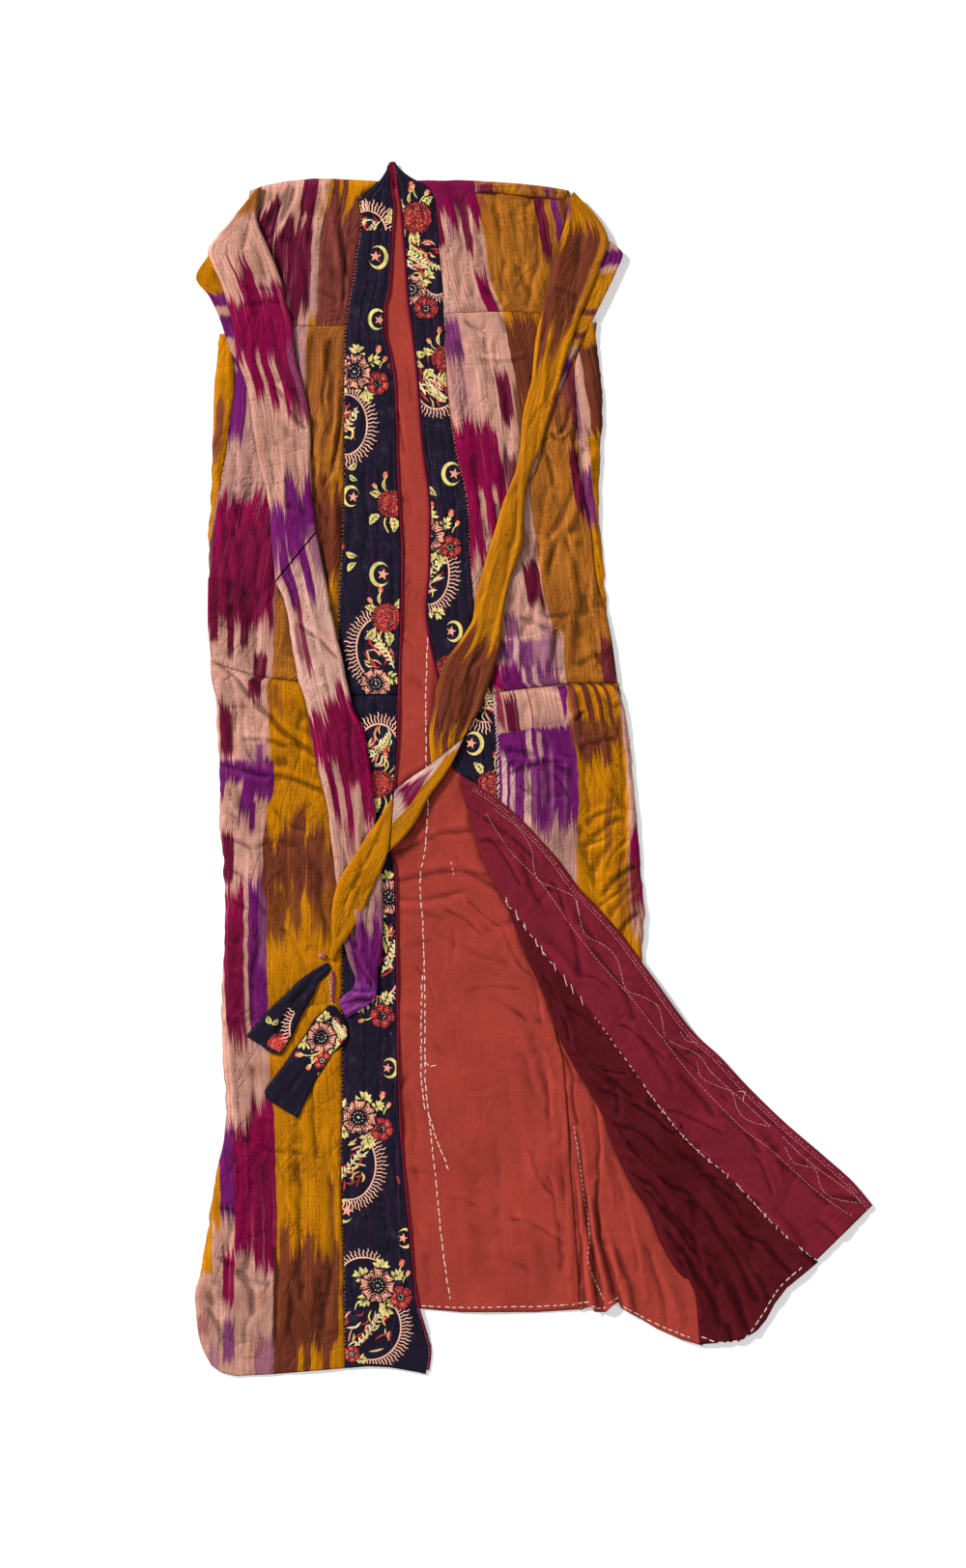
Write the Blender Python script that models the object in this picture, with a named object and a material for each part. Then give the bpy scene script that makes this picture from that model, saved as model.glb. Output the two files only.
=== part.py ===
"""Ikat robe with long false sleeves, laid flat and face up on a surface.

The robe is built the way it is cut: every length of cloth is a thin wall of its own,
and the lengths lie on each other in layers.  The plan of the robe, as it lies, is drawn
on squares of SQUARE metres: x grows to the right, y grows from the collar to the hem.
"""
import math

import bmesh
import bpy
import numpy as np

for _ob in list(bpy.data.objects):
    bpy.data.objects.remove(_ob, do_unlink=True)

# ------------------------------------------------------------------ driving sizes (metres)
SQUARE = 0.0011            # one square of the lay-out plan
PLAN_X, PLAN_Y = 552.5, 796.0   # plan square that lies over the origin
GAP = 0.0003               # between pieces that are sewn or lie together

BACK_T = 0.0012            # back cloth
LINING_Z, LINING_T = 0.0015, 0.0012
FRONT_Z, FRONT_T = 0.0030, 0.0018     # fronts: cloth and its own lining, as one wall
BAND_T = 0.0021            # quilted front bands
UPPER_Z, UPPER_T = 0.0054, 0.0012     # what lies straight on the fronts
SLEEVE_Z, SLEEVE_T = 0.0069, 0.0024   # flattened sleeve tubes
OVER_Z = SLEEVE_Z + SLEEVE_T + GAP    # a sleeve that crosses the other sleeve
CUFF_Z = 0.0054
ROLL = 0.009               # width over which a side fold turns down
HEM_Y = 1364.0             # the back's hem; the fronts reach past it and come down
HEM_RUN = 30.0             # squares over which they come down
SIDE_X, SIDE_RUN = 684.0, 40.0        # where the turned-back front leaves the body

COLOURS = {
    "mustard": (0.50, 0.25, 0.04, 1), "pink": (0.56, 0.33, 0.27, 1),
    "plum": (0.24, 0.01, 0.09, 1), "navy": (0.02, 0.02, 0.05, 1),
    "brick": (0.36, 0.06, 0.04, 1), "maroon": (0.10, 0.01, 0.02, 1),
    "crimson": (0.20, 0.02, 0.04, 1), "piping": (0.13, 0.01, 0.02, 1),
}


def table(columns, *rows):
    """A table with named columns, one row for each section or fold."""
    a = np.array(rows, float)
    return {n: a[:, i] for i, n in enumerate(columns.split())}


def at(tab, key, by, v):
    return np.interp(v, tab[by], tab[key])


# ------------------------------------------------------------------ edges of the body
LEFT_EDGE = table("y x",
    (338, 226), (365, 226), (400, 222), (470, 219), (520, 217), (563, 216), (640, 215),
    (680, 218), (700, 219), (720, 222), (790, 226), (850, 228), (900, 232), (940, 234),
    (1000, 230), (1050, 229), (1100, 231), (1150, 234), (1180, 232), (1210, 225),
    (1260, 217), (1310, 210), (1345, 202), (1380, 204), (1405, 214), (1425, 226))
LEFT_ARMHOLE = table("y x", (185, 259), (200, 257), (263, 251), (330, 245), (338, 243))
LEFT_GORE_SEAM = table("y x",
    (338, 243), (365, 243), (400, 243), (430, 239), (470, 234), (486, 231), (520, 226),
    (563, 220.5), (596, 217))
LEFT_BAND_SEAM = table("y x",
    (176, 400.3), (186, 394), (192, 388), (203, 375), (207, 371), (224, 373), (240, 373),
    (255, 370), (290, 366), (320, 360), (338, 358), (365, 356.5), (400, 356), (500, 356),
    (560, 354), (620, 351), (660, 350), (706, 351), (760, 352), (850, 353), (1000, 354),
    (1100, 354), (1215, 353), (1317, 356), (1425, 357))
LEFT_FREE_EDGE = table("y x",
    (167, 402.8), (176, 402), (186, 403), (192, 404), (203, 405.5), (216, 407), (240, 405.5), (275, 404),
    (300, 402), (320, 397), (345, 397.5), (365, 403), (400, 408), (467, 410), (530, 413),
    (572, 415), (639, 414), (706, 412), (765, 410.5), (822, 407), (880, 404), (900, 408),
    (996, 410), (1100, 411), (1160, 413), (1243, 420), (1299, 425), (1350, 431),
    (1382, 440), (1400, 444), (1423, 441))
RIGHT_FREE_EDGE = table("y x",
    (167, 409.7), (174, 409.5), (183, 411), (189, 412), (199, 413.5), (209, 415), (239, 418), (275, 421),
    (306, 423), (349, 428.5), (392, 433), (457, 438), (534, 446), (591, 445), (630, 442),
    (668, 447), (700, 454), (750, 462), (791, 468), (801, 474.5), (806, 478))
RIGHT_BAND_SEAM = table("y x",
    (174, 413), (183, 424), (187, 431), (191, 439), (199, 447), (209, 450), (224, 452),
    (262, 455), (306, 459), (327, 459.5), (345, 460), (388, 462), (400, 463), (467, 472),
    (524, 484), (572, 486), (620, 490), (668, 499), (690, 503.8), (700, 506),
    (709, 508), (763, 514), (806, 515))
RIGHT_ARMHOLE = table("y x", (187, 585), (200, 590), (250, 599), (290, 603), (327, 604))
RIGHT_GORE_SEAM = table("y x",
    (327, 604), (345, 600), (388, 595), (440, 598), (470, 600), (510, 605), (545, 612),
    (600, 618), (640, 627))
RIGHT_EDGE = table("y x",
    (327, 618), (345, 618), (365, 619), (388, 622), (400, 623), (440, 624), (470, 622),
    (510, 620), (545, 621), (570, 623), (600, 626), (640, 629), (668, 634), (690, 637),
    (712, 640), (735, 645), (763, 652), (800, 655), (850, 660), (898, 663), (945, 667),
    (985, 665), (1050, 664), (1150, 665), (1240, 665))
# the fold over which the lower right front is turned back
TURN_FOLD = table("y x",
    (806, 476), (830, 481), (870, 491), (930, 522), (991, 545), (1037, 565), (1080, 581),
    (1121, 604), (1157, 624), (1186, 634), (1223, 651), (1255, 671), (1281, 680),
    (1311, 696), (1340, 718), (1392, 723))
# seams across the lengths, as y for an x
LEFT_TOP = table("x y", (257, 199), (271, 194), (296, 188), (310, 186), (345, 185), (392, 188))
LEFT_CROSS_1 = table("x y", (240, 338), (358, 338))
LEFT_CROSS_2 = table("x y", (217, 685), (240, 693), (275, 702), (310, 706), (352, 706))
LEFT_HEM = table("x y", (214, 1405), (226, 1421), (240, 1425), (283, 1423), (357, 1417))
BAND_HEM = table("x y", (357, 1417), (381, 1415), (403, 1416), (433, 1421), (441, 1423))
RIGHT_TOP = table("x y", (431, 187), (490, 187), (510, 188), (560, 193), (590, 198))
RIGHT_CROSS_1 = table("x y", (459, 325), (520, 323), (604, 327))
RIGHT_CROSS_2 = table("x y", (508, 718), (592, 708), (640, 708))
PATCH_FOOT = table("x y", (513, 763), (592, 753))
BACK_HEM = table("x y", (205, 1355), (432, 1355), (478, 1359), (555, 1359), (600, 1356))

# ------------------------------------------------------------------ the largest folds
# ridges in the fronts, running down the cloth: half width in squares, height in metres
FRONT_RIDGES = table("x0 y0 x1 y1 half high",
    (296, 1190, 300, 1370, 9, 0.0016), (330, 1180, 322, 1390, 8, 0.0014),
    (252, 1180, 236, 1390, 9, 0.0022), (262, 860, 258, 1060, 8, 0.0012),
    (312, 1200, 314, 1300, 8, 0.0012), (545, 820, 560, 860, 9, 0.0008),
    (624, 770, 634, 960, 8, 0.0013), (586, 560, 592, 690, 9, 0.0012),
    (604, 500, 612, 680, 8, 0.0012))
# pleats of the side gore's lining, by share of its width
GORE_PLEATS = table("share half high start",
    (0.10, 0.050, 0.0042, 0.35), (0.24, 0.045, 0.0052, 0.45), (0.40, 0.050, 0.0030, 0.60))


def ridges(x, y, tab=FRONT_RIDGES):
    """Height added by the long ridges at plan point x, y."""
    z = np.zeros(np.broadcast(x, y).shape)
    for i in range(len(tab["x0"])):
        ax, ay, bx, by = (tab[k][i] for k in ("x0", "y0", "x1", "y1"))
        dx, dy = bx - ax, by - ay
        n = math.hypot(dx, dy)
        t = ((x - ax) * dx + (y - ay) * dy) / n ** 2
        d = ((x - ax) * dy - (y - ay) * dx) / n
        end = np.clip(np.minimum(t, 1 - t) * 5 + 0.2, 0, 1)
        z = z + tab["high"][i] * np.exp(-(d / tab["half"][i]) ** 2) * end * (t > -0.04) * (t < 1.04)
    return z


def turn_down(d, drop, run=ROLL):
    """How far a wall sinks at distance d from a folded edge."""
    q = np.clip(1 - d / run, 0, 1)
    return drop * (1 - np.sqrt(1 - q * q))


def world(x, y, z):
    return np.stack([(x - PLAN_X) * SQUARE, (PLAN_Y - y) * SQUARE, z], axis=-1)


# ------------------------------------------------------------------ building walls
def wall(name, low, high, colour, rough=0.85):
    """Closed wall between two grids of points of the same shape."""
    nr, nc = low.shape[:2]
    bm = bmesh.new()
    lo = [[bm.verts.new(low[i, j]) for j in range(nc)] for i in range(nr)]
    hi = [[bm.verts.new(high[i, j]) for j in range(nc)] for i in range(nr)]
    for i in range(nr - 1):
        for j in range(nc - 1):
            bm.faces.new((hi[i][j], hi[i + 1][j], hi[i + 1][j + 1], hi[i][j + 1]))
            bm.faces.new((lo[i][j], lo[i][j + 1], lo[i + 1][j + 1], lo[i + 1][j]))
    for i in range(nr - 1):
        bm.faces.new((lo[i][0], lo[i + 1][0], hi[i + 1][0], hi[i][0]))
        bm.faces.new((lo[i][-1], hi[i][-1], hi[i + 1][-1], lo[i + 1][-1]))
    for j in range(nc - 1):
        bm.faces.new((lo[0][j], hi[0][j], hi[0][j + 1], lo[0][j + 1]))
        bm.faces.new((lo[-1][j], lo[-1][j + 1], hi[-1][j + 1], hi[-1][j]))
    bmesh.ops.recalc_face_normals(bm, faces=bm.faces)
    me = bpy.data.meshes.new(name)
    bm.to_mesh(me)
    bm.free()
    ob = bpy.data.objects.new(name, me)
    bpy.context.collection.objects.link(ob)
    mat = bpy.data.materials.new(name + "_cloth")
    mat.use_nodes = True
    b = mat.node_tree.nodes["Principled BSDF"]
    b.inputs["Base Color"].default_value = COLOURS[colour]
    b.inputs["Roughness"].default_value = rough
    b.inputs["Metallic"].default_value = 0.0
    me.materials.append(mat)
    return ob


def across(width, n, fold_left=False, fold_right=False):
    """Shares of a width at which a wall has its lines: closer together at a fold."""
    w = max(width, 0.002)
    near = np.minimum(np.array([0.0015, 0.004, ROLL]), w * np.array([0.08, 0.2, 0.4])) / w
    s = np.linspace(0, 1, n + 1)
    if fold_left:
        s = np.concatenate([[0], near[:2], near[2] + (1 - near[2]) * np.linspace(0, 1, n - 1)])
    if fold_right:
        s = 1 - s[::-1] if fold_left else np.concatenate(
            [(1 - near[2]) * np.linspace(0, 1, n - 1), 1 - near[:2][::-1], [1]])
    return s


def panel(name, colour, left, right, y0, y1, top=None, foot=None, n=5, level=FRONT_Z,
          thick=FRONT_T, fold_left=False, fold_right=False, fold_top=False, ridge=True,
          side_gap=(0, 0), end_gap=(0, 0), lower_at_hem=False, longest=60.0):
    """A length of cloth between two edges, given as x for each y."""
    ys = {y0, y1}
    for t in (left, right):
        ys |= {float(v) for v in t["y"] if y0 + 3 < v < y1 - 3}
    ys = sorted(ys)
    if fold_top:
        ys = sorted(set(ys) | {y0 + 1.4, y0 + 3.6, y0 + ROLL / SQUARE})
    if lower_at_hem:
        ys = sorted(set(ys) | {HEM_Y + HEM_RUN * f for f in (0, 0.3, 0.65, 1)
                               if HEM_Y + HEM_RUN * f < y1 - 2})
    full = []
    for a, b in zip(ys, ys[1:]):
        m = max(1, math.ceil((b - a) / longest))
        full += [a + (b - a) * k / m for k in range(m)]
    full.append(ys[-1])
    g = GAP / SQUARE
    px, py = [], []
    for y in full:
        t = (y - y0) / (y1 - y0)
        xl = at(left, "x", "y", y) + side_gap[0] * g
        xr = at(right, "x", "y", y) - side_gap[1] * g
        s = across((xr - xl) * SQUARE, n, fold_left, fold_right)
        x = xl + (xr - xl) * s
        yy = np.full_like(x, y)
        if top is not None:
            yy = yy + (at(top, "y", "x", x) - y0) * (1 - t) ** 4
        if foot is not None:
            yy = yy + (at(foot, "y", "x", x) - y1) * t ** 6
        yy = yy + end_gap[0] * g * (1 - t) ** 4 - end_gap[1] * g * t ** 6
        xl2 = np.interp(yy, left["y"], left["x"]) + side_gap[0] * g
        xr2 = np.interp(yy, right["y"], right["x"]) - side_gap[1] * g
        px.append(xl2 + (xr2 - xl2) * s)
        py.append(yy)
    px, py = np.array(px), np.array(py)
    z = np.full(px.shape, level)
    if ridge:
        z = z + ridges(px, py)
    sink = np.zeros_like(z)
    if fold_left:
        sink = np.maximum(sink, turn_down((px - at(left, "x", "y", py)) * SQUARE, level))
    if fold_right:
        sink = np.maximum(sink, turn_down((at(right, "x", "y", py) - px) * SQUARE, level))
    if fold_top:
        sink = np.maximum(sink, turn_down((py - at(top, "y", "x", px)) * SQUARE, level))
    z = z - sink
    if lower_at_hem:
        u = np.clip((py - HEM_Y) / HEM_RUN, 0, 1)
        z = z * (1 - u * u * (3 - 2 * u))
    z = np.maximum(z, 0)
    return wall(name, world(px, py, z), world(px, py, z + thick), colour)


def strip(name, colour, tab, n=4, thick=SLEEVE_T, z=None, fold=False, turned=False,
          bulge=None, rise=0.0, round_edge=0.0, under_fold=False, rough=0.85):
    """A strip lofted through sections; each section is a row lx ly rx ry (and z)."""
    k = len(tab["lx"])
    zz = tab["z"] if "z" in tab else np.full(k, z)
    px, py, pz, ps = [], [], [], []
    for i in range(k):
        lx, ly, rx, ry = (tab[c][i] for c in ("lx", "ly", "rx", "ry"))
        w = math.hypot(rx - lx, ry - ly)
        s = across(w * SQUARE, n, fold or under_fold)
        px.append(lx + (rx - lx) * s)
        py.append(ly + (ry - ly) * s)
        if bulge is not None and i == k - 1:
            out = np.interp(s, bulge["share"], bulge["out"])
            nx, ny = -(ry - ly) / w, (rx - lx) / w
            px[-1] = px[-1] + nx * out
            py[-1] = py[-1] + ny * out
        pz.append(np.full(len(s), zz[i]))
        ps.append(s)
    px, py, pz, ps = (np.array(v) for v in (px, py, pz, ps))
    if under_fold:      # what lies inside the fold keeps clear of its turn
        px, py, pz, ps = (v[2:, 3:] for v in (px, py, pz, ps))
    if turned:
        pz = pz * side_level(px) + rise
    if fold:
        d = np.hypot(px - px[:, :1], py - py[:, :1]) * SQUARE
        low = LINING_Z + LINING_T + 0.0006
        floor = np.where(py > 1262, rise + 0.0003, low)
        pz = np.maximum(pz - turn_down(d, 1.0) * (pz - np.minimum(floor, pz)), 0.0)
    t = np.full(px.shape, thick)
    if round_edge:
        e = np.minimum(ps, 1 - ps)
        t = thick - round_edge * np.clip(1 - e / 0.2, 0, 1) ** 2
    return wall(name, world(px, py, pz), world(px, py, pz + t), colour, rough)


def side_level(x):
    """1 on the body, 0 where the turned-back front lies on the surface beside it."""
    u = np.clip((x - SIDE_X) / SIDE_RUN, 0, 1)
    return 1 - u * u * (3 - 2 * u)


# ------------------------------------------------------------------ back and linings
BACK_LEFT = table("y x",
    (189, 278), (200, 270), (263, 262), (330, 256), (338, 250), (345, 232), (400, 227), (520, 222),
    (640, 220), (720, 227), (850, 233), (940, 239), (1050, 234), (1150, 239), (1210, 230),
    (1310, 215), (1356, 208))
BACK_RIGHT = table("y x",
    (189, 576), (200, 580), (250, 590), (327, 596), (338, 604), (345, 611), (400, 618), (440, 619),
    (520, 615), (600, 620), (690, 631), (763, 646), (850, 654), (945, 660), (1050, 660),
    (1150, 661), (1240, 662), (1255, 670), (1281, 679), (1311, 695), (1340, 717),
    (1356, 718.5))
BACK_FOOT = table("x y",
    (205, 1354), (432, 1354), (478, 1358), (555, 1358), (600, 1354), (642, 1348),
    (667, 1369), (699, 1385), (722, 1391))
BACK_TOP = table("x y", (262, 206), (273, 202), (296, 195), (345, 190.5), (510, 193), (590, 205))
LINING_LEFT = table("y x", (196, 384), (400, 384), (1100, 384), (1356, 384))
LINING_RIGHT = table("y x",
    (196, 430), (262, 438), (345, 442), (400, 448), (467, 454), (572, 460), (640, 459),
    (700, 470), (763, 482), (806, 492), (870, 505), (930, 532), (991, 556), (1037, 574),
    (1060, 575), (1100, 583), (1150, 587), (1200, 590), (1225, 592), (1250, 594),
    (1280, 596), (1305, 598), (1330, 599), (1356, 600))
GORE_LINING = table("lx ly rx ry",
    (575.5, 1060, 588, 1062), (583.5, 1100, 606, 1100), (587.5, 1150, 629, 1150),
    (590.5, 1200, 645, 1200), (592.5, 1225, 655, 1226), (594.5, 1250, 669, 1255),
    (596.5, 1280, 679, 1281), (598.5, 1305, 695, 1311), (599.5, 1330, 717, 1340),
    (600.5, 1357, 722, 1392))
GORE_NOTCH = table("share out", (0, 0), (0.12, -3), (0.22, -2), (0.34, -21), (0.42, -19),
                   (0.55, -6), (0.66, -6), (0.80, 0), (1, 0))

panel("back_panel", "mustard", BACK_LEFT, BACK_RIGHT, 189, 1356, top=BACK_TOP, foot=BACK_FOOT,
      n=7, level=0.0, thick=BACK_T, ridge=False, longest=130)
panel("back_lining", "brick", LINING_LEFT, LINING_RIGHT, 196, 1356, foot=BACK_HEM, n=6,
      level=LINING_Z, thick=LINING_T, ridge=False, longest=90)


def gore_lining():
    """Side gore's lining, thrown into pleats that open towards the hem."""
    cols = [0, 0.05, 0.10, 0.15, 0.195, 0.24, 0.285, 0.34, 0.40, 0.46, 0.55, 0.66, 0.78, 0.9, 1]
    k = len(GORE_LINING["lx"])
    low = []
    for i in range(k):
        lx, ly, rx, ry = (GORE_LINING[c][i] for c in ("lx", "ly", "rx", "ry"))
        s = np.array(cols)
        x, y = lx + (rx - lx) * s, ly + (ry - ly) * s
        if i == k - 1:
            w = math.hypot(rx - lx, ry - ly)
            out = np.interp(s, GORE_NOTCH["share"], GORE_NOTCH["out"])
            x, y = x - (ry - ly) / w * out, y + (rx - lx) / w * out
        z = np.full(len(cols), LINING_Z)
        t = i / (k - 1)
        for share, half, high, start in zip(*(GORE_PLEATS[c] for c in
                                              ("share", "half", "high", "start"))):
            grow = np.clip((t - start) / 0.25, 0, 1)
            z = z + high * grow * np.clip(1 - np.abs(s - share) / half, 0, 1)
        low.append(world(x, y, z))
    low = np.array(low)
    wall("gore_lining", low, low + np.array([0, 0, LINING_T]), "brick")


gore_lining()

# ------------------------------------------------------------------ left front
panel("left_side_gore", "mustard", LEFT_EDGE, LEFT_GORE_SEAM, 346, 596, n=4,
      fold_left=True, side_gap=(0, 1), ridge=False)
panel("left_front_upper", "pink", LEFT_ARMHOLE, LEFT_BAND_SEAM, 187, 338, top=LEFT_TOP,
      foot=LEFT_CROSS_1, n=8, fold_left=True, fold_top=True, side_gap=(0, 1),
      end_gap=(0, 0.5))
LEFT_MIDDLE_EDGE = table("y x",
    (338, 243), (365, 243), (400, 243), (430, 239), (470, 234), (486, 231), (520, 226),
    (563, 220.5), (596, 217), (600, 215.5), (640, 215), (680, 218), (700, 219), (706, 220))
panel("left_front_middle", "pink", LEFT_MIDDLE_EDGE, LEFT_BAND_SEAM, 338, 706,
      top=LEFT_CROSS_1, foot=LEFT_CROSS_2, n=8, side_gap=(0, 1), end_gap=(0.5, 0.5))
panel("left_front_lower", "mustard", LEFT_EDGE, LEFT_BAND_SEAM, 706, 1417, top=LEFT_CROSS_2,
      foot=LEFT_HEM, n=13, fold_left=True, side_gap=(0, 1), end_gap=(0.5, 0),
      lower_at_hem=True)
panel("left_band_upper", "navy", LEFT_BAND_SEAM, LEFT_FREE_EDGE, 176, 720, n=4,
      thick=BAND_T, end_gap=(0, 0.5))
panel("left_band_lower", "navy", LEFT_BAND_SEAM, LEFT_FREE_EDGE, 720, 1417, foot=BAND_HEM,
      n=4, thick=BAND_T, end_gap=(0.5, 0), lower_at_hem=True)


def piping(name, edge, y0, y1, side, width=2.6):
    """Narrow edging along a front's free edge."""
    apart = 1.6 * GAP / SQUARE
    e0 = {"y": edge["y"], "x": edge["x"] + (apart if side > 0 else -width - apart)}
    e1 = {"y": edge["y"], "x": e0["x"] + width}
    return panel(name, "piping", e0, e1, y0, y1, n=2, thick=0.0024, ridge=False,
                 lower_at_hem=True)


piping("left_piping", LEFT_FREE_EDGE, 167, 1420, +1)

# ------------------------------------------------------------------ right front
panel("right_side_gore", "mustard", RIGHT_GORE_SEAM, RIGHT_EDGE, 334, 636, n=4,
      fold_right=True, side_gap=(1, 0), ridge=False)
panel("right_front_upper", "pink", RIGHT_BAND_SEAM, RIGHT_ARMHOLE, 187, 325, top=RIGHT_TOP,
      foot=RIGHT_CROSS_1, n=8, fold_right=True, fold_top=True, side_gap=(1, 0),
      end_gap=(0, 0.5))
RIGHT_MIDDLE_EDGE = table("y x",
    (327, 604), (345, 600), (388, 595), (440, 598), (470, 600), (510, 605), (545, 612),
    (600, 618), (640, 627), (644, 629.3), (668, 634), (690, 637), (712, 640), (720, 641.5))
panel("right_front_middle", "pink", RIGHT_BAND_SEAM, RIGHT_MIDDLE_EDGE, 325, 710,
      top=RIGHT_CROSS_1, foot=RIGHT_CROSS_2, n=9, side_gap=(1, 0), end_gap=(0.5, 1.5))
PATCH_RIGHT = table("y x", (700, 592), (770, 592))
PATCH_LEFT = table("y x", (700, 512), (763, 515.5))
panel("right_front_patch", "pink", PATCH_LEFT, PATCH_RIGHT, 716, 757, foot=PATCH_FOOT,
      n=4, level=FRONT_Z + FRONT_T + GAP, thick=0.0010, ridge=False)
LOWER_LEFT = table("y x",
    (700, 506), (709, 508), (763, 514), (830, 515.5), (900, 516.5), (930, 528), (991, 551),
    (1037, 571), (1080, 587), (1121, 610), (1157, 630), (1186, 640), (1215, 651))
panel("right_front_lower", "mustard", LOWER_LEFT, RIGHT_EDGE, 712, 1215, top=RIGHT_CROSS_2,
      n=11, fold_right=True, side_gap=(1, 0), end_gap=(0.5, 0))
BAND_DOWN = table("y x",
    (174, 409.5), (183, 411), (189, 412), (199, 413.5), (209, 415), (239, 418), (275, 421),
    (306, 423), (349, 428.5), (392, 433), (457, 438), (534, 446), (591, 445), (630, 442),
    (668, 447), (700, 454), (750, 462), (791, 468), (801, 474.5), (806, 482), (830, 488),
    (870, 499), (900, 512))
BAND_SEAM_DOWN = table("y x",
    (174, 413), (183, 424), (187, 431), (191, 439), (199, 447), (209, 450), (224, 452),
    (262, 455), (306, 459), (327, 459.5), (345, 460), (388, 462), (400, 463), (467, 472),
    (524, 484), (572, 486), (620, 490), (668, 499), (709, 508), (763, 514), (830, 515),
    (900, 515.5))
panel("right_band", "navy", BAND_DOWN, BAND_SEAM_DOWN, 174, 900, n=4, thick=BAND_T)
piping("right_piping", RIGHT_FREE_EDGE, 167, 801, -1)

# ------------------------------------------------------------------ turned-back right front
FACING = table("lx ly rx ry",
    (476, 808, 478, 804), (481, 830, 493, 812), (487, 850, 511, 824), (499, 887, 546, 855),
    (522, 930, 574, 886), (548, 966, 596, 916), (574, 1001, 636, 959),
    (616, 1053, 673, 1008), (661, 1116, 722, 1073), (683, 1147, 742, 1091),
    (715, 1185, 769, 1120), (758, 1222, 811, 1161), (801, 1268, 854, 1198),
    (825, 1290, 882, 1223), (845, 1305, 903, 1248))
LINING = table("lx ly rx ry",
    (522.5, 932, 525, 934), (545, 991, 564, 987.5), (565, 1037, 590, 1021),
    (581, 1080, 616, 1053.5), (604, 1121, 645, 1094), (624, 1157, 672, 1132),
    (634, 1186, 692, 1158), (651, 1223, 715, 1185.5), (671.5, 1255, 745, 1211),
    (681, 1281, 770, 1235), (697, 1311, 792, 1258), (719, 1340, 820, 1285),
    (724, 1392, 842, 1311))
LINING_HEM = table("share out", (0, 0), (0.25, 21), (0.40, 22), (0.50, 18), (0.62, 9),
                   (0.75, 3), (1, 0))


FLAP_RISE = UPPER_T + 2 * GAP
SEAM_IN = 1.0              # squares left free along the seam of lining and facing


def short_of_seam(tab):
    """The same sections, ending just short of the seam on their right."""
    t = {k: v.copy() for k, v in tab.items()}
    dx, dy = tab["rx"] - tab["lx"], tab["ry"] - tab["ly"]
    w = np.hypot(dx, dy)
    c = np.minimum(SEAM_IN, w * 0.3) / w
    t["rx"], t["ry"] = tab["rx"] - dx * c, tab["ry"] - dy * c
    return t


strip("flap_front", "pink", short_of_seam(LINING), n=8, thick=UPPER_T, z=UPPER_Z,
      turned=True, under_fold=True, bulge=LINING_HEM)
strip("flap_band", "navy", FACING, n=6, thick=UPPER_T, z=UPPER_Z, turned=True)
strip("flap_lining", "maroon", short_of_seam(LINING), n=8, thick=UPPER_T, z=UPPER_Z,
      turned=True, fold=True, rise=FLAP_RISE, bulge=LINING_HEM)
strip("flap_facing", "crimson", FACING, n=6, thick=UPPER_T, z=UPPER_Z, turned=True,
      rise=FLAP_RISE)

# ------------------------------------------------------------------ shoulder fold, gussets
SHOULDER = table("lx ly rx ry",
    (493, 192, 492, 200), (510, 190, 511, 200), (530, 191, 530, 203), (560, 194, 562, 204.5),
    (580, 197, 578, 208), (588, 199, 584, 208))
strip("right_shoulder_fold", "mustard", SHOULDER, n=4, thick=0.0034, z=UPPER_Z,
      round_edge=0.0016)
LEFT_GUSSET = table("lx ly rx ry",
    (215, 266, 240, 262), (203, 288, 246, 288), (217, 308, 250, 308), (227, 329, 254, 329),
    (236, 356, 258, 356), (249, 390, 262, 390))
strip("left_sleeve_gusset", "mustard", LEFT_GUSSET, n=2, thick=UPPER_T, z=UPPER_Z)
RIGHT_GUSSET = table("lx ly rx ry",
    (616, 252, 631, 250), (610, 268, 644.6, 264), (606, 284, 638.5, 280),
    (592, 323, 618, 323), (586, 337, 611, 337), (570, 380, 590, 380), (560, 421, 576, 421),
    (550, 455, 562, 455), (543, 480, 557, 480), (538, 505, 546, 507))
strip("right_sleeve_gusset", "pink", RIGHT_GUSSET, n=2, thick=UPPER_T, z=UPPER_Z)

# ------------------------------------------------------------------ false sleeves
LEFT_SLEEVE_TOP = table("lx ly rx ry z",
    (264, 198, 271, 194, 0.0069), (241, 227, 266, 224, 0.0069),
    (215.5, 263, 282, 265, 0.0069), (226, 288, 291, 288, 0.0069),
    (234, 310, 297, 312, 0.0069), (241, 339, 303, 338, 0.0069),
    (246.5, 374, 307, 374, 0.0069), (255.5, 400, 315, 400, 0.0069),
    (261, 438, 321.5, 438, 0.0069), (268, 480, 322.5, 480, 0.0069),
    (277, 515, 324, 515, 0.0069), (280, 540, 327, 540, 0.0072),
    (284.7, 602, 327, 550.5, 0.0074))
LEFT_SLEEVE_LOW = table("lx ly rx ry z",
    (285.3, 604, 328, 552, 0.0068), (294, 622, 334, 582, 0.0068),
    (299.5, 649, 341, 620, 0.0068), (303, 672, 349, 658, 0.0068),
    (308, 700, 357, 692, 0.0068), (317, 732, 364, 728, 0.0068),
    (322, 760, 378, 758, 0.0068), (330, 800, 385, 800, 0.0068),
    (338, 832, 388, 830, 0.0068), (343, 870, 391, 865, 0.0068),
    (347, 905, 395, 900, 0.0068), (350, 940, 397, 935, 0.0068),
    (353, 970, 397, 965, 0.0068), (357, 990, 396, 993, 0.0068),
    (362, 1006, 390, 1018, 0.0066), (361, 1022, 386, 1040, 0.0062),
    (356, 1031, 372, 1050, 0.0058), (351, 1036, 358, 1052, 0.0056))
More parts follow.
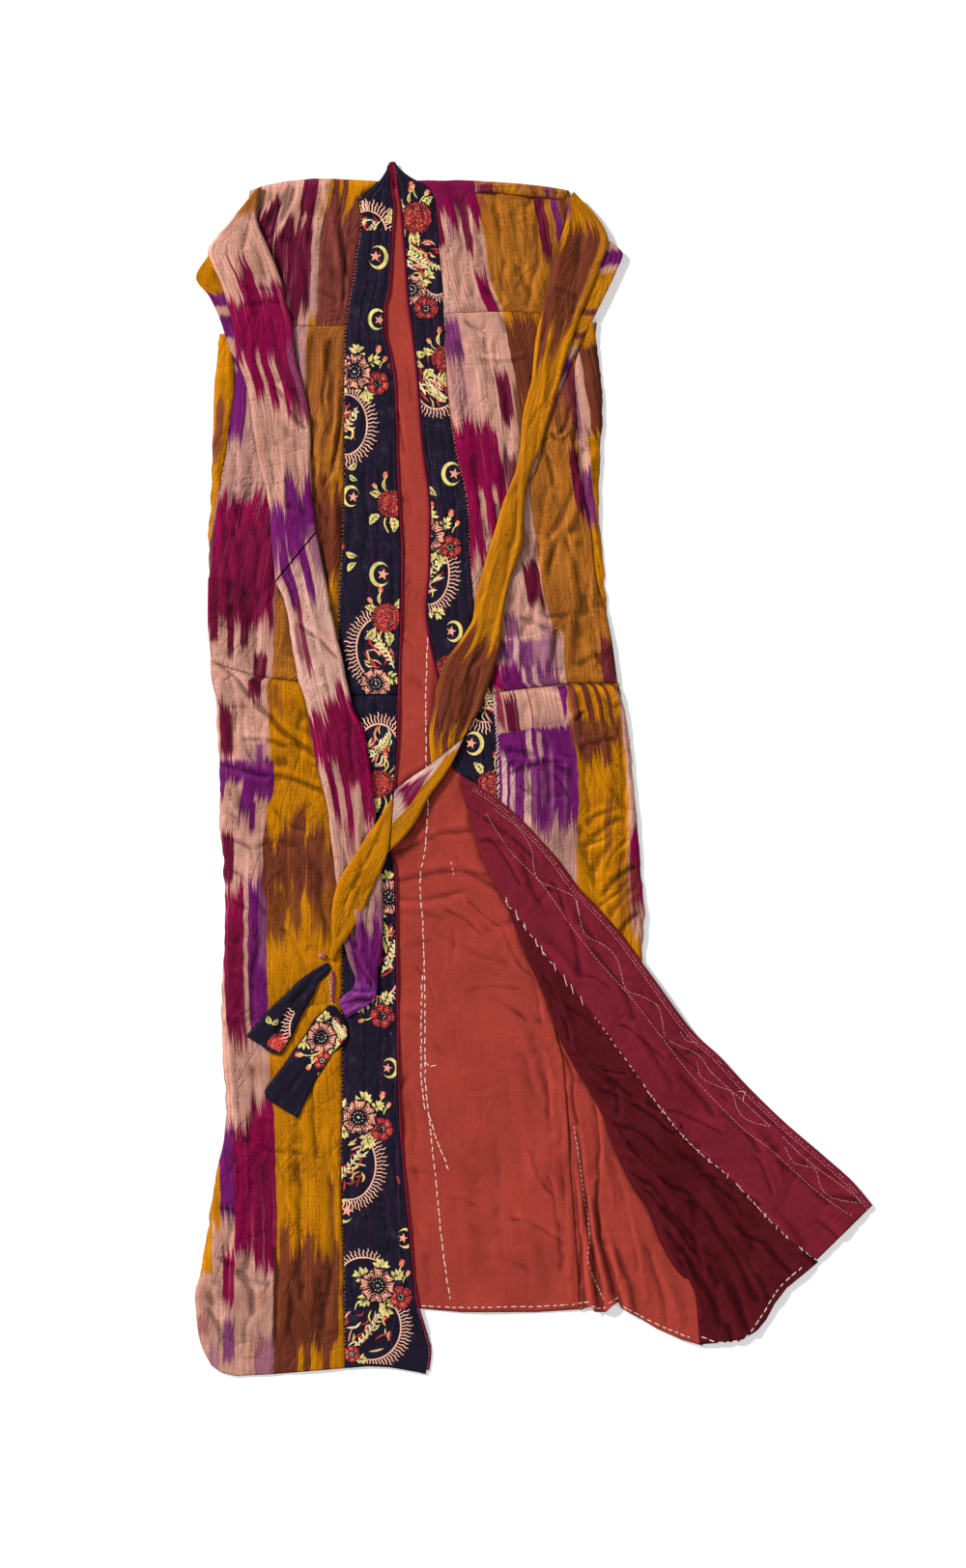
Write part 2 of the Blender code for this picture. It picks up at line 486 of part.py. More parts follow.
RIGHT_SLEEVE_TOP = table("lx ly rx ry z",
    (589, 206, 594, 199.5, 0.0092), (586, 226, 616, 223, 0.0080),
    (579, 252, 630, 250, 0.0070), (571, 278, 621, 278, 0.0069),
    (560, 325, 602, 325, 0.0069), (554, 354, 592, 354, 0.0069),
    (550, 392, 580, 392, 0.0069), (541, 432, 569, 432, 0.0069),
    (537, 470, 557, 470, 0.0069), (533, 490, 549, 490, 0.0069),
    (526, 507, 543.5, 511, 0.0069), (519, 526, 542, 537, 0.0069),
    (509, 561, 541, 567, 0.0069), (500, 588, 534, 584, 0.0069),
    (491, 627, 524, 616, 0.0069), (489, 641, 519, 649, 0.0069),
    (477, 661, 517, 674, 0.0069), (457, 693, 510, 698, 0.0069),
    (449, 730, 497, 735, 0.0069), (444, 766, 484, 757, 0.0069),
    (446, 791, 480, 763.5, 0.0069))
RIGHT_SLEEVE_TWIST = table("lx ly rx ry z",
    (445.6, 792, 480, 764.5, 0.0069), (440, 796, 470, 787, 0.0070),
    (433, 800, 455, 810, 0.0073), (424, 807, 444, 826, 0.0078),
    (416, 813, 432, 849, 0.0084), (411, 817, 418, 868, 0.0090),
    (408.5, 820, 404, 881, 0.0096))
RIGHT_SLEEVE_LOW = table("lx ly rx ry z",
    (404, 829, 407.6, 827, 0.0099), (394, 845, 405.5, 853, 0.0099),
    (384, 860, 402.5, 880, 0.0099), (366, 888, 397, 897, 0.0099),
    (349, 916, 387, 918, 0.0099), (344.5, 938, 376, 942, 0.0099),
    (343.5, 961, 364, 965, 0.0099), (344, 974, 356, 976, 0.0099),
    (342, 984, 350, 986, 0.0080), (340, 991, 346, 996, 0.0060))
strip("left_sleeve_upper", "pink", LEFT_SLEEVE_TOP, n=4, round_edge=0.0009)
strip("left_sleeve_lower", "pink", LEFT_SLEEVE_LOW, n=4, round_edge=0.0009)
strip("right_sleeve_upper", "mustard", RIGHT_SLEEVE_TOP, n=4, round_edge=0.0009)
strip("right_sleeve_twist", "plum", RIGHT_SLEEVE_TWIST, n=4, round_edge=0.0009)
strip("right_sleeve_lower", "mustard", RIGHT_SLEEVE_LOW, n=4, round_edge=0.0009)

# ------------------------------------------------------------------ cuffs and their tie
RIGHT_CUFF = table("lx ly rx ry",
    (339.5, 996, 343, 1002.5), (327, 1003, 338, 1010), (313, 1013, 332, 1016),
    (296, 1029, 322, 1034), (282, 1042, 315, 1047), (268, 1058, 306, 1066),
    (256, 1073, 295, 1087), (256.5, 1074, 292, 1092))
LEFT_CUFF = table("lx ly rx ry",
    (341, 1040.5, 347.5, 1042), (334, 1047, 352, 1050), (326, 1055, 360, 1063),
    (319, 1067, 361, 1073), (305, 1086, 346, 1091), (292, 1105, 334, 1108),
    (282, 1119, 326, 1122), (274, 1130, 317, 1139), (275.5, 1137, 308.5, 1157.5))
CUFF_END = table("share out", (0, 0), (0.3, 0), (0.65, 3.5), (1, 0))
strip("right_cuff", "navy", RIGHT_CUFF, n=4, thick=0.0026, z=CUFF_Z, round_edge=0.0007,
      bulge=CUFF_END)
strip("left_cuff", "navy", LEFT_CUFF, n=4, thick=0.0026, z=CUFF_Z, round_edge=0.0007)


def knot(name, x, y, z, rx, ry, rz, colour, rows=6, cols=10):
    """Small gathered knot: a squashed ball."""
    me = bpy.data.meshes.new(name)
    bm = bmesh.new()
    bmesh.ops.create_uvsphere(bm, u_segments=cols, v_segments=rows, radius=1.0)
    for v in bm.verts:
        v.co.x, v.co.y, v.co.z = v.co.x * rx, v.co.y * ry, v.co.z * rz
    bmesh.ops.recalc_face_normals(bm, faces=bm.faces)
    bm.to_mesh(me)
    bm.free()
    ob = bpy.data.objects.new(name, me)
    ob.location = world(np.float64(x), np.float64(y), np.float64(z))
    bpy.context.collection.objects.link(ob)
    mat = bpy.data.materials.new(name + "_cloth")
    mat.use_nodes = True
    mat.node_tree.nodes["Principled BSDF"].inputs["Base Color"].default_value = COLOURS[colour]
    mat.node_tree.nodes["Principled BSDF"].inputs["Roughness"].default_value = 0.85
    me.materials.append(mat)
    return ob


knot("tie_knot", 333.5, 989.5, 0.0080, 0.0052, 0.0046, 0.0026, "pink")


def cord(name, tab, radius, colour, sides=8):
    """Round cord through a few points of the plan."""
    me_pts = [world(tab["x"][i], tab["y"][i], tab["z"][i]) for i in range(len(tab["x"]))]
    bm = bmesh.new()
    rings = []
    for i, p in enumerate(me_pts):
        a = me_pts[max(i - 1, 0)]
        b = me_pts[min(i + 1, len(me_pts) - 1)]
        d = (b - a) / np.linalg.norm(b - a)
        u = np.cross(d, [0, 0, 1])
        u /= np.linalg.norm(u)
        v = np.cross(u, d)
        rings.append([bm.verts.new(p + radius * (math.cos(2 * math.pi * k / sides) * u
                                                 + math.sin(2 * math.pi * k / sides) * v))
                      for k in range(sides)])
    for r0, r1 in zip(rings, rings[1:]):
        for k in range(sides):
            bm.faces.new((r0[k], r0[(k + 1) % sides], r1[(k + 1) % sides], r1[k]))
    bm.faces.new(rings[0])
    bm.faces.new(rings[-1])
    bmesh.ops.recalc_face_normals(bm, faces=bm.faces)
    me = bpy.data.meshes.new(name)
    bm.to_mesh(me)
    bm.free()
    ob = bpy.data.objects.new(name, me)
    bpy.context.collection.objects.link(ob)
    mat = bpy.data.materials.new(name + "_cloth")
    mat.use_nodes = True
    mat.node_tree.nodes["Principled BSDF"].inputs["Base Color"].default_value = COLOURS[colour]
    mat.node_tree.nodes["Principled BSDF"].inputs["Roughness"].default_value = 0.85
    me.materials.append(mat)
    return ob


TIE = table("x y z", (344.5, 1006, 0.0070), (345.5, 1015, 0.0070), (344.5, 1026, 0.0069),
            (344.5, 1037.5, 0.0069))
cord("tie_cord", TIE, 0.0015, "plum")
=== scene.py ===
"""Looks of the ikat robe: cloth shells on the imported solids, dyed, printed and stitched."""
import math

import bmesh
import bpy
import numpy as np
from mathutils.bvhtree import BVHTree
from mathutils.geometry import tessellate_polygon
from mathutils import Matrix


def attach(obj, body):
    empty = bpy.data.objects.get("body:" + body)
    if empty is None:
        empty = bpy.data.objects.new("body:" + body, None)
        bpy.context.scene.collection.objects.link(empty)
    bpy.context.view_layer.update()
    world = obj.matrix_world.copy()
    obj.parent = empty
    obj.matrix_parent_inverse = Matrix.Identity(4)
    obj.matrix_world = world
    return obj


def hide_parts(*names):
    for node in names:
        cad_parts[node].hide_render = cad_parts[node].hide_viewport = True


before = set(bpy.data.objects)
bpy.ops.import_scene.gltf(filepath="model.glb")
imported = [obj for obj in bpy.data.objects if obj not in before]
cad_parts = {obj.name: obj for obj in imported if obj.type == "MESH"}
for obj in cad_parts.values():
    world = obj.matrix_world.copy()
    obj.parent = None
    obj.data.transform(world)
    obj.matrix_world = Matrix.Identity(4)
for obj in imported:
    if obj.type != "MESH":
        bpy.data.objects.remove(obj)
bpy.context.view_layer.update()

# ------------------------------------------------------------------ sizes, as in the solids
SQ = 0.0011                    # one square of the lay-out plan, in metres
PLAN_X, PLAN_Y = 552.5, 796.0  # plan square over the origin
LINING_TOP, FRONT_TOP, BAND_TOP = 0.0027, 0.0048, 0.0051
UPPER_TOP, FLAP_TOP = 0.0066, 0.0084
SLEEVE_TOP, OVER_TOP = 0.0091, 0.0120
HEM_Y, HEM_RUN = 1364.0, 30.0
SIDE_X, SIDE_RUN = 684.0, 40.0


def table(columns, *rows):
    a = np.array(rows, float)
    return {n: a[:, i] for i, n in enumerate(columns.split())}


def smooth(xs, ys, v):
    """Monotone cubic through the rows of a table."""
    xs, ys, v = np.asarray(xs, float), np.asarray(ys, float), np.asarray(v, float)
    h, d = np.diff(xs), np.diff(ys) / np.diff(xs)
    m = np.zeros(len(xs))
    m[0], m[-1] = d[0], d[-1]
    same = d[:-1] * d[1:] > 0
    w1, w2 = 2 * h[1:] + h[:-1], h[1:] + 2 * h[:-1]
    with np.errstate(divide="ignore", invalid="ignore"):
        inner = (w1 + w2) / (w1 / d[:-1] + w2 / d[1:])
    m[1:-1] = np.where(same, np.nan_to_num(inner), 0)
    k = np.clip(np.searchsorted(xs, v) - 1, 0, len(xs) - 2)
    t = np.clip((v - xs[k]) / h[k], 0, 1)
    t2, t3 = t * t, t * t * t
    return ((2 * t3 - 3 * t2 + 1) * ys[k] + (t3 - 2 * t2 + t) * h[k] * m[k]
            + (-2 * t3 + 3 * t2) * ys[k + 1] + (t3 - t2) * h[k] * m[k + 1])


def edge(tab, y):
    return smooth(tab["y"], tab["x"], y)


def seam(tab, x):
    return np.interp(x, tab["x"], tab["y"])


# ------------------------------------------------------------------ even, repeatable noise
_NOISE = {}


def noise(x, y, size, seed, stretch=1.0):
    """Smooth value noise, 0 to 1, with cells of `size` squares across and size * stretch down."""
    if seed not in _NOISE:
        _NOISE[seed] = np.random.RandomState(seed).rand(256, 256)
    g = _NOISE[seed]
    u, v = x / size + 1000.37, y / (size * stretch) + 1000.71
    iu, iv = np.floor(u).astype(int), np.floor(v).astype(int)
    fu, fv = u - iu, v - iv
    fu, fv = fu * fu * (3 - 2 * fu), fv * fv * (3 - 2 * fv)
    a, b = g[iu % 256, iv % 256], g[(iu + 1) % 256, iv % 256]
    c, d = g[iu % 256, (iv + 1) % 256], g[(iu + 1) % 256, (iv + 1) % 256]
    return (a * (1 - fu) + b * fu) * (1 - fv) + (c * (1 - fu) + d * fu) * fv


def creased(x, y, size, seed, stretch=1.0):
    """Noise with narrow ridges, as cloth that has been folded away has; 0 to 1."""
    wx = x + (noise(x, y, size * 1.7, seed + 50) - 0.5) * size * 1.2
    wy = y + (noise(x, y, size * 1.7, seed + 51) - 0.5) * size * 1.2
    return (1 - np.abs(2 * noise(wx, wy, size, seed, stretch) - 1)) ** 2


def folds(x, y, tab, body=0.75):
    """Height of the listed creases. high: metres, minus for a trough; half: squares;
    sharp: share of the half width on the far side; bow: squares off the straight line."""
    z = np.zeros(np.shape(x))
    for i in range(len(tab["x0"])):
        ax, ay, bx, by, half, high, sharp, bow = (tab[k][i] for k in (
            "x0", "y0", "x1", "y1", "half", "high", "sharp", "bow"))
        room = 6.0 * half * max(sharp, 1) + abs(bow) + 4
        near = ((x > min(ax, bx) - room) & (x < max(ax, bx) + room)
                & (y > min(ay, by) - room) & (y < max(ay, by) + room))
        if not near.any():
            continue
        px, py = x[near], y[near]
        dx, dy = bx - ax, by - ay
        n = math.hypot(dx, dy)
        t = ((px - ax) * dx + (py - ay) * dy) / n ** 2
        d = ((px - ax) * dy - (py - ay) * dx) / n
        tc = np.clip(t, 0, 1)
        wob = noise(t * n, py * 0 + i * 3.3, 17, 7) - 0.5
        d = d - bow * 4 * tc * (1 - tc) - wob * 0.045 * min(n, 90)
        w = np.where(d > 0, half, half * sharp)
        end = np.clip(np.minimum(t, 1 - t) * n / (3.0 * half) + 0.25, 0, 1)
        end = end * end * (3 - 2 * end)
        # beside each crease the cloth that it took up stands as a broad soft swell
        side = 1 if bow >= 0 else -1
        swell = np.exp(-((d - side * 2.3 * half) / (2.3 * half)) ** 2)
        z[near] += high * (np.exp(-(d / w) ** 2) - body * swell) * end * (0.7 + 0.6 * noise(t * n, py * 0 + i, 31, 90))
    return z


FOLD = "x0 y0 x1 y1 half high sharp bow"


def scatter(seed, n, x0, x1, y0, y1, lean=0.0, spread=0.6, long=(14, 60), half=(1.8, 3.6), high=(0.0003, 0.0009)):
    """Small creases strewn over a length of cloth, most of them near one direction
    (radians off the cloth's length), some across it."""
    r = np.random.RandomState(seed)
    rows = []
    for k in range(n):
        a = lean + (r.rand() + r.rand() - 1) * spread + (math.pi / 2 if r.rand() < 0.16 else 0)
        L = long[0] + (long[1] - long[0]) * r.rand() ** 1.8
        x, y = x0 + (x1 - x0) * r.rand(), y0 + (y1 - y0) * r.rand()
        dx, dy = math.sin(a) * L / 2, math.cos(a) * L / 2
        h = (high[0] + (high[1] - high[0]) * r.rand() ** 1.5) * (-1 if r.rand() < 0.7 else 1)
        rows.append((x - dx, y - dy, x + dx, y + dy, half[0] + (half[1] - half[0]) * r.rand(), h,
                     0.7 + 0.7 * r.rand(), (r.rand() - 0.5) * 0.3 * L))
    return table(FOLD, *rows)


# ------------------------------------------------------------------ edges, as in the solids
LEFT_EDGE = table("y x",
    (338, 226), (365, 226), (400, 222), (470, 219), (520, 217), (563, 216), (640, 215),
    (680, 218), (700, 219), (720, 222), (790, 226), (850, 228), (900, 232), (940, 234),
    (1000, 230), (1050, 229), (1100, 231), (1150, 234), (1180, 232), (1210, 225),
    (1260, 217), (1310, 210), (1345, 202), (1380, 204), (1405, 214), (1425, 226))
LEFT_ARMHOLE = table("y x", (185, 259), (200, 257), (263, 251), (330, 245), (338, 243))
LEFT_GORE_SEAM = table("y x",
    (338, 243), (365, 243), (400, 243), (430, 239), (470, 234), (486, 231), (520, 226),
    (563, 220.5), (596, 217))
LEFT_MIDDLE_EDGE = table("y x",
    (338, 243), (365, 243), (400, 243), (430, 239), (470, 234), (486, 231), (520, 226),
    (563, 220.5), (596, 217), (600, 215.5), (640, 215), (680, 218), (700, 219), (706, 220))
LEFT_BAND_SEAM = table("y x",
    (176, 400.3), (186, 394), (192, 388), (203, 375), (207, 371), (224, 373), (240, 373),
    (255, 370), (290, 366), (320, 360), (338, 358), (365, 356.5), (400, 356), (500, 356),
    (560, 354), (620, 351), (660, 350), (706, 351), (760, 352), (850, 353), (1000, 354),
    (1100, 354), (1215, 353), (1317, 356), (1425, 357))
LEFT_FREE_EDGE = table("y x",
    (167, 402.8), (176, 402), (186, 403), (192, 404), (203, 405.5), (216, 407), (240, 405.5), (275, 404),
    (300, 402), (320, 397), (345, 397.5), (365, 403), (400, 408), (467, 410), (530, 413),
    (572, 415), (639, 414), (706, 412), (765, 410.5), (822, 407), (880, 404), (900, 408),
    (996, 410), (1100, 411), (1160, 413), (1243, 420), (1299, 425), (1350, 431),
    (1382, 440), (1400, 444), (1423, 441))
RIGHT_FREE_EDGE = table("y x",
    (167, 409.7), (174, 409.5), (183, 411), (189, 412), (199, 413.5), (209, 415), (239, 418), (275, 421),
    (306, 423), (349, 428.5), (392, 433), (457, 438), (534, 446), (591, 445), (630, 442),
    (668, 447), (700, 454), (750, 462), (791, 468), (801, 474.5), (806, 478))
RIGHT_BAND_SEAM = table("y x",
    (174, 413), (183, 424), (187, 431), (191, 439), (199, 447), (209, 450), (224, 452),
    (262, 455), (306, 459), (327, 459.5), (345, 460), (388, 462), (400, 463), (467, 472),
    (524, 484), (572, 486), (620, 490), (668, 499), (690, 503.8), (700, 506),
    (709, 508), (763, 514), (806, 515))
RIGHT_ARMHOLE = table("y x", (187, 585), (200, 590), (250, 599), (290, 603), (327, 604))
RIGHT_GORE_SEAM = table("y x",
    (327, 604), (345, 600), (388, 595), (440, 598), (470, 600), (510, 605), (545, 612),
    (600, 618), (640, 627))
RIGHT_MIDDLE_EDGE = table("y x",
    (327, 604), (345, 600), (388, 595), (440, 598), (470, 600), (510, 605), (545, 612),
    (600, 618), (640, 627), (644, 629.3), (668, 634), (690, 637), (712, 640), (720, 641.5))
RIGHT_EDGE = table("y x",
    (327, 618), (345, 618), (365, 619), (388, 622), (400, 623), (440, 624), (470, 622),
    (510, 620), (545, 621), (570, 623), (600, 626), (640, 629), (668, 634), (690, 637),
    (712, 640), (735, 645), (763, 652), (800, 655), (850, 660), (898, 663), (945, 667),
    (985, 665), (1050, 664), (1150, 665), (1240, 665))
TURN_FOLD = table("y x",
    (806, 476), (830, 481), (870, 491), (930, 522), (991, 545), (1037, 565), (1080, 581),
    (1121, 604), (1157, 624), (1186, 634), (1223, 651), (1255, 671), (1281, 680),
    (1311, 696), (1340, 718), (1392, 723))
LOWER_LEFT = table("y x",
    (700, 506), (709, 508), (763, 514), (830, 515.5), (900, 516.5), (930, 528), (991, 551),
    (1037, 571), (1080, 587), (1121, 610), (1157, 630), (1186, 640), (1215, 651))
BAND_DOWN = table("y x",
    (174, 409.5), (183, 411), (189, 412), (199, 413.5), (209, 415), (239, 418), (275, 421),
    (306, 423), (349, 428.5), (392, 433), (457, 438), (534, 446), (591, 445), (630, 442),
    (668, 447), (700, 454), (750, 462), (791, 468), (801, 474.5), (806, 482), (830, 488),
    (870, 499), (900, 512))
BAND_SEAM_DOWN = table("y x",
    (174, 413), (183, 424), (187, 431), (191, 439), (199, 447), (209, 450), (224, 452),
    (262, 455), (306, 459), (327, 459.5), (345, 460), (388, 462), (400, 463), (467, 472),
    (524, 484), (572, 486), (620, 490), (668, 499), (709, 508), (763, 514), (830, 515),
    (900, 515.5))
LEFT_TOP = table("x y", (257, 199), (271, 194), (296, 188), (310, 186), (345, 185), (392, 188))
LEFT_CROSS_1 = table("x y", (240, 338), (358, 338))
LEFT_CROSS_2 = table("x y", (217, 685), (240, 693), (275, 702), (310, 706), (352, 706))
LEFT_HEM = table("x y", (214, 1405), (226, 1421), (240, 1425), (283, 1423), (357, 1417))
BAND_HEM = table("x y", (357, 1417), (381, 1415), (403, 1416), (433, 1421), (441, 1423))
RIGHT_TOP = table("x y", (431, 187), (490, 187), (510, 188), (560, 193), (590, 198))
RIGHT_CROSS_1 = table("x y", (459, 325), (520, 323), (604, 327))
RIGHT_CROSS_2 = table("x y", (508, 718), (592, 708), (640, 708))
PATCH_LEFT = table("y x", (700, 512), (763, 515.5))
PATCH_RIGHT = table("y x", (700, 592), (770, 592))
PATCH_FOOT = table("x y", (513, 763), (592, 753))
BACK_HEM = table("x y", (205, 1355), (432, 1355), (478, 1359), (555, 1359), (600, 1356))
FRONT_RIDGES = table("x0 y0 x1 y1 half high",
    (296, 1190, 300, 1370, 9, 0.0016), (330, 1180, 322, 1390, 8, 0.0014),
    (252, 1180, 236, 1390, 9, 0.0022), (262, 860, 258, 1060, 8, 0.0012),
    (312, 1200, 314, 1300, 8, 0.0012), (545, 820, 560, 860, 9, 0.0008),
    (624, 770, 634, 960, 8, 0.0013), (586, 560, 592, 690, 9, 0.0012),
    (604, 500, 612, 680, 8, 0.0012))
GORE_PLEATS = table("share half high start",
    (0.10, 0.050, 0.0042, 0.35), (0.24, 0.045, 0.0052, 0.45), (0.40, 0.050, 0.0030, 0.60))
BACK_LEFT = table("y x",
    (189, 278), (200, 270), (263, 262), (330, 256), (338, 250), (345, 232), (400, 227), (520, 222),
    (640, 220), (720, 227), (850, 233), (940, 239), (1050, 234), (1150, 239), (1210, 230),
    (1310, 215), (1356, 208))
BACK_RIGHT = table("y x",
    (189, 576), (200, 580), (250, 590), (327, 596), (338, 604), (345, 611), (400, 618), (440, 619),
    (520, 615), (600, 620), (690, 631), (763, 646), (850, 654), (945, 660), (1050, 660),
    (1150, 661), (1240, 662), (1255, 670), (1281, 679), (1311, 695), (1340, 717),
    (1356, 718.5))
BACK_FOOT = table("x y",
    (205, 1354), (432, 1354), (478, 1358), (555, 1358), (600, 1354), (642, 1348),
    (667, 1369), (699, 1385), (722, 1391))
BACK_TOP = table("x y", (262, 206), (273, 202), (296, 195), (345, 190.5), (510, 193), (590, 205))
LINING_LEFT = table("y x", (196, 384), (400, 384), (1100, 384), (1356, 384))
LINING_RIGHT = table("y x",
    (196, 430), (262, 438), (345, 442), (400, 448), (467, 454), (572, 460), (640, 459),
    (700, 470), (763, 482), (806, 492), (870, 505), (930, 532), (991, 556), (1037, 574),
    (1060, 575), (1100, 583), (1150, 587), (1200, 590), (1225, 592), (1250, 594),
    (1280, 596), (1305, 598), (1330, 599), (1356, 600))
GORE_LINING = table("lx ly rx ry",
    (575.5, 1060, 588, 1062), (583.5, 1100, 606, 1100), (587.5, 1150, 629, 1150),
    (590.5, 1200, 645, 1200), (592.5, 1225, 655, 1226), (594.5, 1250, 669, 1255),
    (596.5, 1280, 679, 1281), (598.5, 1305, 695, 1311), (599.5, 1330, 717, 1340),
    (600.5, 1357, 722, 1392))
GORE_NOTCH = table("share out", (0, 0), (0.045, -4.5), (0.088, -8), (0.112, -2.5), (0.205, -5.5), (0.235, -13), (0.285, -20),
                   (0.318, -14), (0.46, -10), (0.64, -4), (0.85, 0), (1, 0))
FACING = table("lx ly rx ry",
    (476, 808, 478, 804), (481, 830, 493, 812), (487, 850, 511, 824), (499, 887, 546, 855),
    (522, 930, 574, 886), (548, 966, 596, 916), (574, 1001, 636, 959),
    (616, 1053, 673, 1008), (661, 1116, 722, 1073), (683, 1147, 742, 1091),
    (715, 1185, 769, 1120), (758, 1222, 811, 1161), (801, 1268, 854, 1198),
    (825, 1290, 882, 1223), (845, 1305, 903, 1248))
LINING = table("lx ly rx ry",
    (522.5, 932, 525, 934), (545, 991, 564, 987.5), (565, 1037, 590, 1021),
    (581, 1080, 616, 1053.5), (604, 1121, 645, 1094), (624, 1157, 672, 1132),
    (634, 1186, 692, 1158), (651, 1223, 715, 1185.5), (671.5, 1255, 745, 1211),
    (681, 1281, 770, 1235), (697, 1311, 792, 1258), (719, 1340, 820, 1285),
    (724, 1392, 842, 1311))
LINING_HEM = table("share out", (0, 0), (0.25, 21), (0.40, 22), (0.50, 18), (0.62, 9),
                   (0.75, 3), (1, 0))
SHOULDER = table("lx ly rx ry",
    (493, 192, 492, 200), (510, 190, 511, 200), (530, 191, 530, 203), (560, 194, 562, 204.5),
    (580, 197, 578, 208), (588, 199, 584, 208))
LEFT_GUSSET = table("lx ly rx ry",
    (215, 266, 240, 262), (203, 288, 246, 288), (217, 308, 250, 308), (227, 329, 254, 329),
    (236, 356, 258, 356), (249, 390, 262, 390))
RIGHT_GUSSET = table("lx ly rx ry",
    (616, 252, 631, 250), (610, 268, 644.6, 264), (606, 284, 638.5, 280),
    (592, 323, 618, 323), (586, 337, 611, 337), (570, 380, 590, 380), (560, 421, 576, 421),
    (550, 455, 562, 455), (543, 480, 557, 480), (538, 505, 546, 507))
LEFT_SLEEVE_TOP = table("lx ly rx ry z",
    (264, 198, 271, 194, 0.0069), (241, 227, 266, 224, 0.0069),
    (215.5, 263, 282, 265, 0.0069), (226, 288, 291, 288, 0.0069),
    (234, 310, 297, 312, 0.0069), (241, 339, 303, 338, 0.0069),
    (246.5, 374, 307, 374, 0.0069), (255.5, 400, 315, 400, 0.0069),
    (261, 438, 321.5, 438, 0.0069), (268, 480, 322.5, 480, 0.0069),
    (277, 515, 324, 515, 0.0069), (280, 540, 327, 540, 0.0072),
    (284.7, 602, 327, 550.5, 0.0074))
LEFT_SLEEVE_LOW = table("lx ly rx ry z",
    (285.3, 604, 328, 552, 0.0068), (294, 622, 334, 582, 0.0068),
    (299.5, 649, 341, 620, 0.0068), (303, 672, 349, 658, 0.0068),
    (308, 700, 357, 692, 0.0068), (317, 732, 364, 728, 0.0068),
    (322, 760, 378, 758, 0.0068), (330, 800, 385, 800, 0.0068),
    (338, 832, 388, 830, 0.0068), (343, 870, 391, 865, 0.0068),
    (347, 905, 395, 900, 0.0068), (350, 940, 397, 935, 0.0068),
    (353, 970, 397, 965, 0.0068), (358, 986, 395, 988, 0.0068),
    (363, 1001, 391.5, 1007, 0.0067), (367.5, 1014, 390.5, 1025, 0.0064),
    (366, 1023, 385.5, 1037, 0.0061), (358, 1029.5, 373.5, 1046, 0.0058),
    (350, 1037, 359, 1054, 0.0056))
RIGHT_SLEEVE_TOP = table("lx ly rx ry z",
    (589, 206, 594, 199.5, 0.0092), (586, 226, 616, 223, 0.0080),
    (579, 252, 630, 250, 0.0070), (571, 278, 621, 278, 0.0069),
    (560, 325, 602, 325, 0.0069), (554, 354, 592, 354, 0.0069),
    (550, 392, 580, 392, 0.0069), (541, 432, 569, 432, 0.0069),
    (537, 470, 557, 470, 0.0069), (533, 490, 549, 490, 0.0069),
    (526, 507, 543.5, 511, 0.0069), (519, 526, 542, 537, 0.0069),
    (509, 561, 541, 567, 0.0069), (500, 588, 534, 584, 0.0069),
    (491, 627, 524, 616, 0.0069), (489, 641, 519, 649, 0.0069),
    (477, 661, 517, 674, 0.0069), (457, 693, 510, 698, 0.0069),
    (449, 730, 497, 735, 0.0069), (444, 766, 484, 757, 0.0069),
    (446, 791, 480, 763.5, 0.0069))
RIGHT_SLEEVE_TWIST = table("lx ly rx ry z",
    (445.6, 792, 480, 764.5, 0.0069), (440, 796, 470, 787, 0.0070),
    (433, 800, 455, 810, 0.0073), (424, 807, 444, 826, 0.0078),
    (416, 813, 432, 849, 0.0084), (411, 817, 418, 868, 0.0090),
    (408.5, 820, 404, 881, 0.0096))
RIGHT_SLEEVE_LOW = table("lx ly rx ry z",
    (404, 829, 407.6, 827, 0.0099), (394, 845, 405.5, 853, 0.0099),
    (384, 860, 402.5, 880, 0.0099), (366, 888, 397, 897, 0.0099),
    (349, 916, 387, 918, 0.0099), (344.5, 938, 376, 942, 0.0099),
    (343.5, 961, 364, 965, 0.0099), (344, 974, 356, 976, 0.0099),
    (342, 984, 350, 986, 0.0080), (340, 991, 346, 996, 0.0060))
RIGHT_CUFF = table("lx ly rx ry",
    (339.5, 996, 343, 1002.5), (327, 1003, 338, 1010), (313, 1013, 332, 1016),
    (296, 1029, 322, 1034), (282, 1042, 315, 1047), (268, 1058, 306, 1066),
    (256, 1073, 295, 1087), (256.5, 1074, 292, 1092))
LEFT_CUFF = table("lx ly rx ry",
    (341, 1040.5, 347.5, 1042), (334, 1047, 352, 1050), (326, 1055, 360, 1063),
    (319, 1067, 361, 1073), (305, 1086, 346, 1091), (292, 1105, 334, 1108),
    (282, 1119, 326, 1122), (274, 1130, 317, 1139), (275.5, 1137, 308.5, 1157.5))
CUFF_END = table("share out", (0, 0), (0.3, 0), (0.65, 3.5), (1, 0))
TIE = table("x y z", (344.5, 1006, 0.0070), (345.5, 1015, 0.0070), (344.5, 1026, 0.0069),
            (344.5, 1037.5, 0.0069))
# where the pink stripe of the fronts' cloth meets the mustard one
LEFT_STRIPE = table("y x",
    (187, 335), (215, 331), (240, 325), (300, 322), (338, 320), (345, 318), (400, 316),
    (470, 310), (560, 296), (620, 286), (700, 283), (706, 277), (760, 279), (800, 280),
    (850, 275), (1000, 273), (1050, 275), (1165, 283), (1300, 286), (1425, 284))
RIGHT_STRIPE = table("y x",
    (187, 489), (240, 500), (290, 508), (320, 519), (360, 527), (400, 535), (500, 548),
    (560, 556), (620, 565), (650, 573), (706, 577), (712, 583), (755, 592), (820, 597),
    (898, 596), (960, 600), (1240, 620))


# ------------------------------------------------------------------ cloth as grids of points
MADE = {}


def metres(x, y, z):
    return np.stack([(x - PLAN_X) * SQ, (PLAN_Y - y) * SQ, z], axis=-1)


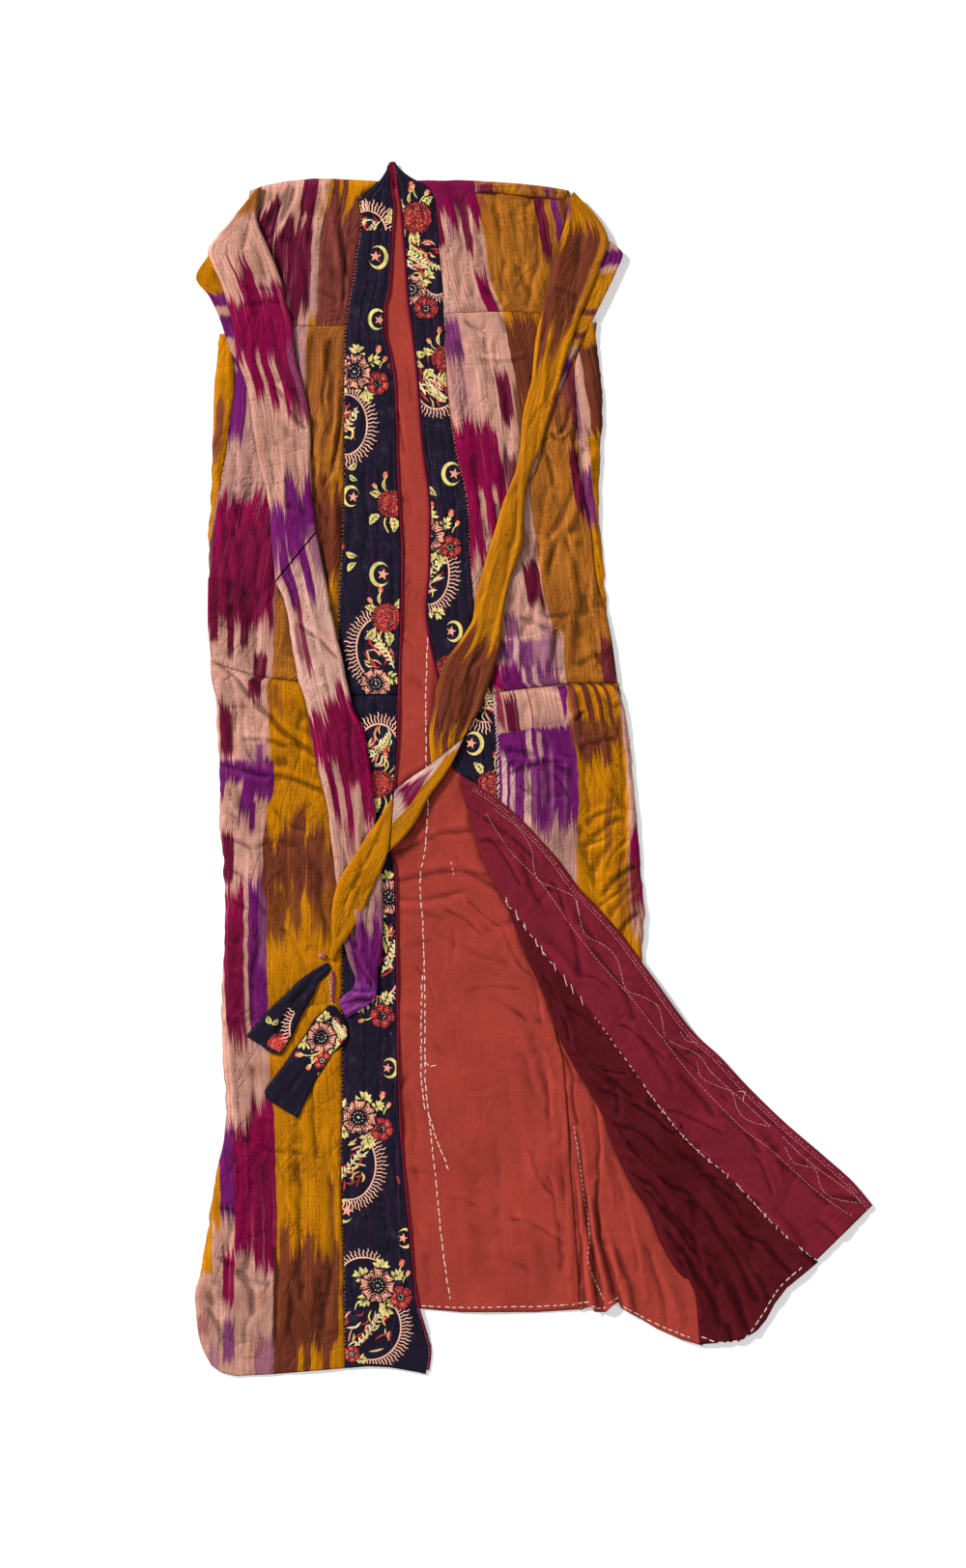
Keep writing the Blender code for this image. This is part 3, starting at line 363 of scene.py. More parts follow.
def put(name, pts, faces, mats, weave=None, slots=None, smooth_faces=True):
    """A mesh piece on the root body."""
    me = bpy.data.meshes.new(name)
    pts = np.array(pts, float).reshape(-1, 3)
    pts[:, 2] = np.maximum(pts[:, 2], 0.0001)          # nothing sinks into the surface
    me.from_pydata(pts, [], faces)
    me.polygons.foreach_set("use_smooth", np.full(len(faces), smooth_faces))
    if weave is not None:
        at = me.attributes.new("weave", "FLOAT_VECTOR", "POINT")
        at.data.foreach_set("vector", np.asarray(weave, np.float32).reshape(-1))
    for m in (mats if isinstance(mats, (list, tuple)) else [mats]):
        me.materials.append(m)
    if slots is not None:
        me.polygons.foreach_set("material_index", np.asarray(slots, np.int32))
    me.update()
    ob = bpy.data.objects.new(name, me)
    bpy.context.collection.objects.link(ob)
    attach(ob, "root")
    MADE[name] = ob
    return ob


def grid_faces(nr, nc, ring=False, flip=False):
    i, j = np.meshgrid(np.arange(nr - 1), np.arange(nc if ring else nc - 1), indexing="ij")
    a, b = (i * nc + j).ravel(), ((i + 1) * nc + j).ravel()
    c, d = ((i + 1) * nc + (j + 1) % nc).ravel(), (i * nc + (j + 1) % nc).ravel()
    f = np.stack([a, b, c, d], axis=1)
    return f[:, ::-1] if flip else f


def crease_shade_and_ridge_highlight(z):
    """Painted shade and highlight for the colour: 1 deep in a crease, -1 on a sharp ridge, from the heights of a grid.
    """
    out = np.zeros(z.shape)
    for r, weight in ((2, 0.5), (4, 0.6)):
        a = z
        for _ in range(2):
            for ax in (0, 1):
                p = np.pad(a, [(r, r) if k == ax else (0, 0) for k in (0, 1)], mode="edge")
                n = a.shape[ax]
                a = sum(np.take(p, range(k, k + n), axis=ax) for k in range(2 * r + 1)) / (2 * r + 1)
        out += weight * (a - z) / (0.00022 * (r + 0.6))
    return np.clip(out, -1, 1)


def grid_object(name, x, y, z, u, v, mat, rim=0.0015, w=None, under=False):
    """Cloth through a grid of plan points; a rim turns its border down (or up)."""
    # w, the weave attribute's third channel: painted shade in creases and painted highlight on ridges, unless given
    w = crease_shade_and_ridge_highlight(z) if w is None else w
    if rim:
        low = np.maximum(np.pad(z, 1, mode="edge") - rim, 0.00005)
        low[1:-1, 1:-1] = z
        x, y, u, v, w = (np.pad(q, 1, mode="edge") for q in (x, y, u, v, w))
        z = low
    nr, nc = x.shape
    return put(name, metres(x, y, z).reshape(-1, 3), grid_faces(nr, nc, flip=under), mat,
               np.stack([u, v, w], axis=-1))


def grid_size(x, y):
    """(width, length, area) of the cloth between a grid of plan points, in metres."""
    px, py = x * SQ, y * SQ
    wide = np.hypot(np.diff(px, axis=1), np.diff(py, axis=1)).sum(axis=1)
    long = np.hypot(np.diff(px, axis=0), np.diff(py, axis=0)).sum(axis=0)
    ax, ay = px[1:, 1:] - px[:-1, :-1], py[1:, 1:] - py[:-1, :-1]
    bx, by = px[:-1, 1:] - px[1:, :-1], py[:-1, 1:] - py[1:, :-1]
    return float(wide.max()), float(long.max()), float(np.abs(ax * by - ay * bx).sum() / 2)


SHEETS = []


def declare(ob, size, ease=1.03):
    """The cloth's cut: its lie on the plan with the ease that its creases take up."""
    w, h, area = size[0] * ease + 0.002, size[1] * ease + 0.002, size[2] * ease * ease
    area = min(max(area, 0.301 * w * h), w * h)
    SHEETS.append((ob.name, round(w, 3), round(h, 3), round(area, 4)))


def rounded(d, run):
    """Share of its level that cloth has lost at distance d (metres) from a folded edge."""
    q = np.clip(1 - d / run, 0, 1)
    return 1 - np.sqrt(np.maximum(1 - q * q, 0))


def step01(a, b, v):
    t = np.clip((v - a) / (b - a), 0, 1)
    return t * t * (3 - 2 * t)


def no_lower(z, least, soft=0.0005):
    """Cloth that rests on what is under it."""
    return least + np.logaddexp(0, (z - least) / soft) * soft


def groove(d, deep=0.0009, half=2.0):
    return -deep * np.exp(-(d / half) ** 2)


def side_level(x):
    return 1 - step01(SIDE_X, SIDE_X + SIDE_RUN, x)


# plan raster of what lies on the fronts: the cloth under it lies quieter
RX, RY, RS = 180.0, 150.0, 2.0
COVER = np.zeros((650, 380))


def cover(tab):
    """Marks the plan outline of a strip of sections on the raster."""
    out = list(zip(tab["lx"], tab["ly"])) + list(zip(tab["rx"], tab["ry"]))[::-1]
    gy, gx = np.mgrid[0:COVER.shape[0], 0:COVER.shape[1]]
    gx, gy = gx * RS + RX, gy * RS + RY
    inside = np.zeros(gx.shape, bool)
    for (ax, ay), (bx, by) in zip(out, out[1:] + out[:1]):
        if ay != by:
            inside ^= ((ay > gy) != (by > gy)) & (gx < (bx - ax) * (gy - ay) / (by - ay) + ax)
    COVER[inside] = 1.0


def covered(x, y):
    fx = np.clip((x - RX) / RS, 0, COVER.shape[1] - 1.001)
    fy = np.clip((y - RY) / RS, 0, COVER.shape[0] - 1.001)
    i, j = fy.astype(int), fx.astype(int)
    ty, tx = fy - i, fx - j
    return ((COVER[i, j] * (1 - tx) + COVER[i, j + 1] * tx) * (1 - ty)
            + (COVER[i + 1, j] * (1 - tx) + COVER[i + 1, j + 1] * tx) * ty)


for _tab in (LEFT_SLEEVE_TOP, LEFT_SLEEVE_LOW, RIGHT_SLEEVE_TOP, RIGHT_SLEEVE_TWIST,
             RIGHT_SLEEVE_LOW, RIGHT_CUFF, LEFT_CUFF, FACING, LINING):
    cover(_tab)
for _ in range(2):
    for _ax in (0, 1):
        COVER = sum(np.roll(COVER, s, axis=_ax) for s in (-2, -1, 0, 1, 2)) / 5

# ------------------------------------------------------------------ creases, given one by one
# soft troughs (minus) and ridges of the fronts: squares, high in metres
FRONT_CREASES = table(FOLD,
    # upper left front, beside the band and round the armhole
    (300, 188, 262, 236, 3.0, 0.0010, 1.6, 3), (306, 192, 276, 250, 2.4, -0.0010, 1.0, 4),
    (352, 200, 366, 300, 2.6, -0.0012, 1.4, -5), (345, 215, 352, 330, 4.0, 0.0008, 1.2, 3),
    (330, 205, 318, 262, 3.0, -0.0008, 1.0, -2), (312, 250, 316, 332, 3.2, -0.0008, 1.3, 2),
    (290, 215, 300, 318, 3.0, 0.0007, 1.2, -3), (358, 262, 350, 336, 2.2, -0.0011, 1.0, 2),
    (322, 300, 356, 318, 3.2, -0.0006, 1.0, 3), (336, 188, 338, 214, 3.0, 0.0008, 1.0, 0),
    # gathers of the ochre length under it
    (324, 345, 322, 470, 2.6, -0.0010, 1.4, -5), (331, 352, 336, 452, 3.0, 0.0012, 1.2, 4),
    (343, 350, 337, 440, 2.4, -0.0013, 1.0, -4), (350, 392, 341, 480, 2.4, 0.0013, 1.2, 3),
    (354, 410, 336, 506, 2.0, -0.0013, 1.3, 5), (336, 430, 330, 540, 3.2, 0.0012, 1.2, -4),
    (346, 470, 350, 560, 2.6, -0.0010, 1.2, 3), (328, 470, 338, 600, 2.8, -0.0009, 1.0, -3),
    (350, 520, 338, 640, 3.6, 0.0009, 1.2, 2), (340, 590, 346, 690, 3.0, -0.0009, 1.0, -2),
    (320, 560, 332, 650, 3.4, 0.0007, 1.0, 2),
    # outer stripe, left
    (262, 470, 240, 560, 4.0, -0.0009, 1.2, 4), (246, 440, 256, 540, 3.0, 0.0007, 1.2, -3),
    (225, 470, 232, 640, 4.6, 0.0010, 1.1, -2), (266, 540, 262, 680, 3.2, -0.0008, 1.1, 2),
    (240, 560, 246, 690, 4.0, 0.0008, 1.1, 3), (222, 600, 262, 622, 4.0, -0.0006, 1.0, 4),
    (280, 610, 268, 700, 3.0, 0.0008, 1.0, -2), (221, 640, 250, 655, 3.0, -0.0006, 1.0, -2),
    # the long diagonal below the seam, and the flat lines folded into the cloth
    (223, 686, 262, 724, 2.2, -0.0015, 1.6, 3), (262, 724, 334, 786, 2.2, -0.0016, 1.6, -4),
    (228, 680, 270, 724, 3.6, 0.0008, 1.2, 3), (268, 720, 338, 780, 3.8, 0.0009, 1.1, -4),
    (250, 766, 322, 776, 2.0, -0.0009, 1.6, 2), (228, 791, 282, 803, 2.2, -0.0013, 1.6, -2),
    (282, 803, 338, 820, 2.2, -0.0013, 1.6, 2), (232, 785, 300, 800, 4.2, 0.0009, 1.1, 0),
    (248, 734, 240, 778, 2.0, -0.0006, 1.2, -5), (236, 700, 244, 760, 2.0, -0.0006, 1.2, 4), (252, 724, 262, 790, 2.0, -0.0005, 1.2, -5),
    (236, 792, 250, 840, 3.4, -0.0009, 1.2, 4), (246, 812, 284, 858, 4.0, 0.0006, 1.2, -4),
    (284, 838, 322, 860, 2.6, -0.0008, 1.0, -6), (288, 872, 330, 866, 3.6, -0.0006, 1.2, -5),
    (230, 868, 262, 880, 2.4, -0.0009, 1.2, 2), (262, 880, 300, 871, 2.6, -0.0006, 1.2, 3),
    (240, 900, 276, 950, 3.2, -0.0008, 1.3, 5), (236, 930, 262, 942, 3.0, -0.0007, 1.0, -2),
    (300, 880, 322, 924, 3.4, 0.0006, 1.2, 5), (330, 900, 342, 980, 3.4, -0.0008, 1.1, -2),
    (252, 960, 240, 1050, 3.8, 0.0008, 1.2, 3), (268, 970, 262, 1060, 3.0, -0.0009, 1.1, -3),
    (236, 1010, 272, 1030, 3.2, -0.0007, 1.1, 3), (290, 960, 318, 1010, 3.0, -0.0006, 1.1, 4),
    # below the cuffs
    (300, 1110, 296, 1230, 4.0, 0.0008, 1.2, 3), (322, 1100, 330, 1200, 3.2, -0.0008, 1.1, -2),
    (262, 1100, 256, 1190, 3.4, -0.0009, 1.1, 3), (240, 1080, 246, 1170, 4.0, 0.0008, 1.1, -3),
    (236, 1172, 268, 1188, 3.0, -0.0007, 1.2, 2), (268, 1186, 330, 1196, 3.2, -0.0006, 1.2, -3),
    (248, 1190, 232, 1300, 4.2, -0.0010, 1.2, 4), (270, 1200, 262, 1330, 4.2, 0.0010, 1.2, -3),
    (310, 1200, 304, 1330, 4.0, -0.0010, 1.2, 3), (344, 1210, 334, 1380, 3.4, -0.0010, 1.2, 4),
    (286, 1290, 282, 1400, 2.6, -0.0010, 1.2, 2), (228, 1300, 262, 1346, 3.6, -0.0012, 1.3, 5),
    (222, 1330, 252, 1398, 4.0, 0.0012, 1.2, -4), (212, 1352, 236, 1410, 3.4, -0.0011, 1.2, 3),
    (262, 1330, 246, 1410, 3.0, -0.0010, 1.2, 3), (300, 1330, 306, 1412, 3.4, -0.0010, 1.2, -2),
    (322, 1320, 318, 1412, 3.4, 0.0010, 1.2, 2), (226, 1250, 250, 1262, 3.0, -0.0008, 1.1, 3),
    (240, 1316, 282, 1330, 3.4, -0.0006, 1.1, -4),
    # upper right front
    (470, 196, 476, 320, 3.0, -0.0008, 1.2, 3), (486, 200, 498, 310, 3.4, 0.0008, 1.2, -2),
    (512, 210, 520, 318, 2.8, -0.0009, 1.2, 3), (540, 214, 548, 300, 3.4, 0.0008, 1.2, -3),
    (556, 212, 546, 322, 2.6, -0.0010, 1.2, 4), (500, 296, 524, 348, 3.0, -0.0009, 1.2, 5),
    (526, 268, 556, 322, 3.0, -0.0007, 1.2, 4), (462, 330, 500, 344, 3.0, -0.0006, 1.1, 3),
    (508, 346, 520, 400, 3.0, 0.0008, 1.1, -4), (474, 350, 480, 460, 3.2, -0.0008, 1.1, 3),
    (496, 380, 508, 500, 3.4, 0.0008, 1.2, -3), (522, 400, 520, 520, 3.0, -0.0009, 1.2, 4),
    (490, 470, 506, 560, 3.0, -0.0009, 1.2, -3), (508, 520, 512, 600, 3.4, 0.0009, 1.2, 2),
    # under the crossing and beside the sleeve
    (604, 462, 566, 560, 3.4, -0.0013, 1.3, 6), (614, 470, 582, 552, 3.6, 0.0012, 1.2, 6),
    (582, 552, 560, 640, 3.0, -0.0012, 1.3, -4), (584, 552, 604, 640, 3.2, -0.0012, 1.3, 4),
    (592, 556, 586, 690, 4.4, 0.0012, 1.2, 3), (574, 500, 560, 590, 3.2, 0.0009, 1.2, -3),
    (556, 560, 548, 650, 3.0, -0.0010, 1.2, 3), (606, 600, 622, 690, 3.4, -0.0011, 1.2, -3),
    (616, 520, 612, 630, 3.6, 0.0009, 1.2, 2), (540, 600, 536, 690, 3.2, 0.0009, 1.2, -2),
    (536, 640, 590, 668, 3.0, -0.0008, 1.2, 4), (560, 640, 634, 622, 3.2, -0.0007, 1.2, -4),
    (520, 660, 526, 700, 2.6, -0.0008, 1.2, 1), (580, 640, 570, 704, 2.6, -0.0009, 1.2, -2),
    (596, 690, 640, 676, 2.8, -0.0008, 1.2, 3), (598, 480, 606, 462, 3.0, -0.0010, 1.2, 2),
    (570, 447, 578, 458, 2.0, -0.0018, 1.1, 0), (597, 438, 595, 472, 1.7, -0.0014, 1.2, -2), (596, 470, 604, 514, 1.8, -0.0012, 1.2, 2),
    (578, 456, 592, 446, 1.8, 0.0010, 1.2, 1), (566, 470, 574, 520, 2.4, -0.0009, 1.2, 2), (590, 420, 580, 452, 1.8, -0.0010, 1.2, 2),
    # right front below the seam
    (608, 852, 640, 838, 1.8, -0.0009, 1.2, 3), (600, 876, 634, 862, 1.8, -0.0008, 1.2, -3), (628, 900, 650, 868, 1.7, -0.0011, 1.2, 3),
    (618, 940, 652, 908, 1.8, -0.0010, 1.2, -3), (636, 734, 650, 724, 1.7, -0.0010, 1.2, 1), (594, 748, 606, 736, 1.6, -0.0012, 1.2, 1),
    (526, 802, 586, 790, 1.7, -0.0009, 1.2, 4), (536, 812, 560, 826, 1.6, -0.0008, 1.2, -2), (572, 800, 590, 830, 1.6, -0.0008, 1.2, 2),
    (600, 716, 612, 860, 3.4, -0.0008, 1.2, -3), (618, 724, 632, 840, 4.0, 0.0009, 1.2, 3),
    (640, 730, 646, 900, 3.2, -0.0010, 1.2, 3), (520, 776, 592, 802, 3.0, -0.0009, 1.3, 5),
    (522, 786, 566, 780, 2.8, 0.0007, 1.2, -3), (540, 762, 550, 850, 3.0, -0.0007, 1.2, 2),
    (576, 764, 572, 860, 3.0, 0.0007, 1.2, -2), (598, 776, 640, 764, 2.6, -0.0006, 1.1, 2),
    (604, 880, 646, 846, 3.2, -0.0010, 1.2, 5), (616, 912, 654, 872, 3.6, 0.0009, 1.2, 5),
    (622, 930, 660, 896, 3.0, -0.0012, 1.2, 5), (634, 956, 664, 920, 2.8, 0.0008, 1.2, 4),
    (640, 968, 664, 944, 2.4, -0.0011, 1.2, 3), (600, 850, 622, 930, 3.6, -0.0007, 1.2, -3),
    (648, 760, 654, 850, 3.0, 0.0008, 1.2, 2), (642, 1010, 662, 1100, 4.0, -0.0008, 1.2, 3),
    (610, 1000, 660, 1040, 4.0, -0.0006, 1.2, 4))
# the solids' own long ridges, drawn softer
for _t in [FRONT_RIDGES]:
    RIDGES = {k: v.copy() for k, v in _t.items()}
# back lining, seen in the opening
LINING_CREASES = table(FOLD,
    (410, 470, 426, 540, 3.6, -0.0006, 1.2, 3), (424, 560, 418, 650, 4.0, 0.0006, 1.2, -3),
    (415, 700, 440, 716, 3.4, -0.0007, 1.2, 4), (416, 742, 446, 756, 3.4, -0.0005, 1.2, 3),
    (405, 885, 492, 858, 2.6, -0.0011, 1.4, 4), (412, 876, 470, 866, 3.8, 0.0006, 1.2, 3),
    (410, 912, 506, 905, 2.8, -0.0010, 1.3, 5), (411, 930, 486, 921, 3.0, -0.0009, 1.3, -5),
    (412, 944, 462, 954, 3.2, -0.0007, 1.2, 3), (470, 886, 520, 924, 3.2, -0.0009, 1.2, -4),
    (446, 960, 540, 1000, 4.2, -0.0006, 1.3, -8), (414, 985, 452, 975, 3.0, -0.0006, 1.2, 3),
    (500, 1030, 548, 1062, 2.8, -0.0006, 1.2, 4), (486, 1000, 520, 1012, 2.6, -0.0004, 1.2, 3),
    (526, 1040, 572, 1060, 3.8, -0.0005, 1.3, -5),
    (414, 1050, 444, 1060, 3.2, -0.0006, 1.2, 2), (448, 1080, 500, 1100, 4.6, -0.0005, 1.2, -6),
    (560, 1040, 584, 1130, 4.6, 0.0008, 1.3, 5), (552, 1070, 572, 1200, 4.0, -0.0007, 1.3, 4),
    (530, 1100, 548, 1240, 5.0, 0.0006, 1.2, 4), (508, 1150, 516, 1290, 5.0, -0.0005, 1.2, 4),
    (576, 1130, 582, 1320, 3.6, -0.0009, 1.2, 3), (424, 1130, 430, 1230, 4.0, -0.0006, 1.2, 2),
    (418, 1210, 452, 1222, 3.4, -0.0006, 1.2, 3), (470, 1200, 484, 1330, 5.0, 0.0005, 1.2, 4),
    (432, 1270, 446, 1344, 4.2, -0.0006, 1.2, 2), (500, 1300, 560, 1322, 4.6, -0.0005, 1.2, 5),
    (540, 1250, 556, 1350, 4.6, 0.0006, 1.2, 3), (412, 1104, 410, 1180, 3.6, 0.0006, 1.1, 0),
    (588, 1210, 590, 1350, 3.0, 0.0008, 1.2, 1),
    # thin sharp ones
    (456, 940, 500, 968, 1.7, -0.0009, 1.2, 3), (470, 962, 466, 1000, 1.6, -0.0007, 1.2, 2), (482, 930, 520, 960, 1.7, -0.0009, 1.2, -3),
    (430, 1000, 452, 1040, 1.7, -0.0007, 1.2, 2), (496, 884, 524, 940, 1.8, -0.0010, 1.2, 4), (520, 960, 548, 1010, 1.8, -0.0009, 1.2, -4),
    (546, 1004, 560, 1060, 1.8, -0.0009, 1.2, 3), (478, 1030, 540, 1024, 1.7, -0.0007, 1.2, 5), (560, 1090, 568, 1160, 1.8, -0.0010, 1.2, 3),
    (548, 1190, 574, 1240, 1.8, -0.0009, 1.2, -4), (566, 1216, 580, 1300, 1.9, -0.0010, 1.2, 4), (528, 1262, 586, 1290, 1.8, -0.0008, 1.2, 5),
    (456, 1240, 500, 1252, 1.8, -0.0006, 1.2, 3), (484, 1130, 520, 1120, 1.7, -0.0006, 1.2, -3), (414, 826, 426, 800, 1.7, -0.0008, 1.2, 2),
    (412, 620, 428, 600, 1.8, -0.0008, 1.2, 2), (410, 560, 424, 576, 1.7, -0.0008, 1.2, -2), (414, 660, 430, 676, 1.7, -0.0008, 1.2, 2),
    (408, 420, 420, 470, 2.0, -0.0009, 1.2, 2), (416, 380, 424, 420, 2.0, 0.0007, 1.2, 2))
# the turned-back side: along the facing, and the lining's slanting pleats
FLAP_CREASES = table(FOLD,
    (500, 846, 560, 900, 3.0, -0.0008, 1.2, 4), (496, 870, 530, 880, 2.6, -0.0009, 1.2, 3),
    (540, 880, 560, 940, 3.2, -0.0007, 1.2, -3), (560, 920, 610, 980, 3.4, 0.0006, 1.2, 4),
    (590, 960, 600, 1010, 3.0, -0.0008, 1.2, 2), (612, 980, 660, 1060, 3.4, -0.0008, 1.2, 4),
    (650, 1030, 676, 1050, 3.0, 0.0006, 1.2, 2), (660, 1060, 700, 1130, 3.2, -0.0007, 1.2, -3),
    (700, 1110, 740, 1160, 3.4, -0.0007, 1.2, 3), (706, 1090, 730, 1092, 2.6, -0.0006, 1.2, 2),
    (744, 1150, 790, 1200, 3.6, -0.0007, 1.2, 4), (780, 1170, 812, 1232, 3.2, 0.0006, 1.2, 3),
    (800, 1200, 860, 1250, 3.2, -0.0008, 1.2, 3), (822, 1196, 846, 1222, 3.0, -0.0006, 1.2, 2),
    (850, 1240, 892, 1246, 2.8, -0.0007, 1.2, 3), (842, 1262, 872, 1290, 2.8, -0.0007, 1.2, 3),
    # maroon lining
    (560, 1000, 576, 1060, 3.6, -0.0010, 1.2, 3), (560, 976, 600, 1020, 3.2, 0.0009, 1.2, 3),
    (584, 1040, 626, 1076, 3.4, -0.0009, 1.2, 4), (592, 1080, 640, 1136, 3.2, 0.0010, 1.2, -4),
    (600, 1100, 666, 1150, 3.0, -0.0011, 1.2, 5), (626, 1100, 640, 1160, 3.2, -0.0008, 1.2, 3),
    (632, 1160, 702, 1210, 3.4, -0.0011, 1.3, 6), (640, 1186, 716, 1262, 3.8, 0.0012, 1.2, 6),
    (652, 1210, 724, 1300, 3.2, -0.0012, 1.3, 6), (664, 1140, 720, 1200, 3.0, 0.0009, 1.2, 4),
    (676, 1250, 740, 1340, 3.8, 0.0012, 1.2, 6), (690, 1272, 748, 1376, 3.2, -0.0012, 1.3, 5),
    (700, 1190, 770, 1262, 3.4, -0.0010, 1.2, 5), (708, 1210, 776, 1300, 3.8, 0.0010, 1.2, 5),
    (716, 1240, 786, 1350, 3.4, -0.0011, 1.3, 5), (740, 1230, 800, 1310, 3.4, 0.0008, 1.2, 4),
    (752, 1280, 800, 1352, 3.2, -0.0010, 1.2, 4), (722, 1320, 760, 1392, 3.4, -0.0010, 1.2, 3),
    (776, 1280, 822, 1322, 3.0, -0.0009, 1.2, 3), (790, 1256, 832, 1300, 3.2, 0.0008, 1.2, 3),
    (730, 1300, 768, 1384, 3.6, 0.0010, 1.2, 4),
    # thin sharp ones
    (622, 1130, 700, 1176, 1.7, -0.0009, 1.2, 6), (640, 1170, 716, 1240, 1.8, -0.0010, 1.2, -6), (664, 1230, 730, 1318, 1.8, -0.0010, 1.2, 6),
    (700, 1300, 722, 1370, 1.8, -0.0010, 1.2, 4), (560, 1010, 590, 1080, 1.8, -0.0010, 1.2, 5), (590, 1090, 650, 1112, 1.7, -0.0009, 1.2, -4),
    (724, 1216, 790, 1250, 1.7, -0.0009, 1.2, 4), (740, 1250, 796, 1290, 1.7, -0.0009, 1.2, -4), (752, 1320, 776, 1384, 1.8, -0.0010, 1.2, 4),
    (506, 870, 540, 920, 1.7, -0.0009, 1.2, 4), (570, 912, 590, 960, 1.7, -0.0008, 1.2, 3), (606, 1010, 640, 1030, 1.6, -0.0007, 1.2, 3),
    (640, 1060, 690, 1100, 1.7, -0.0008, 1.2, 4), (690, 1150, 750, 1176, 1.7, -0.0007, 1.2, 4), (780, 1196, 800, 1240, 1.7, -0.0008, 1.2, 3))
# sleeves: along the tube and across it where it bends
LEFT_SLEEVE_CREASES = table(FOLD,
    (262, 206, 250, 262, 2.6, -0.0008, 1.2, 2), (256, 232, 276, 300, 3.4, -0.0007, 1.2, 3),
    (240, 264, 258, 334, 3.4, 0.0007, 1.2, 3), (230, 270, 246, 346, 2.6, -0.0008, 1.2, -2),
    (264, 300, 292, 306, 2.6, -0.0006, 1.2, 3), (250, 318, 300, 316, 3.0, -0.0006, 1.2, 3),
    (262, 340, 262, 420, 3.0, 0.0007, 1.2, -3), (282, 330, 290, 430, 3.4, -0.0006, 1.2, 3),
    (283, 400, 300, 424, 2.2, -0.0013, 1.4, 3), (300, 424, 319, 446, 2.2, -0.0012, 1.4, -2),
    (286, 398, 322, 440, 4.0, 0.0009, 1.2, 2), (290, 440, 292, 530, 3.0, 0.0007, 1.2, 3),
    (306, 450, 316, 540, 3.0, -0.0007, 1.2, -3), (276, 450, 284, 540, 3.0, -0.0006, 1.2, 2),
    (292, 530, 318, 540, 3.0, 0.0007, 1.2, 2), (298, 560, 304, 590, 2.6, -0.0007, 1.2, 2),
    (300, 600, 322, 700, 3.0, -0.0007, 1.2, 3), (318, 586, 336, 690, 3.0, 0.0008, 1.2, -3),
    (309, 646, 360, 694, 1.8, -0.0009, 1.4, 3), (326, 660, 348, 760, 2.8, -0.0006, 1.2, 2),
    (334, 700, 350, 800, 3.0, 0.0006, 1.2, 3), (356, 712, 366, 820, 2.6, -0.0008, 1.2, 2),
    (340, 760, 352, 850, 2.8, -0.0007, 1.2, -2), (366, 800, 372, 900, 2.8, 0.0007, 1.2, 2),
    (352, 860, 362, 960, 2.8, -0.0007, 1.2, 2), (380, 860, 382, 960, 2.6, -0.0007, 1.2, -2),
    (362, 940, 372, 1020, 2.8, -0.0010, 1.2, 3), (376, 950, 372, 1034, 3.2, 0.0010, 1.2, -3),
    (364, 984, 372, 1000, 1.9, -0.0012, 1.3, 1), (371, 998, 387, 1025, 1.8, -0.0014, 1.3, 1), (364, 1025, 391, 1026, 1.7, -0.0016, 1.2, -1),
    (352, 1036, 366, 1026, 1.7, 0.0008, 1.2, 1), (366, 1029, 388, 1031, 2.2, 0.0012, 1.2, -1), (352, 1041, 384, 1035, 1.6, -0.0008, 1.2, 1),
    (357, 1049, 382, 1041, 1.6, 0.0007, 1.2, 1), (374, 1000, 388, 1020, 2.4, 0.0009, 1.2, 1), (366, 960, 368, 986, 2.2, -0.0009, 1.2, 1),
    (382, 940, 386, 990, 2.4, 0.0008, 1.2, -1))
RIGHT_SLEEVE_CREASES = table(FOLD,
    (600, 226, 592, 330, 3.4, -0.0006, 1.2, 3), (614, 232, 598, 300, 3.0, 0.0006, 1.2, -3),
    (580, 270, 568, 360, 3.0, 0.0007, 1.2, -2), (572, 300, 600, 310, 2.8, -0.0005, 1.2, 2),
    (584, 330, 566, 420, 2.6, -0.0007, 1.2, 2), (566, 350, 556, 440, 2.6, 0.0007, 1.2, 2),
    (560, 420, 545, 500, 2.6, -0.0007, 1.2, 2), (548, 430, 538, 520, 2.4, 0.0007, 1.2, -2),
    (536, 500, 528, 570, 2.6, -0.0009, 1.2, 2), (543, 512, 530, 590, 2.4, 0.0008, 1.2, 2),
    (528, 560, 508, 650, 2.8, -0.0008, 1.2, 3), (516, 570, 498, 640, 2.6, 0.0008, 1.2, -2),
    (514, 640, 480, 700, 2.8, -0.0008, 1.2, 3), (500, 640, 470, 720, 2.6, 0.0007, 1.2, 3),
    (498, 690, 468, 790, 2.6, -0.0009, 1.2, 2), (484, 690, 462, 780, 2.6, 0.0008, 1.2, 2),
    (470, 700, 456, 760, 2.2, -0.0006, 1.2, 2))
LOWER_SLEEVE_CREASES = table(FOLD,
    (398, 850, 372, 900, 2.4, -0.0006, 1.2, 2), (392, 858, 358, 920, 2.6, 0.0005, 1.2, 2),
    (376, 890, 354, 940, 2.4, -0.0006, 1.2, 2), (366, 920, 352, 960, 2.4, 0.0006, 1.2, 2),
    (358, 940, 350, 972, 2.0, -0.0006, 1.2, 1))
CUFF_CREASES = table(FOLD,
    (326, 1012, 300, 1040, 2.6, -0.0006, 1.2, 2), (300, 1040, 276, 1068, 2.6, 0.0005, 1.2, 2),
    (318, 1020, 284, 1072, 2.6, -0.0006, 1.2, -2), (340, 1056, 322, 1084, 2.8, -0.0007, 1.2, 3),
    (330, 1066, 300, 1120, 2.8, 0.0006, 1.2, 3), (316, 1096, 296, 1134, 2.6, -0.0006, 1.2, 2))


def tri(p):
    """Wave with sharp crests and soft hollows, -1 to 1."""
    q = np.abs(2 * (p - np.floor(p)) - 1)
    return 2 * q ** 1.5 - 0.9


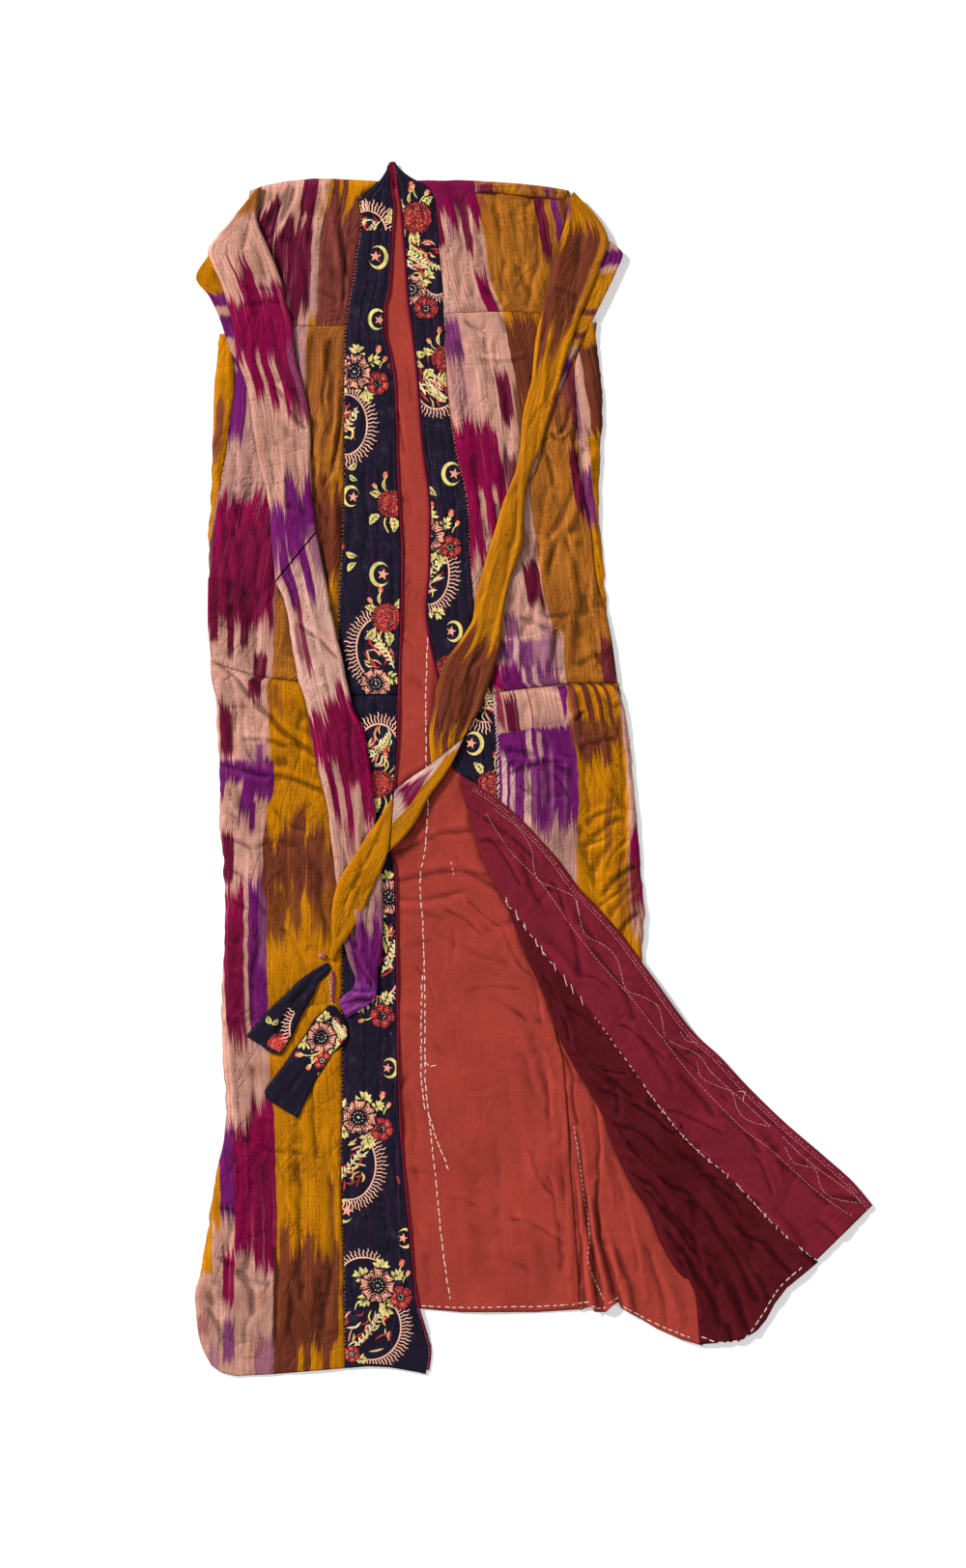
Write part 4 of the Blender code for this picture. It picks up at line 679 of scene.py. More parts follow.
def facets(x, y, seed, size, share=0.5, lean=0.5):
    """Straight creases that start and stop in patches, each patch with a direction of its own."""
    z = np.zeros(np.shape(x))
    r = np.random.RandomState(seed)
    for k in range(7):
        a = (r.rand() - 0.5) * math.pi * lean + (0 if k % 3 else math.pi / 2)
        wave = size * (0.6 + 0.9 * r.rand())
        bend = (noise(x, y, size * 2.2, seed + k) - 0.5) * 0.9
        p = (x * math.cos(a) + y * math.sin(a)) / wave + bend + r.rand() * 9
        on = step01(1 - share, 1 - share + 0.22, noise(x, y, size * 1.9, seed + 20 + k, 1.5))
        z = z + tri(p) * on
    return z


def wrinkles(x, y, seed, wide=0.0032, big=0.0014, small=0.0004, stretch=1.5, length=6.0, lean=0.5,
             crisp=0.0003, sharp=0.0012):
    """The crumpling of washed silk and cotton: soft swells, crinkles along the cloth, straight
    creases in patches and a few sharp lines; uneven from place to place."""
    calm = 0.45 + 0.9 * noise(x, y, 85, seed + 9)
    line = creased(x, y, 44, seed, stretch) ** 4 * step01(0.45, 0.62, noise(x, y, 34, seed + 8))
    skew = (x + 0.35 * y, y)
    return calm * (wide * (noise(*skew, 40, seed + 3, stretch) - 0.30)
                   + big * (noise(x - 0.2 * y, y, 19, seed + 5, stretch * 1.3) - 0.40)
                   + small * (noise(x, y, 8, seed + 1, length * 0.7) - 0.5)
                   + small * 0.5 * (noise(x, y, 4.6, seed + 2, length) - 0.5)
                   + crisp * facets(x, y, seed + 500, 21, 0.40, lean)
                   - sharp * line)


STREWN_LEFT = scatter(1001, 210, 205, 370, 190, 1420, 0.0, 0.7)
STREWN_RIGHT = scatter(1002, 170, 455, 665, 190, 1000, 0.0, 0.7)
STREWN_LINING = scatter(1003, 70, 405, 600, 400, 1350, 0.3, 1.2, (20, 80), (3.0, 6.0), (0.0003, 0.0009))
STREWN_FLAP = scatter(1004, 110, 500, 900, 830, 1400, 0.75, 0.8, (20, 90), (2.2, 5.0), (0.0003, 0.0009))
STREWN_BAND = scatter(1005, 150, 345, 520, 180, 1420, 0.2, 1.4, (8, 30), (1.8, 3.0), (0.0003, 0.0007))
STREWN_SLEEVE = scatter(1006, 110, 220, 400, 200, 1060, 0.15, 0.5, (14, 60), (1.8, 3.2), (0.0002, 0.0007))
STREWN_SLEEVE_R = scatter(1007, 90, 400, 625, 200, 1000, -0.35, 0.5, (14, 60), (1.8, 3.2), (0.0002, 0.0007))


def front_relief(x, y):
    z = (folds(x, y, FRONT_CREASES) * 1.5 + folds(x, y, STREWN_LEFT) + folds(x, y, STREWN_RIGHT)
         + wrinkles(x, y, 11, 0.0040, 0.0026, 0.00016, crisp=0.0001, sharp=0.0004))
    for x0, y0, x1, y1, half, high in zip(*(RIDGES[k] for k in ("x0", "y0", "x1", "y1", "half", "high"))):
        dx, dy = x1 - x0, y1 - y0
        n = math.hypot(dx, dy)
        t, d = ((x - x0) * dx + (y - y0) * dy) / n ** 2, ((x - x0) * dy - (y - y0) * dx) / n
        end = step01(-0.02, 0.2, np.minimum(t, 1 - t))
        z = z + high * np.exp(-(d / half) ** 2) * end
    return z * (1 - 0.65 * covered(x, y))


def band_relief(x, y, share):
    """Quilted band: lines of stitches sink into the padding and pucker it."""
    z = folds(x, y, STREWN_BAND) + wrinkles(x, y, 31, 0.0014, 0.0012, 0.0003, 0.9, 1.2, 1.0, 0.0001, 0.0003)
    for s in (0.10, 0.40, 0.66, 0.92):
        wob = (noise(y, y * 0, 37, int(s * 100)) - 0.5) * 0.16
        d = share - s - wob
        z = z - 0.0008 * np.exp(-(d / 0.035) ** 2)
        z = z - 0.00055 * creased(x * 0.3, y, 7, 60 + int(s * 10)) * np.exp(-(d / 0.14) ** 2)
    return z * (1 - 0.6 * covered(x, y))


def lining_relief(x, y):
    z = (folds(x, y, LINING_CREASES) * 0.9 + folds(x, y, STREWN_LINING)
         + wrinkles(x, y, 71, 0.0026, 0.0008, 0.00006, 1.3, 2.0, 1.0, 0.00003, 0.0003))
    return z * (1 - 0.7 * covered(x, y))


def flap_relief(x, y):
    a, b = (x + y) * 0.7071, (y - x) * 0.7071       # along and across the turned-back side
    return (folds(x, y, FLAP_CREASES) * 1.6 + folds(x, y, STREWN_FLAP)
            + wrinkles(b + 900, a, 83, 0.0030, 0.0012, 0.00008, 1.8, 3.0, 0.8, 0.00004, 0.0003))
# ------------------------------------------------------------------ colours (sRGB, 0 to 255)
def lin(r, g, b):
    def f(c):
        c = c / 255
        return c / 12.92 if c <= 0.04045 else ((c + 0.055) / 1.055) ** 2.4
    return (f(r), f(g), f(b), 1.0)


PINK = lin(189, 137, 120)
PALE = lin(206, 164, 150)
GREYPINK = lin(150, 108, 106)
VIOLET = lin(138, 50, 146)
MAGENTA = lin(124, 4, 58)
PLUM = lin(94, 14, 44)
PURPLE = lin(102, 20, 92)
MAUVE = lin(130, 76, 108)
MUSTARD = lin(180, 112, 2)
OCHRE = lin(156, 92, 34)
BROWN = lin(104, 48, 30)
REDBROWN = lin(112, 50, 46)
NAVY = lin(28, 23, 38)
DARKBROWN = lin(66, 28, 22)
BRICK = lin(155, 57, 47)
MAROON = lin(80, 17, 24)
CRIMSON = lin(114, 28, 42)


# ------------------------------------------------------------------ shader helpers
class Web:
    """A material's node tree, with short words for its nodes."""

    def __init__(self, name):
        self.mat = bpy.data.materials.new(name)
        self.mat.use_nodes = True
        self.nt = self.mat.node_tree
        self.shader = self.nt.nodes["Principled BSDF"]
        at = self.nt.nodes.new("ShaderNodeAttribute")
        at.attribute_name = "weave"
        sep = self.nt.nodes.new("ShaderNodeSeparateXYZ")
        self.nt.links.new(at.outputs["Vector"], sep.inputs[0])
        # the weave attribute holds u and v, and as its third channel the painted shade and highlight that finish()
        # multiplies into the colour
        self.U, self.V, self.painted_shade_highlight = sep.outputs[0], sep.outputs[1], sep.outputs[2]

    def feed(self, socket, value):
        if isinstance(value, bpy.types.NodeSocket):
            self.nt.links.new(value, socket)
        elif hasattr(value, "__len__") and len(value) == 4 and socket.type == "VECTOR":
            socket.default_value = value[:3]
        else:
            socket.default_value = value

    def math(self, op, a, b=0.0, c=0.0, clamp=False):
        n = self.nt.nodes.new("ShaderNodeMath")
        n.operation, n.use_clamp = op, clamp
        for s, v in zip(n.inputs, (a, b, c)):
            self.feed(s, v)
        return n.outputs[0]

    def vec(self, x, y, z=0.0):
        n = self.nt.nodes.new("ShaderNodeCombineXYZ")
        for s, v in zip(n.inputs, (x, y, z)):
            self.feed(s, v)
        return n.outputs[0]

    def scaled(self, su, sv, shift=0.0):
        """The weave's own directions, stretched: su and sv are cells a square."""
        return self.vec(self.math("MULTIPLY_ADD", self.U, su, shift),
                        self.math("MULTIPLY_ADD", self.V, sv, shift * 0.7), 0.0)

    def noise(self, vector, scale=1.0, detail=2.0, rough=0.5, distort=0.0):
        n = self.nt.nodes.new("ShaderNodeTexNoise")
        n.noise_dimensions = "2D"
        self.feed(n.inputs["Vector"], vector)
        n.inputs["Scale"].default_value = scale
        n.inputs["Detail"].default_value = detail
        n.inputs["Roughness"].default_value = rough
        n.inputs["Distortion"].default_value = distort
        return n.outputs["Fac"]

    def cells(self, vector, scale=1.0, feature="F1"):
        n = self.nt.nodes.new("ShaderNodeTexVoronoi")
        n.voronoi_dimensions = "2D"
        n.feature = feature
        self.feed(n.inputs["Vector"], vector)
        n.inputs["Scale"].default_value = scale
        return n.outputs["Distance"]

    def ramp(self, value, a, b, lo=0.0, hi=1.0):
        n = self.nt.nodes.new("ShaderNodeMapRange")
        n.interpolation_type = "SMOOTHSTEP"
        for s, v in zip(n.inputs, (value, a, b, lo, hi)):
            self.feed(s, v)
        return n.outputs[0]

    def mix(self, share, a, b, how="MIX"):
        n = self.nt.nodes.new("ShaderNodeMix")
        n.data_type, n.blend_type = "RGBA", how
        self.feed(n.inputs[0], share)
        self.feed(n.inputs[6], a)
        self.feed(n.inputs[7], b)
        return n.outputs[2]

    def crinkle(self, sh, size=1.0, lines=((0.10, 0.085, 0.015, 0.44), (-0.46, 0.070, 0.018, 0.50), (0.60, 0.075, 0.018, 0.50),
                                       (1.38, 0.060, 0.018, 0.55))):
        """Fine creases in patches: (a thin line of painted shade for the colour, a pinched fold beside it for the
        bump).
        """
        painted_shade = pinch = 0.0
        for k, (turn, cp, cq, lo) in enumerate(lines):
            c, s = math.cos(turn), math.sin(turn)
            p = self.math("MULTIPLY_ADD", self.V, s, self.math("MULTIPLY", self.U, c))
            q = self.math("MULTIPLY_ADD", self.V, c, self.math("MULTIPLY", self.U, -s))
            v = self.vec(self.math("MULTIPLY_ADD", p, cp / size, 5.3 * k + sh), self.math("MULTIPLY_ADD", q, cq / size, 2.1 * k + sh))
            r = self.math("ABSOLUTE", self.math("SUBTRACT", self.noise(v, 1.0, 1.0, 0.4), 0.5))
            on = self.ramp(self.noise(self.scaled(0.024, 0.015, sh + 31.0 * k), 1.0, 1.0), lo, lo + 0.13)
            painted_shade = self.math("MULTIPLY_ADD", on, self.ramp(r, 0.0, 0.020, 1.0, 0.0), painted_shade)
            pinch = self.math("MULTIPLY_ADD", on, self.ramp(r, 0.0, 0.085, 1.0, 0.0), pinch)
        return self.math("MINIMUM", painted_shade, 1.0), pinch

    def finish(self, colour, bump, rough=0.78, sheen=0.25, tint=(1, 1, 1, 1), strength=0.6,
               distance=0.0006, crease=0.52):
        s = self.shader
        # painted shade and highlight: the colour is darkened where the third weave channel is above zero (painted
        # crease shade and painted contact shadow) and lightened where it is below zero (painted highlight on ridges)
        deep = self.ramp(self.painted_shade_highlight, 0.0, 1.0, 1.0, 1 - crease)
        high = self.ramp(self.painted_shade_highlight, 0.0, -1.0, 1.0, 1 + crease * 0.35)
        k = self.math("MULTIPLY", deep, high)
        colour = self.mix(1.0, colour, self.vec(k, k, k), "MULTIPLY")
        self.feed(s.inputs["Base Color"], colour)
        s.inputs["Roughness"].default_value = rough
        s.inputs["IOR"].default_value = 1.42
        s.inputs["Specular IOR Level"].default_value = 0.06
        s.inputs["Sheen Weight"].default_value = sheen * 0.07
        s.inputs["Sheen Roughness"].default_value = 0.45
        s.inputs["Sheen Tint"].default_value = tint
        n = self.nt.nodes.new("ShaderNodeBump")
        n.inputs["Strength"].default_value = strength
        n.inputs["Distance"].default_value = distance
        self.feed(n.inputs["Height"], bump)
        self.nt.links.new(n.outputs[0], s.inputs["Normal"])
        return self.mat


def dye_group():
    """One block of resist-dyed colour whose ends run out in threads and fingers."""
    g = bpy.data.node_groups.new("dye", "ShaderNodeTree")
    for nm, kind in (("Base", "NodeSocketColor"), ("Dye", "NodeSocketColor"), ("U", 0), ("V", 0),
                     ("NA", 0), ("NB", 0), ("NF", 0), ("u0", 0), ("u1", 0), ("v0", 0), ("v1", 0),
                     ("f0", 0), ("a0", 0), ("f1", 0), ("a1", 0), ("share", 0), ("side", 0)):
        g.interface.new_socket(name=nm, in_out="INPUT", socket_type=kind or "NodeSocketFloat")
    g.interface.new_socket(name="Color", in_out="OUTPUT", socket_type="NodeSocketColor")
    i, o = g.nodes.new("NodeGroupInput"), g.nodes.new("NodeGroupOutput")

    def m(op, a, b=0.0, c=0.0, clamp=False):
        n = g.nodes.new("ShaderNodeMath")
        n.operation, n.use_clamp = op, clamp
        for s, v in zip(n.inputs, (a, b, c)):
            if isinstance(v, bpy.types.NodeSocket):
                g.links.new(v, s)
            else:
                s.default_value = v
        return n.outputs[0]
    I = i.outputs
    top = m("DIVIDE", m("SUBTRACT", m("MULTIPLY_ADD", I["a0"], I["NA"], I["V"]), I["v0"]), I["f0"])
    top = m("ADD", top, I["NF"], clamp=True)
    low = m("DIVIDE", m("SUBTRACT", m("MULTIPLY_ADD", I["a1"], I["NB"], I["v1"]), I["V"]), I["f1"])
    low = m("ADD", low, I["NF"], clamp=True)
    a = m("ADD", m("MULTIPLY", m("SUBTRACT", I["U"], I["u0"]), I["side"]), 0.5, clamp=True)
    b = m("ADD", m("MULTIPLY", m("SUBTRACT", I["u1"], I["U"]), I["side"]), 0.5, clamp=True)
    k = m("MULTIPLY", m("MULTIPLY", top, low), m("MULTIPLY", a, b))
    k = m("MULTIPLY", k, I["share"])
    n = g.nodes.new("ShaderNodeMix")
    n.data_type = "RGBA"
    g.links.new(k, n.inputs[0])
    g.links.new(I["Base"], n.inputs[6])
    g.links.new(I["Dye"], n.inputs[7])
    g.links.new(n.outputs[2], o.inputs["Color"])
    return g


DYE = dye_group()


def ikat(name, base, chart, seed=0, soil=0.5, side=1.1, worn=0.5):
    """Ikat cloth. base: [(u from which it holds, colour)]; chart: rows of
    (u0, u1, v0, v1, colour, f0, a0, f1, a1, share): block, soft ends and fingers."""
    w = Web(name)
    sh = seed * 13.7
    wob = w.math("MULTIPLY", w.math("SUBTRACT", w.noise(w.scaled(0.02, 0.05, sh), 1.0, 1.0), 0.5), 3.0)
    U = w.math("ADD", w.U, wob)
    uv = w.vec(w.math("MULTIPLY_ADD", U, 1.0, sh), w.V)

    def along(cu, cv, detail, shift):
        v = w.vec(w.math("MULTIPLY_ADD", U, cu, shift + sh), w.math("MULTIPLY_ADD", w.V, cv, shift), 0.0)
        return w.noise(v, 1.0, detail, 0.55)
    # fingers: wide bundles, and narrower ones inside them
    fingers = []
    for k in range(3):
        wide = w.ramp(along(0.105, 0.0012, 0.0, 3.1 + 17.3 * k), 0.36, 0.62)
        thin = w.ramp(along(0.27, 0.003, 1.0, 9.7 + 11.9 * k), 0.34, 0.66)
        fingers.append(w.math("ADD", w.math("MULTIPLY", wide, 0.66), w.math("MULTIPLY", thin, 0.34)))
    thread = w.math("ADD", w.math("MULTIPLY", along(0.50, 0.006, 1.0, 41.0), 0.6), w.math("MULTIPLY", along(1.3, 0.012, 1.0, 53.0), 0.4))
    NF = w.math("MULTIPLY_ADD", thread, 5.4, -2.2)
    colour = base[0][1]
    for u, c in base[1:]:
        colour = w.mix(w.math("ADD", w.math("MULTIPLY", w.math("SUBTRACT", U, u), 1.2), 0.5, clamp=True),
                       colour, c)
    if not isinstance(colour, bpy.types.NodeSocket):
        colour = w.mix(0.0, colour, colour)
    # the ground's own unevenness, lengthwise
    drift = along(0.06, 0.006, 2.0, 77.0)
    colour = w.mix(w.ramp(drift, 0.45, 0.75, 0.0, 0.35), colour, w.mix(1.0, colour, (0.86, 0.80, 0.80, 1), "MULTIPLY"))
    held = w.ramp(along(0.62, 0.005, 2.0, 63.0), 0.62, 0.78, 1.0, 0.62)    # threads the dye missed
    for k, row in enumerate(chart):
        u0, u1, v0, v1, dye, f0, a0, f1, a1 = row[:9]
        share = row[9] if len(row) > 9 else 1.0
        n = w.nt.nodes.new("ShaderNodeGroup")
        n.node_tree = DYE
        vals = dict(Base=colour, Dye=dye, U=U, V=w.V, NA=fingers[k % 3], NB=fingers[(k + 1) % 3],
                    NF=NF, u0=u0, u1=u1, v0=v0, v1=v1, f0=f0 * 0.6, a0=a0, f1=f1 * 0.6, a1=a1, share=w.math("MULTIPLY", held, share),
                    side=side)
        for key, val in vals.items():
            w.feed(n.inputs[key], val)
        colour = n.outputs["Color"]
    # threads: light and dark ones along the warp, finer ones across
    light = w.ramp(along(0.55, 0.006, 3.0, 5.0), 0.28, 0.74, 0.80, 1.16)
    slub = w.ramp(along(1.5, 0.03, 2.0, 15.0), 0.3, 0.7, 0.93, 1.07)
    weft = w.ramp(w.noise(w.scaled(0.05, 0.8, sh), 1.0, 3.0), 0.3, 0.7, 0.93, 1.06)
    shade = w.math("MULTIPLY", w.math("MULTIPLY", light, slub), weft)
    blot = w.ramp(w.noise(w.scaled(0.018, 0.022, sh + 3), 1.0, 3.0, 0.6), 0.35, 0.75, 1.07, 0.86)
    shade = w.math("MULTIPLY", shade, blot)
    colour = w.mix(1.0, colour, w.vec(shade, shade, shade), "MULTIPLY")
    # soiling: faint brown clouds with dark specks in them
    cloud = w.ramp(w.noise(w.scaled(0.03, 0.03, sh + 8), 1.0, 2.0), 0.52, 0.72, 0.0, 0.5 * soil)
    colour = w.mix(cloud, colour, w.mix(1.0, colour, (0.80, 0.70, 0.62, 1), "MULTIPLY"))
    speck = w.math("MULTIPLY", w.ramp(w.cells(w.scaled(0.22, 0.22, sh), 1.0), 0.16, 0.07),
                   w.ramp(w.noise(w.scaled(0.035, 0.03, sh + 8), 1.0, 2.0), 0.50, 0.66))
    colour = w.mix(w.math("MULTIPLY", speck, 0.55 * soil), colour, lin(78, 44, 36))
    # painted shade along fine creases: the colour is darkened on their lines
    painted_shade, pinch = w.crinkle(sh + 2.0)
    k = w.math("MULTIPLY_ADD", painted_shade, -0.26, 1.0)
    colour = w.mix(1.0, colour, w.vec(k, k, k), "MULTIPLY")
    rib = w.math("MULTIPLY", w.math("SINE", w.math("MULTIPLY", w.V, 5.2)), 0.05)
    bump = w.math("ADD", w.math("MULTIPLY", light, 0.30), rib)
    bump = w.math("ADD", bump, w.math("MULTIPLY", w.noise(w.scaled(0.16, 0.07, sh + 5), 1.0, 3.0, 0.55), 0.42))
    bump = w.math("MULTIPLY_ADD", pinch, -0.42, bump)
    return w.finish(colour, bump, rough=0.72, sheen=0.3, strength=0.9, distance=0.0010)


def plain(name, tone, seed=0, mottle=0.12, sheen=0.2, rough=0.8, lines=0.5, worn=None, cells=0.5,
          strength=0.85):
    """Plain woven cloth: thread streaks both ways, uneven dye, small creases."""
    w = Web(name)
    sh = seed * 7.9
    long = w.ramp(w.noise(w.scaled(0.9, 0.02, sh), 1.0, 3.0), 0.3, 0.7, 1 - 0.08 * lines, 1 + 0.08 * lines)
    cross = w.ramp(w.noise(w.scaled(0.02, 0.9, sh + 2), 1.0, 3.0), 0.3, 0.7, 1 - 0.06 * lines, 1 + 0.06 * lines)
    blot = w.ramp(w.noise(w.scaled(0.02, 0.016, sh + 4), 1.0, 4.0, 0.6), 0.3, 0.75, 1 + mottle, 1 - mottle)
    shade = w.math("MULTIPLY", w.math("MULTIPLY", long, cross), blot)
    colour = w.mix(1.0, tone, w.vec(shade, shade, shade), "MULTIPLY")
    if worn is not None:
        rub = w.ramp(w.noise(w.scaled(0.07, 0.05, sh + 6), 1.0, 4.0, 0.65), 0.55, 0.75, 0.0, 0.5)
        colour = w.mix(rub, colour, worn)
    pinch = 0.0
    if cells >= 0.3:
        # painted shade along fine creases: the colour is darkened on their lines
        painted_shade, pinch = w.crinkle(sh + 1.0, 1.5, ((0.25, 0.085, 0.018, 0.50), (-0.75, 0.070, 0.020, 0.48), (1.25, 0.060, 0.018, 0.55)))
        k = w.math("MULTIPLY_ADD", painted_shade, -0.22 * cells, 1.0)
        colour = w.mix(1.0, colour, w.vec(k, k, k), "MULTIPLY")
    warp = w.math("SINE", w.math("MULTIPLY", w.U, 5.0))
    weft = w.math("SINE", w.math("MULTIPLY", w.V, 5.0))
    bump = w.math("MULTIPLY", w.math("MULTIPLY", warp, weft), 0.06)
    bump = w.math("ADD", bump, w.math("MULTIPLY", w.noise(w.scaled(0.10, 0.08, sh + 5), 1.0, 3.0, 0.55), 0.7 * cells + 0.1))
    bump = w.math("MULTIPLY_ADD", pinch, -0.50 * cells, bump)
    return w.finish(colour, bump, rough=rough, sheen=sheen, tint=tone, strength=strength, distance=0.0010)


def rows_at(border, *rows):
    """Chart rows given with plan x, turned into squares off the stripe border."""
    out = []
    for r in rows:
        b = float(edge(border, np.array([(r[2] + r[3]) / 2]))[0])
        out.append((r[0] - b, r[1] - b) + tuple(r[2:]))
    return out


# ------------------------------------------------------------------ charts of the ikat lengths
# x0 x1 y0 y1 dye, soft top, top fingers, soft foot, foot fingers
LEFT_UPPER = rows_at(LEFT_STRIPE,
    (262, 283, 224, 300, PLUM, 10, 22, 16, 10), (283, 298, 244, 330, PLUM, 12, 26, 12, 18),
    (297, 331, 240, 306, PLUM, 12, 20, 18, 22), (300, 310, 296, 336, PLUM, 8, 0, 10, 0),
    (313, 328, 180, 221, PLUM, 8, 0, 8, 6), (323, 331, 180, 330, PALE, 10, 0, 12, 0, 0.5),
    (340, 347, 180, 262, BROWN, 16, 8, 30, 20), (352, 358, 180, 250, BROWN, 14, 10, 30, 26),
    (364, 372, 206, 300, BROWN, 16, 10, 30, 0, 0.8), (330, 396, 232, 336, REDBROWN, 18, 24, 12, 4),
    (334, 342, 210, 336, REDBROWN, 20, 10, 12, 0), (336, 396, 300, 352, BROWN, 24, 0, 20, 0, 0.25))
LEFT_MIDDLE = rows_at(LEFT_STRIPE,
    (205, 300, 400, 640, GREYPINK, 40, 20, 40, 20, 0.42), (236, 256, 386, 440, PURPLE, 12, 10, 16, 18), (262, 316, 338, 420, MAUVE, 16, 16, 26, 18, 0.4),
    (318, 362, 300, 470, OCHRE, 16, 0, 60, 30), (318, 362, 300, 560, OCHRE, 16, 0, 40, 10, 0.55), (320, 358, 340, 430, BROWN, 20, 0, 60, 20, 0.32),
    (215, 290, 520, 636, MAGENTA, 14, 16, 14, 20), (222, 300, 548, 640, PLUM, 20, 12, 20, 14, 0.55),
    (218, 226, 600, 664, PLUM, 8, 0, 10, 4), (236, 243, 600, 676, PLUM, 8, 0, 14, 6),
    (250, 258, 600, 668, PLUM, 8, 0, 12, 6), (296, 356, 522, 602, BROWN, 18, 20, 22, 26),
    (318, 332, 500, 620, BROWN, 16, 12, 20, 16, 0.8), (298, 322, 560, 640, PLUM, 16, 10, 22, 18, 0.7),
    (262, 276, 680, 716, PLUM, 10, 6, 8, 0), (283, 352, 636, 716, OCHRE, 30, 20, 12, 0, 0.8))
LEFT_LOWER = rows_at(LEFT_STRIPE,
    (262, 275, 680, 724, PLUM, 8, 4, 14, 6), (228, 242, 734, 782, PLUM, 12, 8, 14, 8),
    (222, 234, 786, 822, PURPLE, 9, 4, 12, 8), (234, 284, 789, 806, PURPLE, 8, 4, 10, 8), (250, 264, 800, 842, PURPLE, 6, 0, 16, 10), (258, 264, 830, 858, PURPLE, 6, 0, 12, 4),
    (262, 284, 798, 822, PURPLE, 6, 0, 12, 8), (254, 276, 774, 794, MAUVE, 12, 8, 8, 4, 0.4), (266, 272, 770, 800, PURPLE, 8, 4, 6, 0, 0.8),
    (229, 242, 864, 914, PLUM, 12, 8, 12, 8), (232, 252, 926, 1070, MAGENTA, 18, 14, 22, 14),
    (234, 254, 960, 1076, PLUM, 24, 10, 20, 10, 0.6), (257, 276, 918, 1058, PURPLE, 18, 20, 24, 20),
    (268, 276, 900, 1000, MAUVE, 20, 0, 20, 0, 0.5),
    (224, 243, 1172, 1250, PURPLE, 18, 14, 20, 16), (263, 286, 1146, 1312, MAGENTA, 18, 20, 14, 12), (242, 265, 1174, 1284, MAGENTA, 20, 18, 14, 16),
    (262, 284, 1200, 1292, PLUM, 18, 12, 20, 14, 0.5), (231, 243, 1300, 1344, MAGENTA, 14, 8, 14, 8),
    (200, 228, 1190, 1266, MUSTARD, 16, 6, 14, 6), (200, 220, 1250, 1318, MUSTARD, 8, 0, 8, 2),
    (231, 243, 1376, 1412, PURPLE, 14, 12, 12, 0, 0.85), (263, 286, 1392, 1440, PURPLE, 14, 12, 10, 0, 0.6),
    (204, 216, 1362, 1382, MAGENTA, 10, 6, 10, 0, 0.5), (216, 228, 1400, 1430, MAUVE, 12, 8, 8, 0, 0.6),
    (272, 356, 884, 914, BROWN, 22, 34, 20, 26), (302, 316, 846, 900, BROWN, 18, 12, 14, 0),
    (276, 296, 920, 966, BROWN, 12, 0, 18, 12, 0.85), (300, 312, 916, 958, BROWN, 12, 0, 18, 12, 0.85), (322, 344, 900, 962, BROWN, 12, 0, 18, 14, 0.7),
    (283, 351, 1304, 1388, BROWN, 18, 22, 14, 10), (284, 309, 1376, 1440, BROWN, 8, 0, 8, 0), (340, 347, 1226, 1268, BROWN, 14, 6, 14, 6, 0.5), (290, 300, 1270, 1330, BROWN, 16, 8, 14, 0, 0.9),
    (318, 326, 1280, 1330, BROWN, 14, 8, 14, 0, 0.9), (294, 302, 1380, 1425, BROWN, 10, 0, 10, 0),
    (314, 322, 1380, 1425, BROWN, 10, 0, 10, 0), (334, 342, 1380, 1425, BROWN, 10, 0, 10, 0),
    (276, 292, 706, 740, BROWN, 10, 0, 30, 10, 0.5))
LEFT_GORE = rows_at(LEFT_STRIPE,
    (222, 250, 338, 600, MUSTARD, 4, 0, 4, 0), (222, 232, 420, 470, REDBROWN, 14, 10, 16, 10, 0.8),
    (218, 236, 508, 600, PINK, 14, 6, 10, 0), (216, 232, 540, 600, PLUM, 14, 8, 10, 0, 0.8))
RIGHT_UPPER = rows_at(RIGHT_STRIPE,
    (424, 500, 172, 214, MAGENTA, 8, 0, 8, 6), (424, 500, 172, 218, PLUM, 8, 0, 8, 8, 0.5), (424, 500, 172, 214, PURPLE, 8, 0, 8, 8, 0.12),
    (446, 457, 204, 252, PLUM, 10, 0, 10, 4), (461, 471, 204, 230, MAGENTA, 10, 0, 12, 8),
    (463, 469, 226, 244, MAUVE, 8, 0, 10, 4, 0.6), (478, 486, 206, 258, PLUM, 10, 0, 12, 6),
    (487, 497, 202, 230, MAGENTA, 8, 0, 14, 8), (500, 512, 290, 330, MAGENTA, 14, 8, 14, 8), (455, 470, 290, 340, PALE, 12, 0, 12, 0, 0.4),
    (505, 610, 180, 350, OCHRE, 10, 0, 10, 0, 0.75), (556, 566, 194, 262, PLUM, 12, 0, 20, 10),
    (572, 580, 194, 252, PURPLE, 12, 0, 20, 10, 0.9), (582, 590, 194, 262, BROWN, 12, 0, 20, 10, 0.9),
    (530, 545, 300, 350, BROWN, 26, 10, 10, 0, 0.3))
